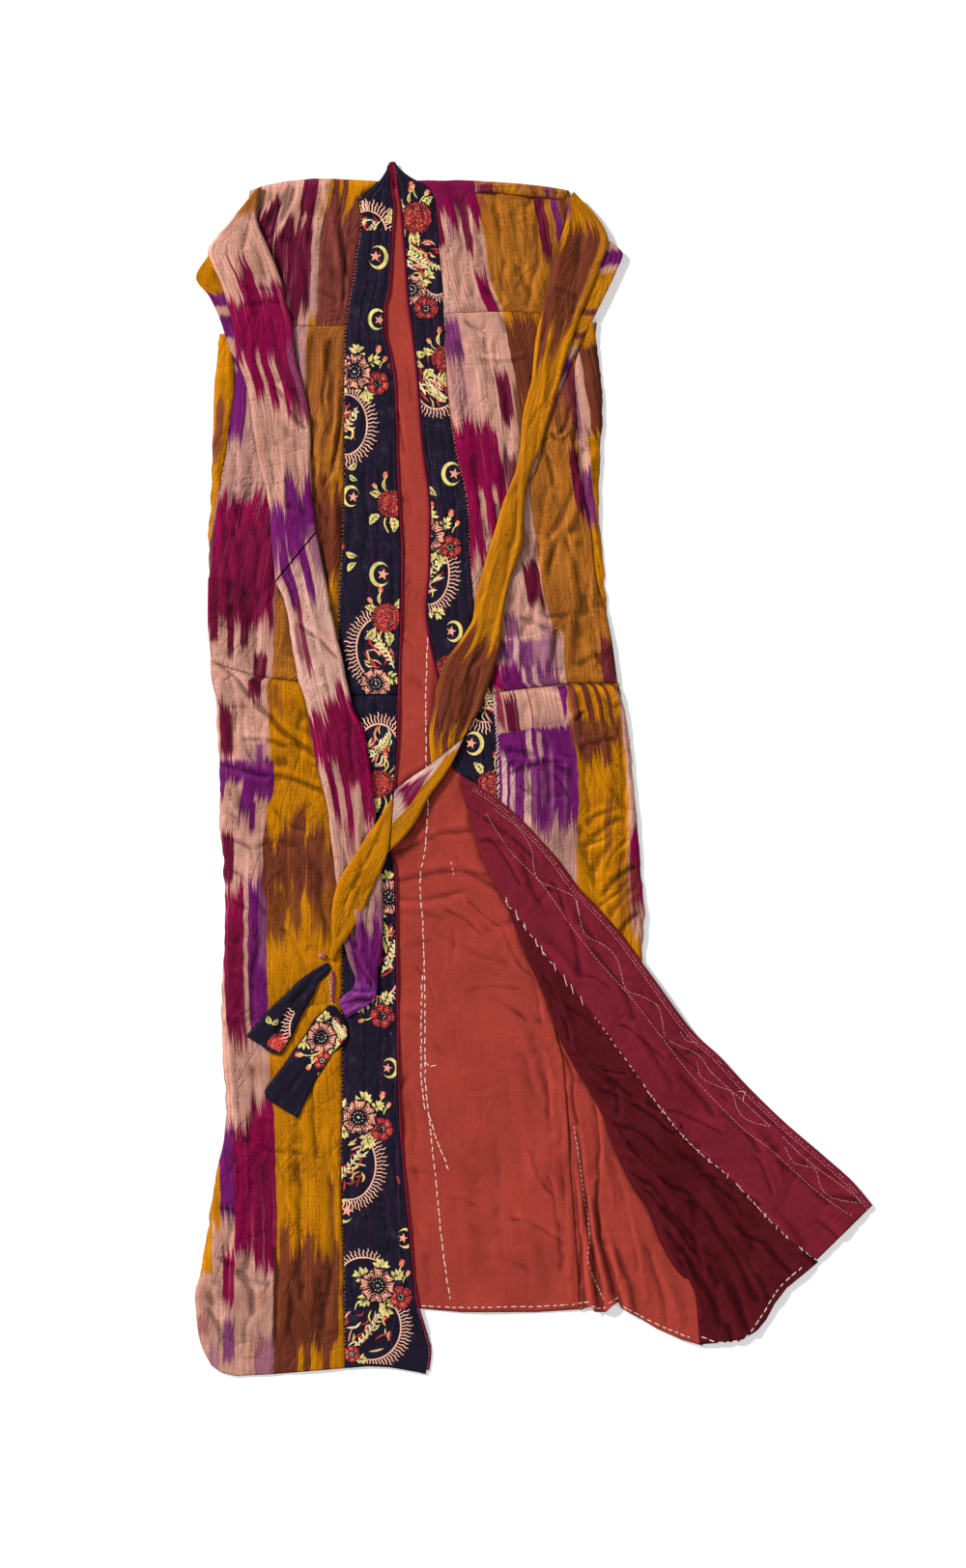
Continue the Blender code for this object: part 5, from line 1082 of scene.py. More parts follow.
RIGHT_MIDDLE = rows_at(RIGHT_STRIPE,
    (460, 477, 337, 366, PURPLE, 10, 6, 14, 8), (460, 482, 320, 420, MAUVE, 20, 10, 40, 20, 0.35),
    (516, 530, 388, 436, PLUM, 12, 8, 14, 10), (466, 518, 456, 502, MAGENTA, 14, 16, 12, 12), (482, 494, 438, 472, MAGENTA, 14, 6, 10, 0), (523, 536, 474, 508, PLUM, 14, 12, 14, 12, 0.9),
    (500, 509, 440, 472, MAGENTA, 14, 6, 10, 0), (466, 498, 490, 572, MAGENTA, 10, 0, 24, 22), (502, 511, 492, 544, MAGENTA, 10, 0, 16, 8),
    (514, 524, 478, 530, MAGENTA, 12, 8, 14, 8), (510, 518, 520, 604, MAGENTA, 14, 0, 20, 6),
    (543, 560, 585, 622, PLUM, 12, 6, 14, 8), (532, 590, 338, 430, BROWN, 18, 16, 20, 24),
    (534, 546, 400, 452, BROWN, 16, 0, 18, 8, 0.8), (556, 660, 420, 716, OCHRE, 26, 10, 12, 0, 0.85),
    (524, 538, 646, 666, PURPLE, 12, 12, 6, 0, 0.8), (560, 574, 650, 668, MAUVE, 12, 8, 6, 0, 0.6), (498, 582, 664, 694, MAUVE, 6, 2, 8, 6, 0.75),
    (498, 552, 666, 680, PURPLE, 6, 2, 8, 8, 0.7), (576, 584, 656, 716, PALE, 8, 0, 8, 0, 0.7), (532, 538, 660, 712, PALE, 8, 0, 8, 0, 0.6),
    (498, 546, 696, 716, MAGENTA, 8, 10, 8, 0), (520, 582, 698, 720, PURPLE, 12, 16, 8, 0, 0.85), (541, 545, 692, 712, PALE, 8, 4, 8, 0, 0.8), (552, 557, 690, 716, PALE, 8, 4, 8, 0, 0.7),
    (592, 604, 472, 520, PLUM, 14, 12, 20, 14), (599, 612, 446, 504, PINK, 10, 8, 16, 10), (605, 618, 500, 548, PURPLE, 12, 8, 18, 12),
    (556, 562, 420, 470, BROWN, 12, 6, 16, 8, 0.5), (581, 598, 368, 434, REDBROWN, 12, 6, 18, 14, 0.85), (588, 598, 380, 440, PLUM, 12, 6, 14, 8, 0.6),
    (573, 580, 404, 448, BROWN, 12, 4, 16, 8, 0.6), (584, 589, 420, 452, BROWN, 12, 4, 12, 6, 0.5), (566, 600, 610, 690, BROWN, 24, 14, 24, 14, 0.25), (622, 640, 664, 704, PLUM, 12, 8, 12, 6, 0.9))
RIGHT_LOWER = rows_at(RIGHT_STRIPE,
    (508, 598, 754, 838, PURPLE, 6, 2, 22, 22), (556, 572, 826, 862, PURPLE, 8, 0, 14, 6),
    (578, 588, 826, 858, PURPLE, 8, 0, 14, 6), (536, 543, 824, 858, PURPLE, 8, 0, 14, 6),
    (520, 525, 782, 860, PALE, 14, 6, 14, 0), (545, 551, 756, 784, PALE, 6, 0, 12, 6, 0.7), (556, 561, 758, 782, PALE, 6, 0, 10, 6, 0.6),
    (543, 550, 800, 860, PALE, 16, 10, 14, 0, 0.8), (528, 533, 806, 860, PALE, 16, 10, 14, 0, 0.7), (560, 566, 806, 836, MAUVE, 12, 8, 10, 0, 0.8),
    (570, 574, 772, 850, MAUVE, 12, 8, 10, 0, 0.6), (551, 556, 786, 846, MAUVE, 12, 8, 10, 0, 0.5), (583, 587, 800, 858, MAUVE, 12, 8, 10, 0, 0.5),
    (500, 598, 866, 930, GREYPINK, 20, 10, 16, 6, 0.4),
    (593, 600, 704, 756, BROWN, 8, 4, 10, 4), (606, 613, 704, 752, BROWN, 8, 4, 10, 4), (618, 623, 706, 750, BROWN, 8, 4, 10, 4),
    # the last row on the next line, a brown band across y 750 to 766, is painted shadow under the fold there
    (628, 633, 706, 748, BROWN, 8, 4, 10, 4), (638, 644, 704, 738, BROWN, 8, 4, 10, 4, 0.8), (590, 646, 750, 766, BROWN, 8, 6, 10, 8, 0.8),
    (598, 630, 758, 774, BROWN, 8, 2, 14, 24), (603, 612, 764, 790, BROWN, 8, 0, 12, 6), (590, 600, 704, 770, REDBROWN, 8, 0, 12, 6, 0.6),
    (626, 633, 830, 880, BROWN, 14, 6, 14, 6, 0.7), (645, 672, 724, 800, PINK, 12, 8, 30, 20),
    (650, 672, 800, 968, PINK, 20, 10, 20, 16), (652, 670, 862, 936, MAGENTA, 16, 12, 16, 12),
    (640, 662, 900, 948, BROWN, 20, 14, 16, 16, 0.6))
RIGHT_PATCH = rows_at(RIGHT_STRIPE,
    (500, 594, 706, 765, PINK, 4, 0, 4, 0), (524, 537, 722, 762, PLUM, 10, 6, 10, 6),
    (510, 519, 700, 750, MAGENTA, 8, 0, 14, 8, 0.9), (580, 590, 704, 740, PURPLE, 8, 0, 10, 4),
    (549, 551, 712, 758, BROWN, 4, 0, 4, 0, 0.6), (552, 592, 746, 760, MAUVE, 6, 2, 4, 0, 0.4))
RIGHT_GORE = rows_at(RIGHT_STRIPE,
    (578, 640, 327, 470, PINK, 4, 0, 10, 4), (606, 630, 338, 462, BROWN, 10, 8, 12, 10),
    (578, 592, 376, 442, BROWN, 12, 8, 14, 8), (594, 622, 455, 548, PLUM, 14, 12, 26, 22),
    (600, 612, 470, 560, PURPLE, 14, 8, 22, 14, 0.7), (609, 640, 455, 640, MUSTARD, 10, 6, 12, 4), (590, 600, 388, 464, PURPLE, 10, 4, 12, 6, 0.7),
    (600, 611, 450, 502, PINK, 8, 4, 14, 8), (605, 615, 490, 536, PURPLE, 12, 6, 16, 10, 0.9), (615, 632, 345, 452, DARKBROWN, 12, 8, 12, 8, 0.7),
    (596, 616, 330, 356, MUSTARD, 6, 0, 8, 4))
# sleeves: u runs 0 to 70 across, v down the middle line
LEFT_SLEEVE_CHART = [
    (0, 72, 590, 800, PALE, 40, 0, 40, 0, 0.5),
    (0, 70, 190, 222, OCHRE, 6, 0, 8, 2), (20, 40, 292, 350, MAGENTA, 16, 30, 12, 0),
    (36, 72, 306, 352, MAGENTA, 14, 20, 14, 0), (-60, 72, 318, 366, MAGENTA, 12, 10, 14, 6),
    (10, 22, 340, 406, MAGENTA, 12, 0, 16, 10), (-8, 6, 340, 376, MAGENTA, 12, 0, 12, 6), (27, 36, 340, 422, MAGENTA, 12, 0, 18, 12),
    (44, 72, 340, 418, MAGENTA, 12, 0, 20, 16), (50, 60, 380, 440, PLUM, 16, 6, 16, 6, 0.8),
    (60, 72, 360, 420, MAUVE, 20, 6, 20, 8, 0.5),
    (26, 72, 514, 560, PURPLE, 20, 30, 16, 0), (0, 72, 530, 566, PURPLE, 16, 12, 18, 14),
    (10, 24, 556, 612, PURPLE, 12, 0, 18, 10), (38, 50, 556, 624, PURPLE, 12, 0, 18, 10),
    (56, 72, 548, 600, MAUVE, 12, 0, 18, 10, 0.8), (16, 24, 618, 690, MAGENTA, 14, 10, 18, 8, 0.9),
    (8, 15, 640, 676, MAGENTA, 12, 6, 14, 6, 0.7),
    (0, 72, 744, 790, MAGENTA, 14, 14, 14, 4), (28, 72, 736, 812, MAGENTA, 14, 14, 16, 8), (50, 62, 712, 760, MAGENTA, 16, 8, 12, 0),
    (10, 19, 780, 846, MAGENTA, 12, 0, 22, 12), (28, 37, 780, 856, MAGENTA, 12, 0, 22, 12),
    (52, 72, 780, 852, MAGENTA, 12, 0, 22, 12), (20, 60, 750, 800, PLUM, 14, 12, 20, 12, 0.45),
    (22, 36, 850, 882, MAGENTA, 14, 6, 16, 8, 0.6),
    (0, 72, 905, 975, GREYPINK, 30, 20, 20, 10, 0.6), (0, 72, 968, 1100, PURPLE, 16, 22, 20, 0), (56, 72, 944, 1000, PURPLE, 16, 14, 24, 10, 0.6),
    (0, 12, 976, 1012, GREYPINK, 12, 6, 14, 8, 0.55), (0, 72, 1020, 1062, VIOLET, 8, 8, 10, 6, 0.7), (10, 20, 1022, 1062, MAUVE, 8, 4, 8, 4, 0.5), (48, 56, 1022, 1062, MAUVE, 8, 4, 8, 4, 0.5), (40, 72, 1050, 1100, MUSTARD, 3, 2, 8, 0)]
RIGHT_SLEEVE_CHART = [
    (0, 58, 262, 330, BROWN, 18, 34, 20, 26), (10, 30, 236, 300, BROWN, 18, 16, 16, 0),
    (30, 46, 280, 362, BROWN, 14, 0, 22, 14, 0.9), (8, 22, 320, 372, BROWN, 14, 0, 22, 14),
    (0, 12, 190, 222, PURPLE, 6, 0, 10, 4, 0.8), (56, 72, 250, 320, OCHRE, 20, 10, 20, 10, 0.5),
    (0, 72, 682, 742, BROWN, 18, 26, 20, 22), (6, 20, 660, 700, BROWN, 16, 10, 12, 0),
    (24, 36, 720, 790, BROWN, 12, 0, 24, 10), (48, 60, 720, 780, BROWN, 12, 0, 24, 10, 0.9),
    (10, 18, 720, 762, REDBROWN, 12, 0, 24, 10, 0.8), (0, 72, 400, 640, OCHRE, 60, 20, 60, 20, 0.15)]
TWIST_CHART = [
    (38, 74, 784, 880, MUSTARD, 3, 0, 3, 0), (14, 39, 812, 834, MAGENTA, 12, 10, 8, 4),
    (-2, 10, 826, 846, MAUVE, 8, 4, 8, 4, 0.8), (4, 14, 820, 836, MAGENTA, 10, 6, 8, 4), (20, 30, 800, 824, MAUVE, 9, 4, 8, 4, 0.5)]

# ------------------------------------------------------------------ lengths of the body
def stripes(border):
    return lambda x, y: (x - edge(border, y), y)


def as_plan(x, y):
    return x, y


def shell(name, mat, left, right, y0, y1, weave, level=FRONT_TOP, top=None, foot=None, step=1.8,
          fold_left=False, fold_right=False, fold_top=False, lower_at_hem=False, sewn="",
          thick=0.0018, relief=None, rim=0.0014, wobble=2.4, seed=1,
          relief_by_share=None, under=False, least=None, nodes=None):
    nr = max(4, int(math.ceil((y1 - y0) / step)) + 1)
    t = np.linspace(0, 1, nr)
    ys = y0 + (y1 - y0) * t
    widest = float(np.max(edge(right, ys) - edge(left, ys)))
    nc = max(4, int(math.ceil(widest / step)) + 1)
    s = np.linspace(0, 1, nc)

    def sides(y):
        xl, xr = edge(left, y), edge(right, y)
        if fold_left:
            xl = xl + (noise(y, y * 0, 5.5, seed + 305) - 0.5) * 0.9
            xl = xl + (noise(y, y * 0, 13, seed + 300) - 0.5) * wobble + (noise(y, y * 0, 41, seed + 301) - 0.5) * wobble
        if fold_right:
            xr = xr + (noise(y, y * 0, 5.5, seed + 306) - 0.5) * 0.9
            xr = xr + (noise(y, y * 0, 13, seed + 302) - 0.5) * wobble + (noise(y, y * 0, 41, seed + 303) - 0.5) * wobble
        return xl, xr
    xl, xr = sides(ys)
    x = xl[:, None] + (xr - xl)[:, None] * s
    y = np.repeat(ys[:, None], nc, axis=1)
    tt = t[:, None]
    if top is not None:
        y = y + (seam(top, x) - y0) * (1 - tt) ** 4
        if fold_top:
            y = y + (noise(x, x * 0, 15, seed + 304) - 0.5) * 1.6 * (1 - tt) ** 4
    if foot is not None:
        y = y + (seam(foot, x) - y1) * tt ** 6
    xl, xr = sides(y)
    x = xl + (xr - xl) * s
    d_left, d_right = (x - xl), (xr - x)
    d_top = y - y[:1]
    d_foot = y[-1:] - y
    z = np.full(x.shape, level)
    add = np.zeros(x.shape)
    if relief is not None:
        add = relief(x, y)
    if relief_by_share is not None:
        add = add + relief_by_share(x, y, np.broadcast_to(s, x.shape))
    for side, d in (("l", d_left), ("r", d_right), ("t", d_top), ("f", d_foot)):
        if side in sewn:
            add = add * (0.45 + 0.55 * step01(0, 9, d)) + groove(d, 0.0010 if side in "lr" or np.median(y[d < 3]) > 600 else 0.0003, 2.2)
            add = add - 0.0005 * creased(x + d * 0.7, y - d * 0.4, 8, seed + 40) * np.exp(-(d / 9) ** 2)
    loss = np.zeros(x.shape)
    for on, d in ((fold_left, d_left), (fold_right, d_right), (fold_top, d_top)):
        if on:
            loss = np.maximum(loss, rounded(d * SQ, 0.009))
    if lower_at_hem:
        h = step01(HEM_Y, HEM_Y + HEM_RUN, y)
        loss = 1 - (1 - loss) * (1 - h)
    z = thick + (level - thick) * (1 - loss) + add * (1 - 0.6 * loss)
    if least is None:
        least = max(level - 0.0017, 0.0003)
    z = no_lower(z, np.minimum(least, z * 0 + 1) * (1 - loss) + 0.0008 * loss, 0.0003)
    u, v = weave(x, y)
    ob = grid_object(name + "_cloth", x, y, z, u, v, mat, rim=rim, under=under)
    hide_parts(*(nodes or [name]))
    declare(ob, grid_size(x, y))
    return ob


M_LEFT_UPPER = ikat("ikat_left_upper", [(-999, PINK), (0, MUSTARD)], LEFT_UPPER, 1, 0.9)
M_LEFT_MIDDLE = ikat("ikat_left_middle", [(-999, PINK), (0, MUSTARD)], LEFT_MIDDLE, 2, 0.8)
M_LEFT_LOWER = ikat("ikat_left_lower", [(-999, PINK), (0, MUSTARD)], LEFT_LOWER, 3, 1.0)
M_LEFT_GORE = ikat("ikat_left_gore", [(-999, MUSTARD)], LEFT_GORE, 4, 0.6)
M_RIGHT_UPPER = ikat("ikat_right_upper", [(-999, PINK), (0, MUSTARD)], RIGHT_UPPER, 5, 0.8)
M_RIGHT_MIDDLE = ikat("ikat_right_middle", [(-999, PINK), (0, MUSTARD)], RIGHT_MIDDLE, 6, 0.6)
M_RIGHT_LOWER = ikat("ikat_right_lower", [(-999, PINK), (0, MUSTARD)], RIGHT_LOWER, 7, 0.8)
M_RIGHT_PATCH = ikat("ikat_right_patch", [(-999, PINK)], RIGHT_PATCH, 8, 0.9)
M_RIGHT_GORE = ikat("ikat_right_gore", [(-999, PINK)], RIGHT_GORE, 9, 0.5)
M_LEFT_SLEEVE = ikat("ikat_left_sleeve", [(-999, PINK)], LEFT_SLEEVE_CHART, 10, 1.0)
M_RIGHT_SLEEVE = ikat("ikat_right_sleeve", [(-999, MUSTARD)], RIGHT_SLEEVE_CHART, 11, 0.6)
M_TWIST = ikat("ikat_twist", [(-999, PALE)], TWIST_CHART, 12, 0.4)
M_BACK = ikat("ikat_back", [(-999, MUSTARD), (-190, PINK), (-60, MUSTARD), (40, PINK), (120, MUSTARD)], [
    (-400, -190, 420, 560, BROWN, 22, 34, 26, 40), (-190, -60, 300, 420, MAGENTA, 20, 30, 20, 30),
    (-60, 40, 500, 640, BROWN, 22, 34, 26, 40), (40, 120, 620, 760, MAGENTA, 22, 34, 26, 40),
    (-190, -60, 720, 860, PURPLE, 22, 34, 26, 40), (120, 400, 760, 900, BROWN, 22, 34, 26, 40),
    (-400, -190, 960, 1100, BROWN, 22, 34, 26, 40), (40, 120, 980, 1120, PURPLE, 22, 34, 26, 40),
    (-190, -60, 1120, 1260, MAGENTA, 22, 34, 26, 40), (-60, 40, 1180, 1300, BROWN, 22, 34, 26, 40)], 13, 0.5)
M_NAVY = plain("navy_cotton", NAVY, 21, 0.10, 0.35, 0.75, 0.8, lin(52, 50, 72))
M_BRICK = plain("brick_cotton", BRICK, 22, 0.08, 0.30, 0.85, 0.8, None, 0.35)
M_MAROON = plain("maroon_cotton", MAROON, 23, 0.12, 0.25, 0.8, 0.8, None, 0.6)
M_CRIMSON = plain("crimson_cotton", CRIMSON, 24, 0.10, 0.30, 0.82, 0.9, None, 0.5)
M_PIPING = plain("piping_silk", lin(112, 20, 44), 25, 0.10, 0.35, 0.6, 1.0)

BACK_FOOT["y"] = BACK_FOOT["y"] - 9 * step01(596, 640, BACK_FOOT["x"])      # stays inside the lining's hem
# the back, face down on the surface, and the linings that show in the opening
shell("back_panel", M_BACK, BACK_LEFT, BACK_RIGHT, 189, 1354, lambda x, y: (x - 440, y), level=0.0006,
      top=BACK_TOP, foot=BACK_FOOT, step=4.0, thick=0.0006, rim=0, seed=2, under=True,
      relief=lambda x, y: 0.0004 * noise(x, y, 30, 400) + 0.0003 * creased(x, y, 24, 401))
shell("back_lining", M_BRICK, LINING_LEFT, LINING_RIGHT, 196, 1356, as_plan, level=LINING_TOP,
      foot=BACK_HEM, step=2.5, thick=0.0012, relief=lining_relief, rim=0.0012, sewn="f", seed=3)


def gore_shell():
    n = len(GORE_LINING["lx"])
    t = np.linspace(0, n - 1, 170)
    k = np.arange(n)
    lx, ly, rx, ry = (smooth(k, GORE_LINING[c], t) for c in ("lx", "ly", "rx", "ry"))
    s = np.linspace(0, 1, 68)
    x = lx[:, None] + (rx - lx)[:, None] * s
    y = ly[:, None] + (ry - ly)[:, None] * s
    ext = 6.0 * step01(0, 2, t)
    wn = np.maximum(np.hypot(rx - lx, ry - ly), 1e-6)
    w = np.hypot(rx - lx, ry - ly)[-1]
    x = x + ((rx - lx) / wn * ext)[:, None] * s ** 5        # runs in under the turned-back side
    y = y + ((ry - ly) / wn * ext)[:, None] * s ** 5
    out = np.interp(s, GORE_NOTCH["share"], GORE_NOTCH["out"])
    blend = np.clip(t - (n - 2), 0, 1)[:, None] ** 1.5
    x = x - (ry - ly)[-1] / w * out * blend
    y = y + (rx - lx)[-1] / w * out * blend
    q = (t / (n - 1))[:, None]
    z = np.full(x.shape, LINING_TOP)
    for share, half, high, start in zip(*(GORE_PLEATS[c] for c in ("share", "half", "high", "start"))):
        grow = step01(start - 0.05, start + 0.3, q)
        d = np.abs(s - share + 0.015 * (noise(q * 60, q * 0 + share * 50, 9, 77) - 0.5)) / half
        z = z + high * grow * np.clip(1 - d * d * 0.8, 0, 1) ** 1.3
    z = z + wrinkles(x, y, 91, 0.0010, 0.0006, 0.00015, 2.2, 4.0, 0.6, 0.0001, 0.0004)
    z = z + folds(x, y, table(FOLD,
        (668, 1290, 690, 1376, 3.4, -0.0010, 1.2, 3), (646, 1240, 668, 1350, 3.6, 0.0010, 1.2, 4),
        (632, 1200, 660, 1320, 3.2, -0.0009, 1.2, 4), (620, 1180, 636, 1260, 3.0, 0.0007, 1.2, 2),
        (676, 1300, 706, 1380, 3.4, 0.0008, 1.2, 3), (612, 1130, 618, 1220, 3.0, -0.0008, 1.2, 2),
        (579, 1084, 594, 1120, 1.8, -0.0016, 1.0, 2), (594, 1116, 598, 1166, 1.8, -0.0016, 1.0, -2), (597, 1170, 601, 1214, 2.0, -0.0018, 1.0, 2),
        (600, 1200, 607, 1272, 2.0, -0.0014, 1.0, 2), (606, 1236, 606, 1300, 2.0, -0.0014, 1.0, -2), (615, 1144, 619, 1226, 2.0, -0.0018, 1.0, 2),
        (619, 1220, 621, 1290, 2.2, -0.0022, 1.0, -2), (602, 1276, 597, 1336, 2.2, -0.0016, 1.0, 2), (612, 1290, 618, 1344, 2.2, -0.0016, 1.0, -2),
        (621, 1290, 636, 1340, 2.2, -0.0018, 1.0, 3), (632, 1292, 640, 1330, 2.4, 0.0012, 1.0, 3)), 0.5)
    z = no_lower(z, 0.0016, 0.0003)
    ob = grid_object("gore_lining_cloth", x, y, z, x, y, M_BRICK, rim=0.0012)
    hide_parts("gore_lining")
    declare(ob, grid_size(x, y))


gore_shell()
shell("left_side_gore", M_LEFT_GORE, LEFT_EDGE, LEFT_GORE_SEAM, 346, 596, stripes(LEFT_STRIPE),
      fold_left=True, sewn="r", relief=front_relief, seed=4)
shell("left_front_upper", M_LEFT_UPPER, LEFT_ARMHOLE, LEFT_BAND_SEAM, 187, 338, stripes(LEFT_STRIPE),
      top=LEFT_TOP, foot=LEFT_CROSS_1, fold_left=True, fold_top=True, sewn="rf",
      relief=front_relief, seed=5)
shell("left_front_middle", M_LEFT_MIDDLE, LEFT_MIDDLE_EDGE, LEFT_BAND_SEAM, 338, 706,
      stripes(LEFT_STRIPE), top=LEFT_CROSS_1, foot=LEFT_CROSS_2, sewn="lrtf",
      relief=front_relief, seed=6)
shell("left_front_lower", M_LEFT_LOWER, LEFT_EDGE, LEFT_BAND_SEAM, 706, 1417, stripes(LEFT_STRIPE),
      top=LEFT_CROSS_2, foot=LEFT_HEM, fold_left=True, lower_at_hem=True, sewn="rt",
      relief=front_relief, seed=7)
COLLAR_LEFT = {k: np.concatenate([v, LEFT_BAND_SEAM[k]]) for k, v in (("y", [168.0]), ("x", [404.0]))}
shell("left_band_upper", M_NAVY, COLLAR_LEFT, LEFT_FREE_EDGE, 168.5, 720, as_plan, level=BAND_TOP,
      sewn="lf", relief_by_share=band_relief, thick=0.0021, rim=0.0018, seed=8)
shell("left_band_lower", M_NAVY, LEFT_BAND_SEAM, LEFT_FREE_EDGE, 720, 1417, as_plan, level=BAND_TOP,
      foot=BAND_HEM, sewn="lt", relief_by_share=band_relief, thick=0.0021, rim=0.0018,
      lower_at_hem=True, seed=9)
for _t in (RIGHT_GORE_SEAM, RIGHT_MIDDLE_EDGE):     # the seam runs out at the side
    _t["x"] = np.where(_t["y"] == 640, 628.8, _t["x"])
    _t["x"] = np.where(_t["y"] == 644, 629.6, _t["x"])
shell("right_side_gore", M_RIGHT_GORE, RIGHT_GORE_SEAM, RIGHT_EDGE, 334, 636, stripes(RIGHT_STRIPE),
      fold_right=True, sewn="l", relief=front_relief, seed=10)
shell("right_front_upper", M_RIGHT_UPPER, RIGHT_BAND_SEAM, RIGHT_ARMHOLE, 187, 325,
      stripes(RIGHT_STRIPE), top=RIGHT_TOP, foot=RIGHT_CROSS_1, fold_right=True, fold_top=True,
      sewn="lf", relief=front_relief, seed=11)
shell("right_front_middle", M_RIGHT_MIDDLE, RIGHT_BAND_SEAM, RIGHT_MIDDLE_EDGE, 325, 710,
      stripes(RIGHT_STRIPE), top=RIGHT_CROSS_1, foot=RIGHT_CROSS_2, sewn="lrtf",
      relief=front_relief, seed=12)
shell("right_front_lower", M_RIGHT_LOWER, LOWER_LEFT, RIGHT_EDGE, 712, 1215, stripes(RIGHT_STRIPE),
      top=RIGHT_CROSS_2, fold_right=True, sewn="lt", relief=front_relief, seed=13)
shell("right_front_patch", M_RIGHT_PATCH, PATCH_LEFT, PATCH_RIGHT, 714, 757, stripes(RIGHT_STRIPE),
      level=0.0058, foot=PATCH_FOOT,
      top=table("x y", (508, 718.5), (550, 712.5), (592, 709.5)), relief=front_relief, seed=14, rim=0.0011, sewn="lrtf")
COLLAR_IN = {k: np.concatenate([v, BAND_DOWN[k]]) for k, v in (("y", [167.5]), ("x", [407.6]))}
COLLAR_OUT = {k: np.concatenate([v, BAND_SEAM_DOWN[k]]) for k, v in (("y", [167.5]), ("x", [409.0]))}
shell("right_band", M_NAVY, COLLAR_IN, COLLAR_OUT, 168, 900, as_plan, level=BAND_TOP,
      sewn="r", relief_by_share=band_relief, thick=0.0021, rim=0.0018, seed=15)


def collar_inside():
    """The collar's inner face, crimson, between the two bands up to their tip."""
    ys = np.arange(167.6, 224, 1.4)
    s = np.linspace(0, 1, 9)
    l, r = edge(LEFT_FREE_EDGE, ys) - 1.5, edge(RIGHT_FREE_EDGE, ys) + 1.5
    r = np.maximum(r, l + 3)
    tip = 0.9 + 1.0 * np.clip(ys - 167.6, 0, None)
    l, r = np.maximum(l, 406.3 - tip), np.minimum(r, 406.3 + tip)
    x, y = l[:, None] + (r - l)[:, None] * s, np.repeat(ys[:, None], 9, axis=1)
    z = 0.0032 + 0.0012 * np.abs(2 * s - 1) - 0.0010 * step01(205, 224, y) + 0 * x
    ob = grid_object("collar_inside_cloth", x, y, z, x, y, M_PIPING, rim=0)
    declare(ob, grid_size(x, y))


collar_inside()


# ------------------------------------------------------------------ strips lofted through sections
def sections(tab, step=1.8, across=1.8, n=None):
    """Points x, y and the strip's own level z through the rows of a table; s runs across."""
    k = np.arange(len(tab["lx"]))
    mx, my = (tab["lx"] + tab["rx"]) / 2, (tab["ly"] + tab["ry"]) / 2
    lengths = np.maximum(np.hypot(np.diff(mx), np.diff(my)), 1.5)
    run = np.concatenate([[0], np.cumsum(lengths)])
    q = np.linspace(0, run[-1], max(5, int(run[-1] / step) + 1))
    cols = {c: smooth(run, tab[c], q) for c in tab if c != "z"}
    zs = np.interp(q, run, tab["z"]) if "z" in tab else None
    w = np.hypot(tab["rx"] - tab["lx"], tab["ry"] - tab["ly"]).max()
    s = np.linspace(0, 1, n or max(5, int(w / across) + 1))
    x = cols["lx"][:, None] + (cols["rx"] - cols["lx"])[:, None] * s
    y = cols["ly"][:, None] + (cols["ry"] - cols["ly"])[:, None] * s
    return x, y, zs, s, q


def flap_sections(tab, hem=None, seam_in=1.0):
    x, y, _, s, q = sections(tab, 2.0, 2.0)
    if hem is not None:
        dx, dy = x[:, -1] - x[:, 0], y[:, -1] - y[:, 0]
        w = np.hypot(dx, dy)
        out = np.interp(s, hem["share"], hem["out"])
        # the bulge of the hem grows over the last of the length
        blend = np.clip((q - q[-1] + 46) / 46, 0, 1)[:, None] ** 1.4
        x, y = x - (dy / w)[:, None] * out * blend, y + (dx / w)[:, None] * out * blend
    return x, y, s, q


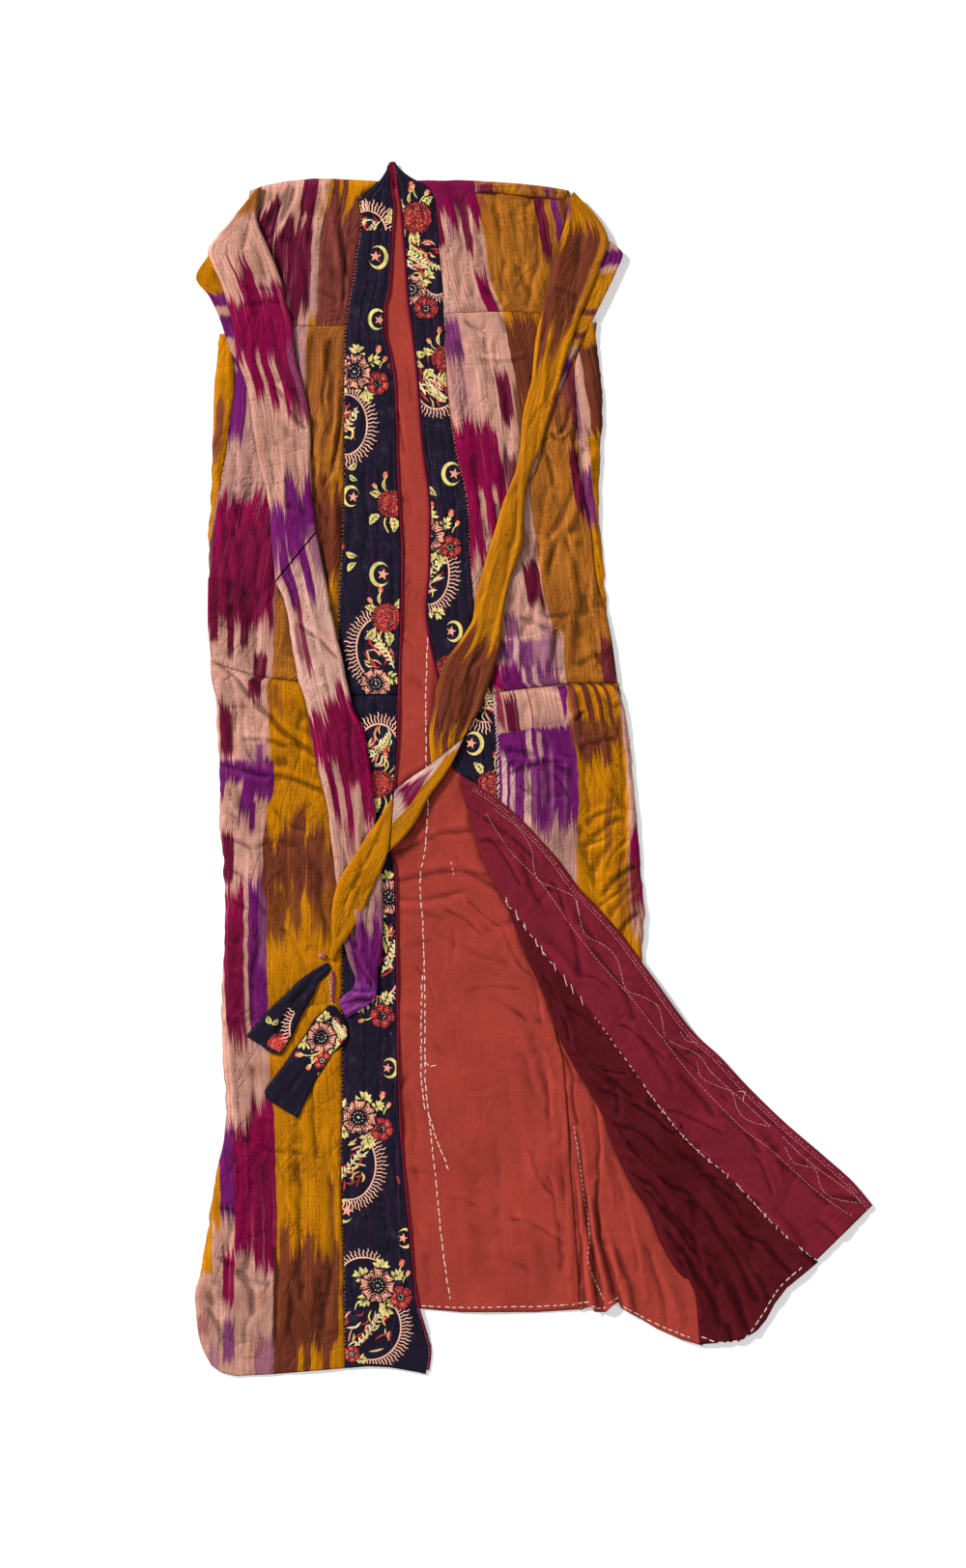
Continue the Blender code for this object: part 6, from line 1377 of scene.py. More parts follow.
def flap():
    rise = 0.0018
    for name, tab, mat, hem, seedn in (("flap_facing", FACING, M_CRIMSON, None, 1),
                                       ("flap_lining", LINING, M_MAROON, LINING_HEM, 2)):
        x, y, s, q = flap_sections(tab, hem)
        base = 0.0054 * side_level(x) + rise + 0.0012
        z = base + flap_relief(x, y)
        if name == "flap_lining":
            d = np.hypot(x - x[:, :1], y - y[:, :1]) * SQ
            low = np.where(y > 1262, rise + 0.0015, 0.0045)
            z = z - rounded(d, 0.009) * (base - np.minimum(low, base))
            dr = np.hypot(x - x[:, -1:], y - y[:, -1:])
            z = z + groove(dr, 0.0009, 2.4) - 0.0007 * creased(x, y, 9, 431) * np.exp(-(dr / 12) ** 2)
            # its seam allowance goes on under the facing
            ex, ey = x[:, -1] - x[:, -2], y[:, -1] - y[:, -2]
            n = np.maximum(np.hypot(ex, ey), 1e-6)
            for far, down in ((1.2, 0.0012), (5.0, 0.0014)):
                x = np.hstack([x, x[:, -1:] + (ex / n * far)[:, None]])
                y = np.hstack([y, y[:, -1:] + (ey / n * far)[:, None]])
                z = np.hstack([z, z[:, -1:] - down * (far < 2)])
            d = np.hstack([d, d[:, -1:], d[:, -1:]])
        else:
            dl, dr = np.hypot(x - x[:, :1], y - y[:, :1]), np.hypot(x - x[:, -1:], y - y[:, -1:])
            on = step01(880, 960, y)
            z = z + groove(dl, 0.0009, 2.4) * on + groove(dr, 0.0008, 1.6)
            for off in (9, 26):       # the two lines of quilting beside the free edge
                z = z + groove(dr - off - 3 * (noise(q, q * 0, 60, 441)[:, None] - 0.5), 0.0006, 1.5)
                z = z - 0.0005 * creased(x, y, 8, 432) * np.exp(-((dr - off) / 9) ** 2)
        z = no_lower(z, 0.0054 * side_level(x) * (z > 0.0052) + 0.0014, 0.0003)
        ob = grid_object(name + "_cloth", x, y, z, (x + y) * 0.7071, (y - x) * 0.7071, mat, rim=0.0020)
        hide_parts(name)
        declare(ob, grid_size(x, y))
    for name, tab, mat, hem in (("flap_band", FACING, M_NAVY, None), ("flap_front", LINING, M_RIGHT_LOWER, LINING_HEM)):
        x, y, s, q = flap_sections(tab, hem)
        far = np.hypot(x - x[:, :1], y - y[:, :1])
        inset = np.clip(1 - far / 24, 0, 1) if name == "flap_front" else 0
        wx, wy = x[:, -1:] - x[:, :1], y[:, -1:] - y[:, :1]
        wn = np.maximum(np.hypot(wx, wy), 1e-6)
        x, y = x + wx / wn * 5.5 * inset, y + wy / wn * 5.5 * inset
        z = 0.0054 * side_level(x) + 0.0005 + 0.0003 * noise(x, y, 12, 450) - 0.0026 * inset ** 2
        u = (x + y) * 0.7071
        if name == "flap_front":
            u = s * 120 - 60 + 0 * x
        ob = grid_object(name + "_cloth", x, y, z, u, (y - x) * 0.7071 + (1000 if name == "flap_front" else 0), mat, rim=0, under=True)
        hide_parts(name)
        declare(ob, grid_size(x, y))


flap()


def strip_shell(name, tab, mat, level, rim=0.0011, relief=None, weave=None, soft=0.0006, n=None):
    x, y, zs, s, q = sections(tab, 1.6, 1.6, n)
    d = np.minimum(np.hypot(x - x[:, :1], y - y[:, :1]), np.hypot(x - x[:, -1:], y - y[:, -1:]))
    z = level + (relief(x, y) if relief is not None else 0) - soft * np.exp(-(d / 2.0) ** 2)
    u, v = (s * 70 + 0 * x, q[:, None] + y[0].mean() + 0 * x) if weave is None else weave(x, y, s, q)
    ob = grid_object(name + "_cloth", x, y, z, u, v, mat, rim=rim)
    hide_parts(name)
    declare(ob, grid_size(x, y))
    return ob


M_LEFT_GUSSET = ikat("ikat_left_gusset", [(-999, MUSTARD)], [
    (-10, 90, 308, 322, PURPLE, 5, 3, 5, 3), (-10, 90, 322, 332, PINK, 5, 2, 5, 2),
    (-10, 90, 332, 400, PURPLE, 5, 3, 10, 3), (-10, 90, 356, 372, PINK, 5, 2, 6, 3)], 14, 0.6)
M_RIGHT_GUSSET = ikat("ikat_right_gusset", [(-999, PINK)], [
    (-10, 90, 262, 276, PURPLE, 5, 3, 5, 3), (-10, 90, 286, 326, MUSTARD, 6, 3, 6, 3),
    (-10, 90, 326, 334, BROWN, 5, 2, 5, 2), (-10, 90, 334, 352, MUSTARD, 5, 2, 5, 2),
    (-10, 90, 352, 361, BROWN, 4, 2, 4, 2), (-10, 90, 361, 366, MUSTARD, 4, 2, 4, 2),
    (-10, 90, 382, 420, PURPLE, 8, 4, 10, 4), (-10, 90, 404, 520, PINK, 14, 4, 10, 4),
    (-10, 90, 420, 470, MAGENTA, 14, 8, 16, 8, 0.8), (-10, 90, 486, 520, BROWN, 12, 4, 16, 4, 0.6)], 15, 0.4)
gusset_relief = lambda x, y: wrinkles(x, y, 131, 0.0008, 0.0008, 0.0003, 0.7, 1.0)
strip_shell("left_sleeve_gusset", LEFT_GUSSET, M_LEFT_GUSSET, UPPER_TOP, relief=gusset_relief)
strip_shell("right_sleeve_gusset", RIGHT_GUSSET, M_RIGHT_GUSSET, UPPER_TOP, relief=gusset_relief)


def tube(name, tab, mat, top_of, relief, node, lean=None, press=0.0024, thin=0.0009, side=0.005,
         bottom_drop=None, end=None):
    """A sleeve pressed flat: closed round, open at both ends."""
    x, y, zs, s, q = sections(tab, 1.7, 1.5)
    if end is not None:
        dx, dy = x[:, -1] - x[:, 0], y[:, -1] - y[:, 0]
        w = np.hypot(dx, dy)
        out = np.interp(s, end["share"], end["out"])
        blend = np.clip((q - q[-1] + 12) / 12, 0, 1)[:, None]
        x, y = x - (dy / w)[:, None] * out * blend, y + (dx / w)[:, None] * out * blend
    w = np.hypot(x[:, -1] - x[:, 0], y[:, -1] - y[:, 0])[:, None]
    # a slight waver of the folded edges
    wav = (noise(q, q * 0, 12, 500 + len(name)) - 0.5)[:, None] * 1.2
    tx, ty = (x[:, -1:] - x[:, :1]) / w, (y[:, -1:] - y[:, :1]) / w
    x, y = x + tx * wav * np.abs(2 * s - 1), y + ty * wav * np.abs(2 * s - 1)
    d = np.minimum(s, 1 - s) * w * SQ
    low = zs[:, None] + 0 * x
    top = low + press
    sink = rounded(d, np.minimum(side, w * SQ * 0.4))
    drop = bottom_drop(x, y) if bottom_drop is not None else 0
    mid = low + thin - drop
    zt = top - sink * (top - mid) + relief(x, y) * (1 - 0.7 * sink)
    # the underside: two halves that meet at the sleeve's seam
    nb = max(4, x.shape[1] // 5)

    def under(sb, raise_by):
        xb = x[:, :1] + (x[:, -1:] - x[:, :1]) * sb
        yb = y[:, :1] + (y[:, -1:] - y[:, :1]) * sb
        db = np.minimum(sb, 1 - sb) * w * SQ
        zb = low[:, :1] + 0 * xb - (bottom_drop(xb, yb) if bottom_drop is not None else 0) + 0.0002
        zb = zb + rounded(db, np.minimum(side, w * SQ * 0.4)) * (thin - 0.0002) * 0.8 + raise_by
        return xb, yb, zb
    sl, sr = np.linspace(0.52, 0, nb + 1)[:-1], np.linspace(1, 0.48, nb + 1)[1:]
    xl, yl, zl = under(sl, 0.0)
    xr, yr, zr = under(sr, 0.0003)
    v = tab_mid(tab, q)[:, None] + 0 * x
    u = s * 70 + 0 * x
    ul, ur = -sl * 70 + 0 * xl, 140 - sr * 70 + 0 * xr
    v1 = v[:, :1]
    ob = grid_object(name, np.hstack([xl, x, xr]), np.hstack([yl, y, yr]),
                     np.maximum(np.hstack([zl, zt, zr]), 0.0004), np.hstack([ul, u, ur]),
                     np.hstack([v1 + 0 * xl, v, v1 + 0 * xr]), mat, rim=0)
    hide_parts(node)
    size = grid_size(x, y)
    declare(ob, (size[0] * 2, size[1], size[2] * 2))
    return ob


def tab_mid(tab, q):
    mx, my = (tab["lx"] + tab["rx"]) / 2, (tab["ly"] + tab["ry"]) / 2
    run = np.concatenate([[0], np.cumsum(np.maximum(np.hypot(np.diff(mx), np.diff(my)), 1.5))])
    return smooth(run, my, q)


def off_body(x, y):
    """How far a sleeve's underside sinks: a little on the body, more beside it."""
    left = step01(236, 214, x) * (y < 345)
    right = step01(612, 640, x) * (y < 345)
    return 0.0010 + 0.0042 * np.maximum(left, right)


def sleeve_relief(tab, seed, amount=1.0):
    return lambda x, y: (folds(x, y, tab) * 1.5 + folds(x, y, STREWN_SLEEVE) + folds(x, y, STREWN_SLEEVE_R)
                         + wrinkles(x, y, seed, 0.0022, 0.0014, 0.0001, 2.0, 6.0, 0.5, 0.00006, 0.0002)) * amount


tube("left_sleeve_lower_cloth", LEFT_SLEEVE_LOW, M_LEFT_SLEEVE, None, sleeve_relief(LEFT_SLEEVE_CREASES, 151),
     "left_sleeve_lower", bottom_drop=lambda x, y: 0.0012 + 0 * x)
tube("left_sleeve_upper_cloth", LEFT_SLEEVE_TOP, M_LEFT_SLEEVE, None, sleeve_relief(LEFT_SLEEVE_CREASES, 152),
     "left_sleeve_upper", bottom_drop=off_body)
tube("right_sleeve_upper_cloth", RIGHT_SLEEVE_TOP, M_RIGHT_SLEEVE, None, sleeve_relief(RIGHT_SLEEVE_CREASES, 153),
     "right_sleeve_upper", bottom_drop=off_body)
tube("right_sleeve_twist_cloth", RIGHT_SLEEVE_TWIST, M_TWIST, None, sleeve_relief(LOWER_SLEEVE_CREASES, 154),
     "right_sleeve_twist")
tube("right_sleeve_lower_cloth", RIGHT_SLEEVE_LOW, M_RIGHT_SLEEVE, None, sleeve_relief(LOWER_SLEEVE_CREASES, 155),
     "right_sleeve_lower")


def cuff(name, tab, end=None):
    t = dict(tab)
    t["z"] = np.full(len(tab["lx"]), 0.0054)
    tube(name + "_cloth", t, M_NAVY, None, sleeve_relief(CUFF_CREASES, 156), name, press=0.0026, end=end)


cuff("right_cuff", RIGHT_CUFF, CUFF_END)
cuff("left_cuff", LEFT_CUFF)


def shoulder():
    """The shoulder's top, rolled forward over the front: lumpy, pinched in two places."""
    x, y, zs, s, q = sections(SHOULDER, 1.0, 0.8)
    wave = (noise(q, q * 0, 15, 171) - 0.5)[:, None] * 2.2
    y = y + wave * (0.3 + 0.7 * s)
    roll = np.sqrt(np.maximum(1 - (2 * s - 1) ** 2, 0))
    full = (0.55 + 0.6 * noise(q, q * 0, 13, 172))[:, None]
    ends = step01(-1, 8, np.minimum(q, q[-1] - q))[:, None]
    z = 0.0048 + 0.0040 * roll * full * (0.35 + 0.65 * ends)
    for at, half, high, slant in ((22, 2.2, -0.0016, 6), (25.5, 2.0, 0.0010, 6), (44, 2.4, -0.0012, -7), (60, 2.0, -0.0014, 8), (74, 2.4, -0.0013, 6),
                                  (84, 2.0, -0.0010, -5)):
        z = z + high * np.exp(-((q[:, None] - at - slant * (s - 0.5)) / half) ** 2) * roll
    z = z - 0.0010 * np.exp(-((s - 0.34 - 0.12 * np.sin(q[:, None] / 11)) / 0.07) ** 2) * ends
    z = np.maximum(z + 0.0005 * (noise(x, y, 5, 170) - 0.5), 0.0036)
    M = ikat("ikat_shoulder", [(-999, OCHRE)], [
        (-4, 3, -20, 60, PINK, 4, 0, 4, 0, 0.7), (1, 7, -20, 60, PURPLE, 4, 0, 4, 0, 0.8), (5, 18, -20, 60, PLUM, 4, 0, 4, 0, 0.9),
        (30, 42, -20, 60, MUSTARD, 4, 0, 4, 0, 0.7), (58, 64, -20, 60, BROWN, 4, 0, 4, 0, 0.6), (72, 77, -20, 60, PURPLE, 4, 0, 4, 0, 0.9),
        (78, 84, -20, 60, BROWN, 4, 0, 4, 0, 0.7)], 16, 0.5)
    ob = grid_object("right_shoulder_fold_cloth", x, y, z, q[:, None] + 0 * x, s * 12 + 0 * x, M, rim=0.0014)
    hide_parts("right_shoulder_fold")
    declare(ob, grid_size(x, y), ease=1.16)

shoulder()

# ------------------------------------------------------------------ print and stitches laid on cloth
def tree_of(*names):
    """Ray-cast tree over the upper side of pieces already made."""
    vs, fs, base = [], [], 0
    for n in names:
        me = MADE[n].data
        co = np.empty(len(me.vertices) * 3)
        me.vertices.foreach_get("co", co)
        vs += [tuple(p) for p in co.reshape(-1, 3)]
        fs += [tuple(base + i for i in p.vertices) for p in me.polygons]
        base = len(vs)
    return BVHTree.FromPolygons(vs, fs)


def levels(tree, xy, miss=0.0045):
    """Height of the cloth under plan points."""
    out = np.empty(len(xy))
    for i, (x, y) in enumerate(xy):
        hit = tree.ray_cast(((x - PLAN_X) * SQ, (PLAN_Y - y) * SQ, 0.08), (0, 0, -1))
        out[i] = hit[0].z if hit[0] is not None else miss
    return out


def fine(tri, longest=2.2):
    """Splits plan triangles (n, 3, 2) until no side is longer than `longest` squares."""
    for _ in range(12):
        side = np.linalg.norm(tri - np.roll(tri, -1, axis=1), axis=2)
        k = side.argmax(axis=1)
        big = side[np.arange(len(tri)), k] > longest
        if not big.any():
            break
        t, k = tri[big], k[big]
        i = np.arange(len(t))
        a, b, c = t[i, k], t[i, (k + 1) % 3], t[i, (k + 2) % 3]
        m = (a + b) / 2
        tri = np.concatenate([tri[~big], np.stack([a, m, c], 1), np.stack([m, b, c], 1)])
    return tri


def cut(tri, inside):
    """Keeps the part of each plan triangle where inside(x, y) is above zero."""
    d = inside(tri[..., 0], tri[..., 1])
    out = [tri[(d >= 0).all(axis=1)]]
    for t, e in zip(tri[(d >= 0).any(axis=1) & (d < 0).any(axis=1)],
                    d[(d >= 0).any(axis=1) & (d < 0).any(axis=1)]):
        poly = []
        for i in range(3):
            p, q, dp, dq = t[i], t[(i + 1) % 3], e[i], e[(i + 1) % 3]
            if dp >= 0:
                poly.append(p)
            if (dp >= 0) != (dq >= 0):
                poly.append(p + (q - p) * dp / (dp - dq))
        out.append(np.array([[poly[0], poly[i], poly[i + 1]] for i in range(1, len(poly) - 1)]))
    return np.concatenate([o for o in out if len(o)]) if any(len(o) for o in out) else np.zeros((0, 3, 2))


class Print:
    """Motifs in plan squares: outlines with a colour number, later ones on top."""

    def __init__(self, seed):
        self.parts, self.r = [], np.random.RandomState(seed)

    def shape(self, pts, colour):
        self.parts.append((np.array(pts, float), colour))

    def blob(self, x, y, rx, ry, turn, colour, n=14, wave=0.06):
        a = np.linspace(0, 2 * math.pi, n, endpoint=False)
        r = 1 + wave * np.sin(a * 3 + self.r.rand() * 6) + wave * 0.6 * (self.r.rand(n) - 0.5)
        px, py = rx * r * np.cos(a), ry * r * np.sin(a)
        c, s = math.cos(turn), math.sin(turn)
        self.shape(np.stack([x + px * c - py * s, y + px * s + py * c], 1), colour)

    def petal(self, x, y, long, wide, turn, colour, notch=0.0, start=0.0):
        """A petal from its root outwards, its tip notched by a share of its length."""
        t = np.linspace(0, 1, 7)
        half = wide / 2 * np.sin(np.pi * (0.12 + 0.80 * t)) ** 0.8
        along = start + (long - start) * t
        top = np.stack([along, half], 1)
        tip = [(long * (1 + 0.06), half[-1] * 0.55), (long * (1 - notch), 0), (long * (1 + 0.06), -half[-1] * 0.55)]
        pts = np.concatenate([top, tip, np.stack([along, -half], 1)[::-1]])
        c, s = math.cos(turn), math.sin(turn)
        self.shape(np.stack([x + pts[:, 0] * c - pts[:, 1] * s, y + pts[:, 0] * s + pts[:, 1] * c], 1), colour)

    def stroke(self, pts, wide, colour, taper=1.0):
        """A brush line through points, thinner towards its ends."""
        p = np.array(pts, float)
        run = np.concatenate([[0], np.cumsum(np.linalg.norm(np.diff(p, axis=0), axis=1))])
        q = np.linspace(0, run[-1], max(4, int(run[-1] / 2.2) + 1))
        p = np.stack([smooth(run, p[:, k], q) for k in (0, 1)], 1)
        d = np.gradient(p, axis=0)
        d /= np.maximum(np.linalg.norm(d, axis=1)[:, None], 1e-6)
        n = np.stack([-d[:, 1], d[:, 0]], 1)
        t = q / run[-1]
        w = wide / 2 * (1 - taper * np.abs(2 * t - 1) ** 2.5)[:, None] + 0.10
        self.shape(np.concatenate([p + n * w, (p - n * w)[::-1]]), colour)

    def leaf(self, x, y, long, wide, turn, colour=3, vein=True, teeth=0.0):
        t = np.linspace(0, 1, 9)
        half = wide / 2 * np.sin(np.pi * t ** 0.85) ** 0.9
        half[1:-1] *= 1 + teeth * np.array([1, -1, 1, -1, 1, -1, 1])
        bend = 0.14 * long * np.sin(np.pi * t) * (1 if self.r.rand() > 0.5 else -1)
        up = np.stack([t * long, bend + half], 1)
        dn = np.stack([t * long, bend - half], 1)[::-1]
        pts = np.concatenate([up, dn[1:-1]])
        c, s = math.cos(turn), math.sin(turn)

        def place(p):
            return np.stack([x + p[:, 0] * c - p[:, 1] * s, y + p[:, 0] * s + p[:, 1] * c], 1)
        self.shape(place(pts), colour)
        if vein:
            mid = np.stack([t * long, bend], 1)
            self.stroke(place(mid[1:]), 0.9, 0)
            for k in (2, 4, 6):
                for sgn in (1, -1):
                    e = np.array([[t[k] * long, bend[k]], [t[k] * long + 0.13 * long, bend[k] + sgn * half[k] * 0.8]])
                    self.stroke(place(e), 0.55, 0)

    def frill(self, x, y, long, wide, turn, colour, teeth=3, deep=0.16, start=0.0):
        """A petal with a saw-toothed tip, as a carnation has."""
        t = np.linspace(0, 0.86, 6)
        half = wide / 2 * (0.16 + 0.84 * (t / 0.86) ** 0.75)
        tip = []
        for k in range(2 * teeth + 1):
            q = 1 - 2 * k / (2 * teeth)
            tip.append((long * (0.90 + 0.10 * (1 - q * q) + (0 if k % 2 else deep * 0.5) - (deep * 0.5 if k % 2 else 0)),
                        wide / 2 * q))
        pts = np.array([(start + (long - start) * a, h) for a, h in zip(t, half)] + tip
                       + [(start + (long - start) * a, -h) for a, h in zip(t[::-1], half[::-1])])
        c, s = math.cos(turn), math.sin(turn)
        self.shape(np.stack([x + pts[:, 0] * c - pts[:, 1] * s, y + pts[:, 0] * s + pts[:, 1] * c], 1), colour)

    def rose(self, x, y, r, turn=0.0):
        """A full carnation: rings of toothed petals, each ring smaller."""
        for ring, (rad, n, col) in enumerate(((1.10, 8, 1), (0.78, 6, 5), (0.50, 5, 1), (0.26, 3, 5))):
            for k in range(n):
                a = turn + ring * 0.41 + 2 * math.pi * k / n + 0.15 * self.r.rand()
                self.frill(x, y, r * rad * 1.05, r * rad * (0.92 if ring else 0.84), a, 0)
                self.frill(x, y, r * rad * 0.97, r * rad * (0.80 if ring else 0.70), a, col)
                if ring < 1:
                    self.stroke([(x + r * rad * 0.45 * math.cos(a), y + r * rad * 0.45 * math.sin(a)),
                                 (x + r * rad * 0.80 * math.cos(a), y + r * rad * 0.80 * math.sin(a))], 0.7, 0, 0.4)
        self.blob(x, y, r * 0.10, r * 0.10, 0, 0)

    def daisy(self, x, y, r, turn=0.0, petals=8, colour=2, inner=4):
        r = r * 1.14
        for k in range(petals):
            a = turn + 2 * math.pi * k / petals
            L = r * (0.98 + 0.10 * self.r.rand())
            self.frill(x, y, L * 1.10, r * 0.84, a, 0, 1, 0.10)
            self.frill(x, y, L, r * 0.62, a, colour, 1, 0.20)
            self.stroke([(x + r * 0.66 * math.cos(a), y + r * 0.66 * math.sin(a)),
                         (x + r * 0.90 * math.cos(a), y + r * 0.90 * math.sin(a))], 0.7, inner, 0.7)
        for k in range(3 * petals):
            a = turn + 2 * math.pi * (k + 0.5) / (3 * petals)
            e = (0.68, 0.80, 0.68)[k % 3]
            self.stroke([(x, y), (x + r * e * math.cos(a), y + r * e * math.sin(a))], 1.2, 0, 0.2)
        self.blob(x, y, r * 0.49, r * 0.48, 0, 0)
        for k in range(10):
            a = turn + 2 * math.pi * k / 10
            self.blob(x + r * 0.30 * math.cos(a), y + r * 0.30 * math.sin(a), 0.66, 0.66, 0, 4, 6)
        self.blob(x, y, r * 0.09, r * 0.09, 0, 4, 8)

    def poppy(self, x, y, r, turn=0.0, petals=6):
        for k in range(petals):
            a = turn + 2 * math.pi * k / petals
            self.frill(x, y, r * 1.10, r * 1.00, a, 0, 3, 0.12)
            self.frill(x, y, r * 1.02, r * 0.80, a, 1, 3, 0.16)
            for off in (-0.20, 0.0, 0.20):
                self.stroke([(x + r * 0.36 * math.cos(a + off), y + r * 0.36 * math.sin(a + off)),
                             (x + r * 0.78 * math.cos(a + off), y + r * 0.78 * math.sin(a + off))], 0.7, 5 if off else 2, 0.5)
        for k in range(12):
            a = turn + 2 * math.pi * k / 12
            self.stroke([(x, y), (x + r * 0.56 * math.cos(a), y + r * 0.56 * math.sin(a))], 1.2, 0, 0.3)
        self.blob(x, y, r * 0.36, r * 0.34, 0, 0)
        for k in range(7):
            a = turn + 2 * math.pi * k / 7
            self.blob(x + r * 0.21 * math.cos(a), y + r * 0.21 * math.sin(a), 0.6, 0.6, 0, 4, 6)

    def lobed(self, x, y, long, wide, turn, colour=3):
        """A cut leaf: pointed lobes in pairs along a midrib, and one at the tip."""
        c, s = math.cos(turn), math.sin(turn)
        bend = 0.10 * (1 if self.r.rand() > 0.5 else -1)

        def rib(q):
            b = bend * long * math.sin(math.pi * q)
            return x + q * long * c - b * s, y + q * long * s + b * c
        lobes = [(q, g * lean, size) for q, lean, size in ((0.06, 1.25, 0.60), (0.28, 1.0, 0.74), (0.50, 0.72, 0.62)) for g in (1, -1)]
        for q, lean, size in lobes + [(0.46, 0.0, 0.86)]:
            bx, by = rib(q)
            L = wide * size * (0.9 + 0.2 * self.r.rand())
            self.leaf(bx, by, L * 1.14 if lean else long * 0.56, wide * 0.37, turn + lean, colour, vein=False)
        for q, lean, size in lobes:
            bx, by = rib(q)
            L, a = wide * size * 0.62, turn + lean
            self.stroke([(bx, by), (bx + L * math.cos(a), by + L * math.sin(a))], 0.55, 0, 0.7)
        self.stroke([rib(q) for q in (0.0, 0.25, 0.5, 0.82)], 0.85, 0, 0.5)

    def thicket(self, x, y, rx, ry, lean):
        """Reeds and flames of brush strokes round one feathered branch."""
        for k in range(30):
            a, q = self.r.rand() * 2 * math.pi, math.sqrt(self.r.rand()) * 0.92
            cx, cy = x + rx * q * math.cos(a), y + ry * q * math.sin(a)
            t, L = lean + (self.r.rand() - 0.5) * 1.5, 7 + 10 * self.r.rand()
            b = (self.r.rand() - 0.5) * 0.6 * L
            c, s = math.cos(t), math.sin(t)
            self.stroke([(cx - L / 2 * c, cy - L / 2 * s), (cx - b * s, cy + b * c), (cx + L / 2 * c, cy + L / 2 * s)],
                        1.1 + 1.1 * self.r.rand(), (1, 3, 1, 4, 2)[k % 5], 0.95)
        c, s = math.cos(lean), math.sin(lean)
        L = ry * 0.92
        stem = [(x - L * c, y - L * s), (x - 0.3 * L * c - 4 * s, y - 0.3 * L * s + 4 * c), (x + 0.4 * L * c - 2 * s, y + 0.4 * L * s + 2 * c),
                (x + L * c, y + L * s)]
        self.stroke(stem, 3.4, 0, 0.6)
        self.stroke(stem, 2.0, 4, 0.6)
        for k in range(9):
            q = -0.8 + 1.6 * k / 8
            bx, by = x + q * L * c - 3.2 * s * math.cos(q * 1.4), y + q * L * s + 3.2 * c * math.cos(q * 1.4)
            for g in (1, -1):
                self.petal(bx, by, 5.6 - 2.4 * abs(q), 2.1, lean + g * 0.95, 3 if g > 0 else 4, 0.0)

    def bud(self, x, y, long, turn, colour=1):
        c, s = math.cos(turn), math.sin(turn)
        self.stroke([(x - c * long * 1.3, y - s * long * 1.3), (x - c * long * 0.6 + s, y - s * long * 0.6 - c), (x, y)], 1.0, 3, 0.4)
        for off, col in ((-0.28, colour), (0.28, colour), (0, 2)):
            self.petal(x, y, long, long * 0.42, turn + off, col, 0.0)
        for off in (-0.55, 0.55):
            self.petal(x, y, long * 0.55, long * 0.24, turn + off, 3, 0.0)

    def moon(self, x, y, r, turn, star_turn=0.2):
        a = np.linspace(0.55, 2 * math.pi - 0.55, 26) + turn
        outer = np.stack([x + r * np.cos(a), y + r * 1.24 * np.sin(a)], 1)
        off = r * 0.24
        ix, iy = x + off * math.cos(turn), y + off * math.sin(turn)
        b = np.linspace(2 * math.pi - 0.72, 0.72, 26) + turn
        inner = np.stack([ix + r * 0.84 * np.cos(b), iy + r * 0.98 * np.sin(b)], 1)
        self.shape(np.concatenate([outer, inner]), 3)
        self.star(ix + r * 0.10 * math.cos(turn), iy + r * 0.10 * math.sin(turn), r * 0.60, star_turn)

    def star(self, x, y, r, turn):
        a = turn - math.pi / 2 + np.arange(10) * math.pi / 5
        rr = np.where(np.arange(10) % 2 == 0, r, r * 0.42)
        self.shape(np.stack([x + rr * np.cos(a), y + rr * np.sin(a)], 1), 2)

    def rays(self, x, y, rx, ry, a0, a1, n, long, colour=6):
        """A fan of thin wavy rays standing on an arc, all waving the same way."""
        arc = np.linspace(a0, a1, 40)
        run = float(np.sum(np.hypot(np.diff(rx * np.cos(arc)), np.diff(ry * np.sin(arc)))))
        n = max(4, int(run / 2.8))
        self.stroke(np.stack([x + rx * np.cos(arc), y + ry * np.sin(arc)], 1), 1.25, colour, 0.5)
        for k, a in enumerate(np.linspace(a0, a1, n)):
            L = long * (0.82 + 0.16 * (k % 2) + 0.10 * self.r.rand())
            c, s = math.cos(a), math.sin(a)
            w = 0.85
            self.stroke([(x + rx * c, y + ry * s), (x + (rx + L * 0.25) * c - w * s, y + (ry + L * 0.25) * s + w * c),
                         (x + (rx + L * 0.5) * c + w * 0.6 * s, y + (ry + L * 0.5) * s - w * 0.6 * c),
                         (x + (rx + L * 0.75) * c - w * s, y + (ry + L * 0.75) * s + w * c),
                         (x + (rx + L) * c, y + (ry + L) * s)], 0.98, colour, 0.5)

    def spray(self, x, y, r, turn, n=7, colours=(3, 1, 3, 4, 1, 3, 3)):
        """Blades of grass and small strokes opening from one point."""
        for k in range(n):
            a = turn + (k / (n - 1) - 0.5) * 1.9
            L = r * (0.7 + 0.35 * self.r.rand())
            c, s = math.cos(a), math.sin(a)
            b = 0.22 * L * (1 if k % 2 else -1)
            self.stroke([(x, y), (x + 0.5 * L * c - b * s, y + 0.5 * L * s + b * c), (x + L * c, y + L * s)],
                        1.5 + 0.9 * (k % 3 == 0), colours[k % len(colours)], 0.85)
            if k % 2 == 0:
                for m in (0.5, 0.7, 0.88):
                    self.stroke([(x + m * L * c, y + m * L * s),
                                 (x + m * L * c - 2.6 * s - 1.4 * c, y + m * L * s + 2.6 * c - 1.4 * s)], 0.9,
                                colours[(k + 1) % len(colours)], 0.8)

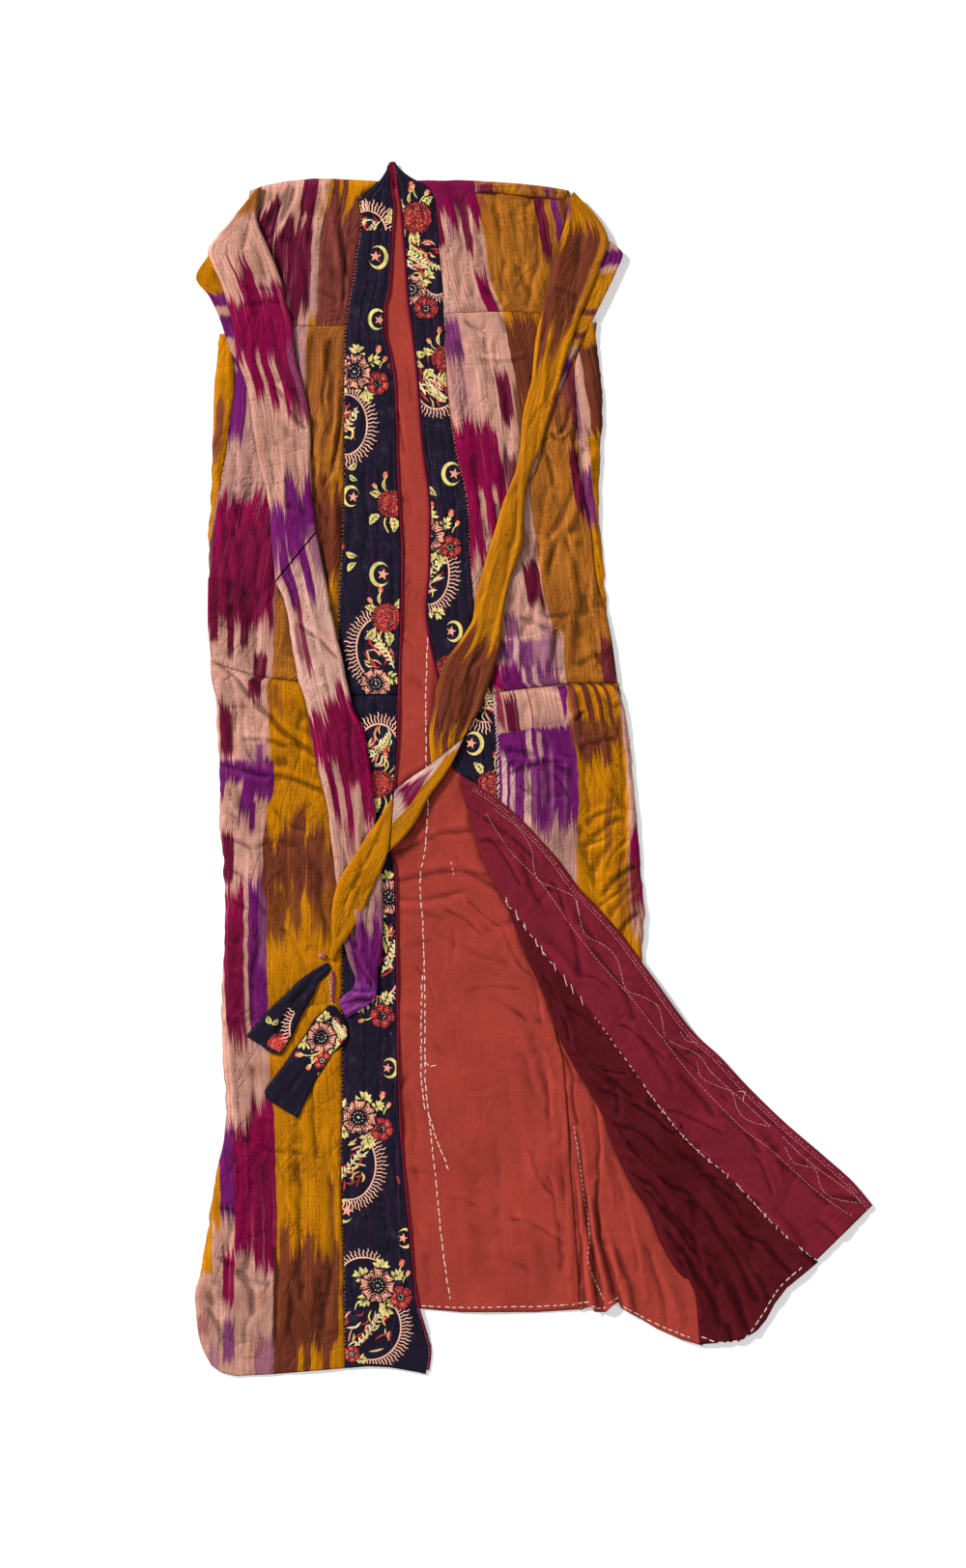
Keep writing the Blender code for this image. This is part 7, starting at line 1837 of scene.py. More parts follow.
    def heights(self):
        """How far each part stands over those drawn before it, so that it covers them."""
        box = np.array([[p[:, 0].min(), p[:, 1].min(), p[:, 0].max(), p[:, 1].max()] for p, _ in self.parts])
        ink = np.array([c for _, c in self.parts])
        up = np.zeros(len(box))
        for i in range(1, len(box)):
            b, old = box[i], box[:i]
            hit = (old[:, 0] < b[2]) & (old[:, 2] > b[0]) & (old[:, 1] < b[3]) & (old[:, 3] > b[1])
            if hit.any():
                up[i] = np.max(up[:i][hit] + np.where(ink[:i][hit] == ink[i], 1.5e-6, 3.5e-6))
        return up

    def lay(self, name, target, fields, mats, lift=0.00022):
        """Cuts the motifs to the cloth's edges and lays them on it."""
        tree = tree_of(*target)
        tris, cols, ups = [], [], []
        raised = self.heights()
        print("print", name, len(raised), round(float(raised.max()) * 1000, 3))
        for order, (pts, colour) in enumerate(self.parts):
            faces = tessellate_polygon([[(p[0], p[1], 0) for p in pts]])
            if not faces:
                continue
            t = np.array([[pts[i] for i in f] for f in faces])
            for inside in fields:
                if len(t):
                    t = cut(t, inside)
            if not len(t):
                continue
            t = fine(t)
            tris.append(t)
            cols.append(np.full(len(t), colour))
            ups.append(np.full(len(t), lift + raised[order]))
        t, c, up = np.concatenate(tris), np.concatenate(cols), np.concatenate(ups)
        area = np.abs((t[:, 1, 0] - t[:, 0, 0]) * (t[:, 2, 1] - t[:, 0, 1]) - (t[:, 2, 0] - t[:, 0, 0]) * (t[:, 1, 1] - t[:, 0, 1]))
        keep = area > 1e-4
        t, c, up = t[keep], c[keep], up[keep]
        flat = t.reshape(-1, 2)
        key = np.round(flat * 50).astype(np.int64)
        uniq, inv = np.unique(key, axis=0, return_inverse=True)
        z = levels(tree, uniq / 50.0)[inv.ravel()].reshape(-1, 3)
        z = z + up[:, None]
        # all faces upwards
        back = ((t[:, 1, 0] - t[:, 0, 0]) * (t[:, 2, 1] - t[:, 0, 1])
                - (t[:, 2, 0] - t[:, 0, 0]) * (t[:, 1, 1] - t[:, 0, 1])) > 0
        t[back], z[back] = t[back][:, ::-1], z[back][:, ::-1]
        pts = metres(t[..., 0], t[..., 1], z).reshape(-1, 3)
        faces = np.arange(len(pts)).reshape(-1, 3)
        weave = np.stack([t[..., 0], t[..., 1], 0 * z], axis=-1).reshape(-1, 3)
        used = sorted(set(c.tolist()))
        return put(name, pts, faces, [mats[k] for k in used], weave,
                   slots=np.searchsorted(used, c), smooth_faces=True)


INKS = {0: plain("print_ground", lin(26, 22, 36), 41, 0.08, 0.3, 0.75, 0.8, cells=0.3),
        1: plain("print_red", lin(192, 56, 50), 42, 0.14, 0.3, 0.75, 0.9, lin(152, 44, 44), 0.2),
        2: plain("print_pink", lin(236, 156, 130), 43, 0.12, 0.3, 0.75, 0.9, lin(212, 124, 102), 0.2),
        3: plain("print_green", lin(220, 202, 122), 44, 0.12, 0.3, 0.75, 0.9, lin(190, 168, 92), 0.2),
        4: plain("print_cream", lin(236, 222, 170), 45, 0.08, 0.3, 0.75, 0.7, None, 0.3),
        5: plain("print_rose", lin(214, 92, 76), 46, 0.12, 0.3, 0.75, 0.9, lin(190, 76, 66), 0.2),
        6: plain("print_rays", lin(246, 186, 158), 47, 0.10, 0.3, 0.75, 0.9, lin(224, 160, 132), 0.2)}
PI = math.pi


def ring(p, x, y, flip=1, rx=22, ry=31, part=(0.0, 1.0)):
    """A ring of rays, open on one side, round a thicket."""
    a0, a1 = (-0.56 + 1.12 * part[0]) * PI, (-0.56 + 1.12 * part[1]) * PI
    if flip < 0:
        a0, a1 = PI - a1, PI - a0
    p.thicket(x - 3 * flip, y + 1, rx * 0.86, ry * 0.84, -0.9 if flip > 0 else -2.2)
    p.rays(x, y, rx, ry, a0, a1, int(30 * (part[1] - part[0])), 12.5)


def bouquet(p, x, y, flip=1):
    """Daisy and poppy in cut leaves with buds over them."""
    for dx, dy, L, w, a in ((-14, -8, 17, 13, -0.80), (-3, -12, 17, 13, -0.42), (4, 14, 18, 13, 0.42), (-14, 10, 14, 10, 0.72),
                            (10, -10, 13, 9, -0.18)):
        p.lobed(x + dx * flip, y + dy, L, w, PI * (a if flip > 0 else (1 - a)))
    p.bud(x + 19 * flip, y - 20, 8, -PI * (0.42 if flip > 0 else 0.58))
    p.bud(x + 25 * flip, y - 11, 6, -PI * (0.34 if flip > 0 else 0.66), 5)
    p.poppy(x + 19 * flip, y + 11, 11.5, 0.3)
    p.daisy(x - 5 * flip, y - 1, 15, 0.1)


def carnation(p, x, y, flip=1, r=14):
    """Carnation, leaves and two buds on curved stems."""
    p.stroke([(x - 3 * flip, y + r * 2.3), (x - 7 * flip, y + r * 1.5), (x + 1 * flip, y + 4)], 1.5, 3, 0.4)
    p.stroke([(x + 1 * flip, y - 8), (x - 9 * flip, y - 20), (x - 6 * flip, y - 27)], 1.2, 3, 0.4)
    p.bud(x - 6 * flip, y - 26, 7, -PI * 0.5)
    p.bud(x - 15 * flip, y - 16, 6, -PI * (0.72 if flip > 0 else 0.28), 5)
    for dx, dy, L, w, a in ((-12, 11, 15, 8, 0.74), (0, 13, 17, 9, 0.45), (8, -10, 15, 8, -0.30), (-11, -6, 13, 7, -0.86)):
        p.leaf(x + dx * flip, y + dy, L, w, PI * (a if flip > 0 else (1 - a)), teeth=0.14)
    p.rose(x, y, r, 0.2)


def band_fields(left, right, y0, y1, keep=0.8):
    return [lambda x, y: x - edge(left, y) - keep, lambda x, y: edge(right, y) - x - keep,
            lambda x, y: y - y0, lambda x, y: y1 - y]


p = Print(5)
ring(p, 380, 243, 1, 20, 24)
p.rays(380, 243, 20, 24, -PI * 0.98, -PI * 0.5, 16, 11)
p.leaf(400, 232, 17, 8, -PI * 0.42, teeth=0.1)
p.lay("left_collar_print", ["left_band_upper_cloth"], band_fields(LEFT_BAND_SEAM, LEFT_FREE_EDGE, 176, 239), INKS)
p = Print(15)
p.moon(392, 267, 10, PI * 1.1, 0.1)
p.moon(390, 331, 9, PI * 0.1, 0.3)
ring(p, 358, 440, 1)
bouquet(p, 372, 386)
p.leaf(360, 486, 12, 6, -PI * 0.2)
p.leaf(362, 492, 10, 5, PI * 0.2)
p.moon(363, 514, 9, PI * 0.12, 0.1)
carnation(p, 405, 522, 1, 13)
p.leaf(358, 572, 13, 6, PI * 0.1)
p.leaf(360, 592, 13, 6, -PI * 0.25)
p.poppy(351, 566, 6, 0.2)
p.moon(393, 595, 10.5, PI * 0.0, 0.2)
ring(p, 391, 672, -1)
carnation(p, 400, 640, 1, 13.5)
p.daisy(389, 708, 13, 0.2)
p.lobed(402, 700, 14, 9, PI * 0.1)
p.lay("left_band_upper_print", ["left_band_upper_cloth"], band_fields(LEFT_BAND_SEAM, LEFT_FREE_EDGE, 240.5, 718.5), INKS)

p = Print(6)
p.thicket(392, 772, 16, 18, -0.9)
p.rays(392, 774, 20, 24, -PI * 0.98, -PI * 0.08, 32, 12)
carnation(p, 393, 812, -1, 13)
p.moon(405, 872, 8.5, PI * 0.2)
p.thicket(404, 985, 14, 26, -1.2)
bouquet(p, 398, 930, -1)
p.leaf(402, 968, 15, 7, -PI * 0.6, teeth=0.1)
p.rays(394, 1010, 18, 22, -PI * 0.1, PI * 0.6, 22, 10)
p.poppy(396, 1052, 12, 0.2)
p.bud(377, 1056, 6, PI * 0.9)
p.lobed(398, 1038, 13, 9, -PI * 0.3)
p.lobed(380, 1040, 14, 9, PI * 0.8)
p.moon(404, 1106, 8.5, PI * 1.0)
ring(p, 362, 1206, 1, 27, 36)
bouquet(p, 376, 1158)
p.moon(356, 1254, 10, -PI * 0.02)
p.moon(420, 1282, 8.5, PI * 1.0)
p.rays(376, 1318, 22, 16, -PI * 1.0, -PI * 0.3, 20, 9)
ring(p, 384, 1374, 1, 31, 34)
bouquet(p, 396, 1332)
p.lobed(368, 1404, 13, 8, PI * 0.1)
p.poppy(364, 1402, 8, 0.4)
p.lay("left_band_lower_print", ["left_band_lower_cloth"], band_fields(LEFT_BAND_SEAM, LEFT_FREE_EDGE, 721.5, 1430)[:3]
      + [lambda x, y: seam(BAND_HEM, x) - 3.0 - y], INKS)

p = Print(7)
carnation(p, 431, 226, 1, 15)
p.bud(428, 196, 8, -PI * 0.62)
p.bud(440, 203, 7, -PI * 0.3, 5)
p.rays(452, 216, 6, 20, -PI * 0.4, PI * 0.4, 15, 8)
p.thicket(438, 268, 18, 22, 0.5)
p.leaf(424, 254, 16, 7, PI * 0.2, teeth=0.1)
p.rays(452, 282, 16, 24, PI * 0.15, PI * 0.95, 24, 9)
p.daisy(426, 300, 13, 0.3)
p.lobed(436, 292, 16, 11, -PI * 0.15)
p.poppy(441, 320, 12, 0.1)
cut_up = [f for f in band_fields(BAND_DOWN, BAND_SEAM_DOWN, 172, 330)]
p.lay("right_band_upper_print", ["right_band_cloth"], cut_up, INKS)

p = Print(8)
p.leaf(430, 366, 12, 7, PI * 0.0, teeth=0.1)
p.leaf(432, 374, 10, 5, PI * 0.25)
carnation(p, 461, 372, 1, 13)
p.thicket(452, 404, 18, 16, 0.7)
p.rays(452, 402, 20, 22, PI * 0.12, PI * 0.86, 26, 10)
p.moon(467, 491, 10, PI * 0.0)
p.leaf(445, 504, 12, 6, PI * 0.3)
p.bud(446, 528, 8, -PI * 0.45)
ring(p, 444, 594, 1, 21, 32)
bouquet(p, 447, 556)
p.lobed(446, 634, 15, 10, PI * 0.1)
p.moon(470, 654, 9, PI * 1.0)
p.rose(462, 690, 10)
p.leaf(474, 700, 14, 7, PI * 0.3, teeth=0.1)
ring(p, 502, 724, -1, 20, 24)
p.moon(491, 770, 10, PI * 1.0)
carnation(p, 507, 812, -1, 12)
p.lay("right_band_lower_print", ["right_band_cloth"], band_fields(BAND_DOWN, BAND_SEAM_DOWN, 331.5, 880), INKS)


def strip_fields(tab, keep=1.5):
    """Inside a strip of sections, away from its edges."""
    out = list(zip(tab["lx"], tab["ly"])) + list(zip(tab["rx"], tab["ry"]))[::-1]
    n = len(out)

    def inside(x, y):
        d = np.full(np.shape(x), 1e9)
        odd = np.zeros(np.shape(x), bool)
        for (ax, ay), (bx, by) in zip(out, out[1:] + out[:1]):
            ex, ey = bx - ax, by - ay
            t = np.clip(((x - ax) * ex + (y - ay) * ey) / max(ex * ex + ey * ey, 1e-9), 0, 1)
            d = np.minimum(d, np.hypot(x - ax - t * ex, y - ay - t * ey))
            if ay != by:
                odd ^= ((ay > y) != (by > y)) & (x < (bx - ax) * (y - ay) / (by - ay) + ax)
        return np.where(odd, d, -d) - keep
    return [inside]


p = Print(9)
p.leaf(281, 1060, 9, 6, -PI * 0.62)
p.leaf(282, 1061, 9, 5, -PI * 0.25)
p.rose(289, 1082, 11, 0.2)
p.rays(322, 1066, 22, 26, PI * 0.72, PI * 1.22, 24, 9)
p.lay("right_cuff_print", ["right_cuff_cloth"], strip_fields(RIGHT_CUFF), INKS)
p = Print(10)
for dx, dy, L, a in ((334, 1062, 17, -0.5), (322, 1078, 15, 0.92), (330, 1086, 16, 0.5), (344, 1084, 13, 0.2)):
    p.lobed(dx, dy, L, 12, PI * a)
p.thicket(354, 1066, 9, 16, 0.9)
p.daisy(333, 1074, 13, 0.2)
p.poppy(334, 1098, 9, 0.2)
p.bud(314, 1092, 8, PI * 1.0)
p.bud(322, 1102, 6.5, PI * 0.7, 5)
p.stroke([(334, 1088), (326, 1092), (318, 1093)], 1.2, 3, 0.4)
p.leaf(330, 1110, 10, 5, PI * 0.5)
p.lay("left_cuff_print", ["left_cuff_cloth"], strip_fields(LEFT_CUFF), INKS)


# ------------------------------------------------------------------ stitches
class Thread:
    """Stitches of one colour, each a small raised dash on the cloth."""

    def __init__(self, name, mat, targets, seed=1):
        self.name, self.mat, self.tree, self.r = name, mat, tree_of(*targets), np.random.RandomState(seed)
        self.v, self.f = [], []

    def dash(self, a, b, wide, high):
        """One stitch between plan points: sinks into the cloth at both ends."""
        a, b = np.array(a, float), np.array(b, float)
        d = b - a
        L = np.hypot(*d)
        if L < 0.3:
            return
        n = np.array([-d[1], d[0]]) / L
        m = max(2, int(L / 1.6) + 1)
        rows, base = [], len(self.v)
        for t in np.linspace(0, 1, m + 1):
            c = a + d * t
            w = wide / 2 * (0.55 + 0.45 * math.sin(math.pi * t) ** 0.5)
            z = levels(self.tree, [c])[0]
            arch = high * (0.25 + 0.75 * math.sin(math.pi * t) ** 0.6)
            rows.append(((c + n * w), z + high * 0.15, (c), z + arch, (c - n * w), z + high * 0.15))
        for r in rows:
            for k in (0, 2, 4):
                self.v.append((r[k][0], r[k][1], r[k + 1]))
        for i in range(m):
            for k in (0, 1):
                o = base + i * 3 + k
                self.f.append((o, o + 1, o + 4, o + 3))

    def line(self, pts, dash=4.0, gap=2.0, wide=0.8, high=0.0004, sway=0.3, skip=0.0):
        p = np.array(pts, float)
        run = np.concatenate([[0], np.cumsum(np.linalg.norm(np.diff(p, axis=0), axis=1))])
        at = lambda q: np.array([smooth(run, p[:, k], np.array([q]))[0] for k in (0, 1)])
        q = 0.0
        while q < run[-1] - 1:
            L = dash * (0.7 + 0.6 * self.r.rand())
            e = min(q + L, run[-1])
            if self.r.rand() >= skip:
                a, b = at(q), at(e)
                s = (self.r.rand(4) - 0.5) * 2 * sway
                if L > 7:
                    m = at((q + e) / 2)
                    self.dash(a + s[:2], m, wide, high)
                    self.dash(m, b + s[2:], wide, high)
                else:
                    self.dash(a + s[:2], b + s[2:], wide, high)
            q = e + gap * (0.6 + 0.8 * self.r.rand())

    def whip(self, pts, apart=4.0, long=3.0, wide=0.8, high=0.0004, lean=0.5):
        """Slanting stitches over an edge."""
        p = np.array(pts, float)
        run = np.concatenate([[0], np.cumsum(np.linalg.norm(np.diff(p, axis=0), axis=1))])
        for q in np.arange(1, run[-1] - 1, apart):
            q = q + (self.r.rand() - 0.5) * apart * 0.5
            c = np.array([smooth(run, p[:, k], np.array([q]))[0] for k in (0, 1)])
            e = np.array([smooth(run, p[:, k], np.array([q + 1]))[0] for k in (0, 1)]) - c
            e /= max(np.hypot(*e), 1e-6)
            n = np.array([-e[1], e[0]])
            d = (n + lean * e) * long / 2 * (0.8 + 0.5 * self.r.rand())
            self.dash(c - d, c + d, wide, high)

    def make(self):
        v = np.array(self.v)
        return put(self.name, metres(v[:, 0], v[:, 1], v[:, 2]), self.f, self.mat,
                   np.stack([v[:, 0] * 3, v[:, 1] * 3, 0 * v[:, 2]], axis=-1))


T_WHITE = plain("thread_white", lin(238, 214, 200), 51, 0.06, 0.2, 0.8, 1.0, None, 0.1)
T_PINK = plain("thread_pink", lin(196, 110, 120), 52, 0.06, 0.2, 0.8, 1.0, None, 0.1)
T_VIOLET = plain("thread_violet", lin(92, 34, 78), 53, 0.06, 0.2, 0.7, 1.0, None, 0.1)
T_RED = plain("thread_red", lin(74, 20, 22), 54, 0.06, 0.2, 0.8, 1.0, None, 0.1)
T_ORANGE = plain("thread_orange", lin(206, 128, 84), 55, 0.06, 0.2, 0.8, 1.0, None, 0.1)


def border(tab, y0, y1, off, step=12):
    ys = np.arange(y0, y1, step)
    return np.stack([edge(tab, ys) + off, ys], 1)


linings = ["back_lining_cloth", "gore_lining_cloth"]
t = Thread("basting_lining", T_WHITE, linings, 3)
t.line([(443, 660), (441, 720), (441, 780), (443, 830), (440, 880), (435, 912), (438, 960), (440, 1060), (440, 1110),
        (444, 1155), (451, 1220), (458, 1290), (466, 1345)], 6.3, 2.8, 1.1, 0.0006, 0.5)
t.line([(437, 1010), (436, 1070), (436, 1110), (440, 1152)], 6.0, 2.6, 1.1, 0.0005, 0.6)
t.line([(444, 1155), (452, 1180), (466, 1215)], 7.0, 2.4, 1.1, 0.0005, 0.6)
t.line([(436, 1352.5), (478, 1354), (520, 1353.5), (555, 1353), (588, 1351)], 5.0, 2.8, 1.0, 0.0005, 0.3)
t.line([(645, 1353), (660, 1361), (684, 1373), (714, 1385)], 5.0, 2.6, 1.0, 0.0005, 0.3)
t.line([(467, 893), (470, 908)], 2.4, 3.0, 0.9, 0.0004, 0.5)
t.line([(594, 1166), (601, 1212), (604, 1238), (609, 1264), (610, 1284), (608, 1302), (614, 1322), (625, 1346)], 3.4, 1.6, 0.6, 0.0003, 0.3)
t.line([(428, 1353), (418, 1352)], 4.0, 2.0, 1.0, 0.0005, 0.3)
t.line([(592, 1351), (603, 1349), (611, 1348)], 4.0, 2.4, 1.0, 0.0005, 0.3)
t.line([(613, 1352), (620, 1355), (627, 1354)], 3.4, 2.2, 0.9, 0.0005, 0.3)
t.line([(630, 1349), (636, 1346), (641, 1343)], 3.6, 2.2, 0.9, 0.0005, 0.3)
t.line([(440, 1100), (446, 1104), (452, 1103)], 5.0, 2.4, 0.9, 0.0004, 0.5)
t.make()

flaps = ["flap_lining_cloth", "flap_facing_cloth"]
t = Thread("basting_flap", T_WHITE, flaps, 4)
seam_line = [(522, 930), (548, 966), (574, 1001), (616, 1053), (661, 1116), (683, 1147), (715, 1185), (758, 1222),
             (801, 1268), (825, 1290), (845, 1305)]
t.whip(seam_line[:4], 17.0, 4.0, 0.8, 0.0005, 2.2)
t.line([(523, 932), (548, 967), (576, 1004)], 4.2, 7.0, 0.85, 0.0005, 0.8)
t.line(seam_line[3:5], 3.0, 4.5, 0.8, 0.0004, 0.5, 0.3)
t.whip(seam_line[4:], 19.0, 3.4, 0.75, 0.0004, 0.6)
t.line(seam_line[4:], 6.0, 2.6, 0.85, 0.0005, 0.6, 0.16)
hem_line = [(726, 1384), (745, 1390), (766, 1388), (786, 1366), (806, 1334), (830, 1312)]
t.line(hem_line, 5.0, 2.8, 1.1, 0.0005, 0.3)
t.make()
t = Thread("quilting_flap", plain("thread_pale", lin(206, 158, 160), 56, 0.06, 0.2, 0.8, 1.0, None, 0.1), ["flap_facing_cloth"], 5)
free = [(493, 812), (511, 824), (546, 855), (574, 886), (596, 916), (636, 959), (673, 1008), (722, 1073), (742, 1091),
        (769, 1120), (811, 1161), (854, 1198), (882, 1223), (903, 1248)]


def beside(line, off):
    p = np.array(line, float)
    d = np.gradient(p, axis=0)
    d /= np.linalg.norm(d, axis=1)[:, None]
    return p + np.stack([-d[:, 1], d[:, 0]], 1) * off


t.line(beside(free, 7), 2.2, 1.2, 0.5, 0.00028, 0.3)
t.line(beside(free, 4), 2.0, 1.8, 0.45, 0.00028, 0.3, 0.25)
t.line([(503, 843), (527, 880), (561, 916), (589, 956), (619, 995), (652, 1032), (678, 1065), (711, 1108), (744, 1144),
        (767, 1167), (797, 1190), (830, 1220), (853, 1240), (883, 1260)], 2.6, 1.2, 0.5, 0.00026, 0.25)
for ln in (((512, 838), (540, 862), (551, 884), (553, 902), (558, 912), (579, 921), (595, 930), (599, 946), (605, 967), (625, 979),
            (638, 992), (643, 1009), (648, 1025), (665, 1032), (681, 1042), (685, 1055), (688, 1074)),
           ((693, 1078), (708, 1085), (721, 1091), (737, 1111), (754, 1127), (770, 1141), (790, 1160), (797, 1166)),
           ((721, 1099), (724, 1113), (741, 1124), (757, 1131), (764, 1150), (774, 1160), (797, 1167)),
           ((810, 1177), (830, 1197), (846, 1210), (869, 1226), (892, 1245)),
           ((812, 1188), (823, 1205), (843, 1210), (850, 1230), (863, 1241), (890, 1246)),
           ((704, 1068), (711, 1078), (724, 1080))):
    t.line(ln, 2.8, 0.9, 0.52, 0.00026, 0.3)
t.line([(597, 933), (598, 940), (600, 948)], 3.0, 0.6, 1.1, 0.0005, 0.4)
t.line([(764, 1130), (772, 1131), (768, 1140)], 3.0, 0.6, 0.9, 0.0005, 0.6)
t.make()

bands = ["left_band_upper_cloth", "left_band_lower_cloth", "right_band_cloth"]
t = Thread("quilting_bands", T_VIOLET, bands, 6)
for share, y0, y1, sk in ((0.12, 210, 1400, 0.1), (0.42, 200, 1410, 0.15), (0.68, 220, 1410, 0.2), (0.93, 190, 1414, 0.0)):
    ys = np.arange(y0, y1, 14.0)
    wob = (noise(ys, ys * 0, 47, int(share * 100)) - 0.5) * 0.34
    x = edge(LEFT_BAND_SEAM, ys) + (edge(LEFT_FREE_EDGE, ys) - edge(LEFT_BAND_SEAM, ys)) * (share + wob)
    t.line(np.stack([x, ys], 1), 6.5, 0.9, 0.5, 0.00025, 0.5, sk)
for share, y0, y1, sk in ((0.07, 190, 800, 0.0), (0.36, 210, 820, 0.15), (0.66, 214, 850, 0.15), (0.9, 220, 860, 0.1)):
    ys = np.arange(y0, y1, 14.0)
    wob = (noise(ys, ys * 0, 47, int(share * 100)) - 0.5) * 0.30
    x = edge(BAND_DOWN, ys) + (edge(BAND_SEAM_DOWN, ys) - edge(BAND_DOWN, ys)) * (share + wob)
    t.line(np.stack([x, ys], 1), 6.5, 0.9, 0.5, 0.00025, 0.5, sk)
for ln in (((386, 296), (380, 322), (366, 346)), ((398, 520), (392, 560), (399, 600)), ((372, 640), (380, 676), (374, 714)),
           ((366, 1110), (378, 1150), (372, 1200)), ((410, 1190), (412, 1240), (418, 1290)), ((447, 340), (456, 390), (452, 430)),
           ((390, 720), (400, 745), (410, 760)), ((440, 470), (452, 520), (456, 560))):
    t.line(ln, 6.5, 0.9, 0.5, 0.00025, 0.5)
t.make()

fronts = ["left_front_upper_cloth", "left_front_middle_cloth", "left_front_lower_cloth", "left_side_gore_cloth",
          "right_front_upper_cloth", "right_front_middle_cloth", "right_front_lower_cloth", "right_front_patch_cloth",
          "right_side_gore_cloth"]
t = Thread("band_joints", plain("thread_ink", lin(12, 10, 18), 58, 0.06, 0.2, 0.8, 1.0, None, 0.1), bands, 11)
for ln in (((371, 240), (388, 239.5), (404, 239)), ((357, 720), (384, 720), (410, 720)), ((426, 331), (446, 330), (461, 330.5))):
    t.line(ln, 7.0, 0.3, 1.0, 0.0002, 0.1)
t.make()
t = Thread("seam_ticks", T_ORANGE, fronts + bands, 7)
t.whip(border(LEFT_BAND_SEAM, 205, 690, 0.4, 20), 3.6, 1.9, 0.7, 0.0004, 0.6)
t.whip(border(LEFT_BAND_SEAM, 724, 1412, 0.4, 20), 4.2, 1.9, 0.6, 0.0004, 0.6)
t.whip(border(RIGHT_BAND_SEAM, 330, 700, 0.2, 20), 3.8, 1.9, 0.7, 0.0004, 0.6)
t.make()
t = Thread("seam_white", T_WHITE, fronts + bands, 8)
t.whip(border(LOWER_LEFT, 716, 842, 0.6, 20), 4.2, 2.6, 0.9, 0.0004, 1.6)
t.line([(512, 664), (548, 660), (578, 650)], 2.0, 3.0, 0.7, 0.0004, 0.4, 0.2)
t.line([(340, 1012), (343, 1030), (344, 1042)], 3.0, 1.0, 0.8, 0.0004, 0.4)
t.make()
t = Thread("quilting_fronts", T_RED, fronts, 9)
for x0, y0, x1, y1 in ((286, 214, 262, 330), (304, 196, 300, 330), (330, 200, 326, 330), (352, 260, 344, 334),
                       (298, 345, 300, 430), (330, 345, 332, 420), (246, 440, 242, 560), (232, 470, 224, 690),
                       (262, 440, 256, 690), (296, 560, 292, 704), (318, 548, 322, 640), (340, 560, 342, 704),
                       (236, 690, 238, 830), (262, 706, 258, 1100), (300, 712, 302, 860), (322, 716, 330, 800),
                       (240, 850, 236, 1070), (296, 880, 298, 1010), (318, 870, 322, 960), (248, 1090, 246, 1290),
                       (300, 1130, 300, 1400), (330, 1110, 330, 1404), (264, 1180, 260, 1410), (230, 1290, 226, 1404),
                       (462, 210, 466, 330), (480, 200, 486, 322), (520, 200, 526, 318), (548, 206, 540, 320),
                       (470, 340, 482, 470), (500, 340, 510, 480), (540, 440, 536, 470), (496, 500, 512, 620),
                       (560, 520, 548, 640), (590, 480, 592, 700), (612, 560, 616, 690), (550, 714, 551, 756),
                       (575, 712, 577, 756), (530, 770, 532, 850), (560, 766, 562, 860), (610, 720, 612, 900),
                       (636, 720, 642, 930), (575, 560, 578, 640)):
    n = 6
    pts = [(x0 + (x1 - x0) * k / n + 3.0 * (noise(np.array([k * 9.0]), np.array([x0 * 1.0]), 7, 700)[0] - 0.5),
            y0 + (y1 - y0) * k / n) for k in range(n + 1)]
    t.line(pts, 2.0, 3.0, 0.8, 0.0003, 0.35, 0.2)
t.make()
t = Thread("sleeve_threads", T_RED, ["left_sleeve_upper_cloth", "left_sleeve_lower_cloth", "right_sleeve_upper_cloth",
                                     "right_sleeve_lower_cloth"], 10)
for ln in (((250, 232), (262, 300), (274, 380), (284, 460), (290, 520)), ((268, 236), (284, 310), (298, 400), (308, 480)),
           ((312, 600), (330, 690), (350, 760), (362, 850), (372, 940)), ((604, 230), (590, 330), (568, 430), (548, 510)),
           ((520, 560), (506, 640), (490, 700))):
    t.line(ln, 2.0, 3.4, 0.75, 0.0003, 0.4, 0.25)
t.make()

KEY, FILL, FRONT, SKY = 2250.0, 190.0, 130.0, 0.15

# ------------------------------------------------------------------ piping, knots and the tie
def piping(name, tab, y0, y1, side, node):
    ys = np.arange(y0, y1, 1.5)
    c = edge(tab, ys) + side * 1.5
    a = np.linspace(0, math.pi, 7)
    rx = 1.35 + 0.22 * (noise(ys, ys * 0, 3.0, 601) - 0.5)
    x = c[:, None] - np.cos(a) * rx[:, None]
    y = np.repeat(ys[:, None], 7, axis=1)
    h = step01(HEM_Y, HEM_Y + HEM_RUN, ys)
    base = 0.0033 * (1 - h)
    z = base[:, None] + np.sin(a) * 0.0021 + 0.0002 * (noise(ys, ys * 0, 4.0, 602) - 0.5)[:, None]
    ob = put(name + "_cord", metres(x, y, z).reshape(-1, 3), grid_faces(len(ys), 7), M_PIPING,
             np.stack([x, y, 0 * x], axis=-1))
    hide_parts(node)


piping("left_piping", LEFT_FREE_EDGE, 186, 1420, 1, "left_piping")
piping("right_piping", RIGHT_FREE_EDGE, 186, 801, -1, "right_piping")


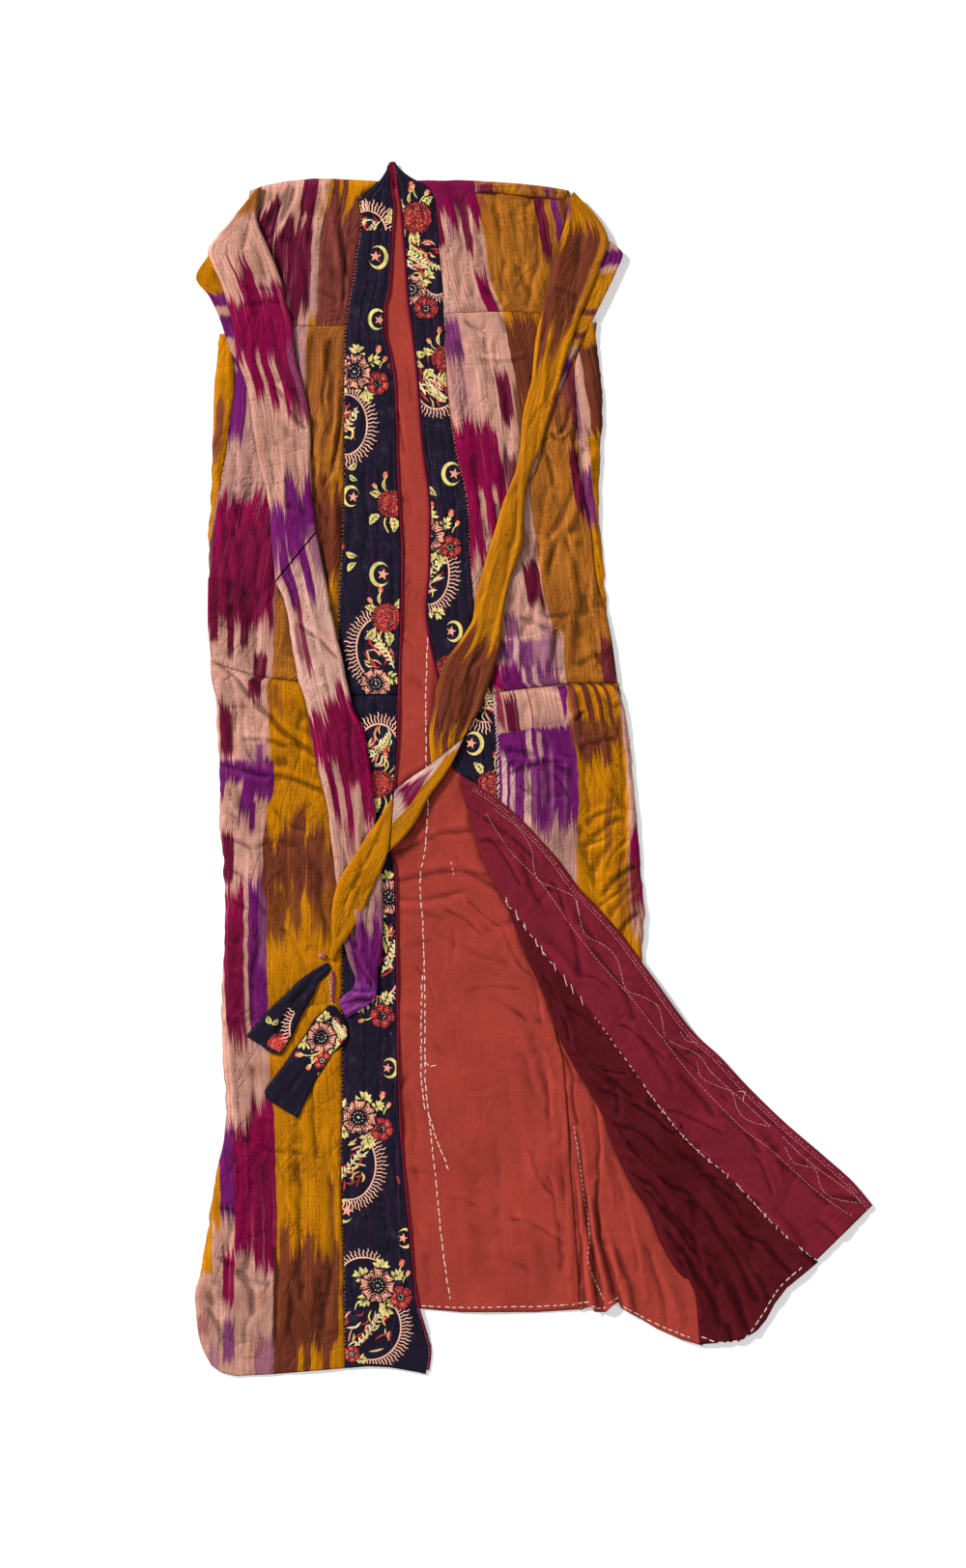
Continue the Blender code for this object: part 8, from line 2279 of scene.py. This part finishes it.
def cord_mesh(name, pts, radius, mat, sides=10, twist=3.0, lobes=2, lump=0.16, node=None):
    """A twisted cord through points in metres."""
    pts = np.array(pts, float)
    run = np.concatenate([[0], np.cumsum(np.linalg.norm(np.diff(pts, axis=0), axis=1))])
    q = np.arange(0, run[-1], radius * 0.35)
    p = np.stack([smooth(run, pts[:, k], q) for k in range(3)], axis=1)
    d = np.gradient(p, axis=0)
    d /= np.linalg.norm(d, axis=1)[:, None]
    u = np.cross(d, [0, 0, 1.0])
    u /= np.maximum(np.linalg.norm(u, axis=1)[:, None], 1e-9)
    v = np.cross(u, d)
    a = np.linspace(0, 2 * math.pi, sides, endpoint=False)
    r = radius * (1 + lump * np.cos(lobes * (a[None, :] - q[:, None] / radius / twist)))
    ring = p[:, None, :] + r[..., None] * (np.cos(a)[None, :, None] * u[:, None, :]
                                           + np.sin(a)[None, :, None] * v[:, None, :])
    g = ring.reshape(-1, 3)
    n = len(q)
    faces = [tuple(f) for f in grid_faces(n, sides, ring=True)]
    faces += [tuple(range(sides)), tuple(range((n - 1) * sides, n * sides))[::-1]]
    weave = np.stack([np.repeat(a[None, :] * 6, n, 0), np.repeat(q[:, None] / SQ, sides, 1),
                      np.zeros((n, sides))], axis=-1)
    ob = put(name, g, faces, mat, weave.reshape(-1, 3))
    if node:
        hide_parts(node)
    return ob, float(run[-1])


M_TIE = plain("tie_silk", lin(122, 48, 110), 26, 0.12, 0.3, 0.6, 1.0, lin(170, 110, 150))
M_KNOT = plain("knot_silk", lin(176, 106, 92), 27, 0.2, 0.3, 0.7, 1.0, lin(110, 50, 60))
tie_pts = [((x - PLAN_X) * SQ, (PLAN_Y - y) * SQ, z) for x, y, z in zip(TIE["x"], TIE["y"], TIE["z"])]
tie, tie_len = cord_mesh("tie_cord_silk", tie_pts, 0.0014, M_TIE, node="tie_cord")
tuple(tie_pts[0])


def knot_mesh():
    """A small gathered knot: wound turns of cloth."""
    n, m = 34, 24
    th = np.linspace(0.02, math.pi - 0.02, n)
    ph = np.linspace(0, 2 * math.pi, m, endpoint=False)
    t, p = np.meshgrid(th, ph, indexing="ij")
    r = 1 + 0.13 * np.sin(3 * p + 4 * t) + 0.07 * np.sin(7 * p - 5 * t) - 0.16 * np.exp(-((t - 1.5 + 0.3 * np.sin(p)) / 0.16) ** 2)
    cx, cy, cz = (333.5 - PLAN_X) * SQ, (PLAN_Y - 989.5) * SQ, 0.0080
    pts = np.stack([cx + 0.0044 * r * np.sin(t) * np.cos(p), cy + 0.0034 * r * np.sin(t) * np.sin(p),
                    cz + 0.0022 * r * np.cos(t)], axis=-1).reshape(-1, 3)
    faces = [tuple(f) for f in grid_faces(n, m, ring=True, flip=True)]
    faces += [tuple(range(m))[::-1], tuple(range((n - 1) * m, n * m))]
    ob = put("tie_knot_silk", pts, faces, M_KNOT, np.stack([p * 6, t * 10, 0 * t], axis=-1).reshape(-1, 3))
    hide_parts("tie_knot")


knot_mesh()


# ------------------------------------------------------------------ painted shadow: the cloth's colour is darkened close beside what lies over it
def paint_contact_shadow():
    cell = 2.5
    nx, ny = int(760 / cell), int(1300 / cell)
    top = np.zeros((ny, nx))
    kept = {}
    for name, ob in MADE.items():
        me = ob.data
        co = np.empty(len(me.vertices) * 3)
        me.vertices.foreach_get("co", co)
        co = co.reshape(-1, 3)
        px, py = co[:, 0] / SQ + PLAN_X - 170, PLAN_Y - co[:, 1] / SQ - 140
        i, j = np.clip((py / cell).astype(int), 0, ny - 1), np.clip((px / cell).astype(int), 0, nx - 1)
        kept[name] = (me, co, i, j, py / cell, px / cell)
        if name.endswith("_cloth"):
            np.maximum.at(top, (i, j), co[:, 2])
    soft = top.copy()
    for _ in range(2):
        for ax in (0, 1):
            soft = sum(np.roll(soft, k, axis=ax) for k in (-2, -1, 0, 1, 2)) / 5
    near = top.copy()
    for ax in (0, 1):
        near = sum(np.roll(near, k, axis=ax) for k in (-1, 0, 1)) / 3
    for name, (me, co, i, j, fy, fx) in kept.items():
        if not name.endswith("_cloth") or name.startswith(("back_panel", "flap_band", "flap_front")):
            continue
        a, b = np.clip(fy - 0.5, 0, ny - 1.001), np.clip(fx - 0.5, 0, nx - 1.001)
        k, l = a.astype(int), b.astype(int)
        ta, tb = a - k, b - l

        def at(g):
            return ((g[k, l] * (1 - tb) + g[k, l + 1] * tb) * (1 - ta) + (g[k + 1, l] * (1 - tb) + g[k + 1, l + 1] * tb) * ta)
        # painted shadow: darker where the cloth lies below the blurred height of what is near it, most in a narrow band
        # right beside a higher piece
        painted_shade = np.clip((at(soft) - co[:, 2] - 0.0004) / 0.0042, 0, 1) * 0.75 + np.clip((at(near) - co[:, 2] - 0.0012) / 0.0030, 0, 1) * 0.35
        at_ = me.attributes["weave"]
        w = np.empty(len(me.vertices) * 3, np.float32)
        at_.data.foreach_get("vector", w)
        w = w.reshape(-1, 3)
        # the painted crease shade is kept at 0.8 and the painted shadow is added to it
        w[:, 2] = np.clip(w[:, 2] * 0.8 + painted_shade, -1, 1)
        at_.data.foreach_set("vector", w.reshape(-1))


paint_contact_shadow()
# ------------------------------------------------------------------ surface, light and camera
def stage_mesh():
    me = bpy.data.meshes.new("floor_sheet")
    n = 40
    g = np.linspace(-6.0, 6.0, n)
    gx, gy = np.meshgrid(g, g)
    pts = np.stack([gx, gy, np.full(gx.shape, -0.0003)], axis=-1).reshape(-1, 3)
    me.from_pydata(pts, [], grid_faces(n, n, flip=True))
    me.update()
    ob = bpy.data.objects.new("floor_sheet", me)
    bpy.context.collection.objects.link(ob)
    m = bpy.data.materials.new("floor_paper")
    m.use_nodes = True
    b = m.node_tree.nodes["Principled BSDF"]
    b.inputs["Base Color"].default_value = (0.93, 0.93, 0.93, 1)
    b.inputs["Roughness"].default_value = 0.95
    b.inputs["Specular IOR Level"].default_value = 0.1
    b.inputs["Emission Color"].default_value = (1, 1, 1, 1)
    b.inputs["Emission Strength"].default_value = 0.28
    me.materials.append(m)


def light(name, at, to, size, power, tone=(1, 1, 1)):
    d = bpy.data.lights.new(name, "AREA")
    d.shape, d.size, d.energy, d.color = "DISK", size, power, tone
    ob = bpy.data.objects.new(name, d)
    bpy.context.collection.objects.link(ob)
    ob.location = at
    v = np.array(to, float) - np.array(at, float)
    ob.rotation_mode = "QUATERNION"
    from mathutils import Vector
    ob.rotation_quaternion = Vector(v).to_track_quat("-Z", "Y")


stage_mesh()
light("key", (-8.2, 6.6, 5.6), (0, 0, 0), 2.2, KEY)
light("fill", (7.0, -1.5, 6.0), (0, 0, 0), 4.0, FILL)
light("front", (0.6, -6.5, 6.0), (0, 0, 0), 4.0, FRONT)
world = bpy.data.worlds.new("studio")
world.use_nodes = True
bg = world.node_tree.nodes["Background"]
bg.inputs[0].default_value = (1, 1, 1, 1)
bg.inputs[1].default_value = SKY
bpy.context.scene.world = world

cam = bpy.data.cameras.new("camera")
cam.lens, cam.sensor_width, cam.sensor_fit = 120, 36, "AUTO"
cam_ob = bpy.data.objects.new("camera", cam)
bpy.context.collection.objects.link(cam_ob)
cam_ob.location = ((500 - PLAN_X) * SQ, (PLAN_Y - 812) * SQ, 120 / 36 * 1624 * SQ)
cam_ob.rotation_euler = (0, 0, 0)
bpy.context.scene.camera = cam_ob
bpy.context.scene.view_settings.view_transform = "Standard"

tris = sum(sum(len(p.vertices) - 2 for p in o.data.polygons) for o in MADE.values())
print("triangles", tris)
print("sheets", SHEETS)
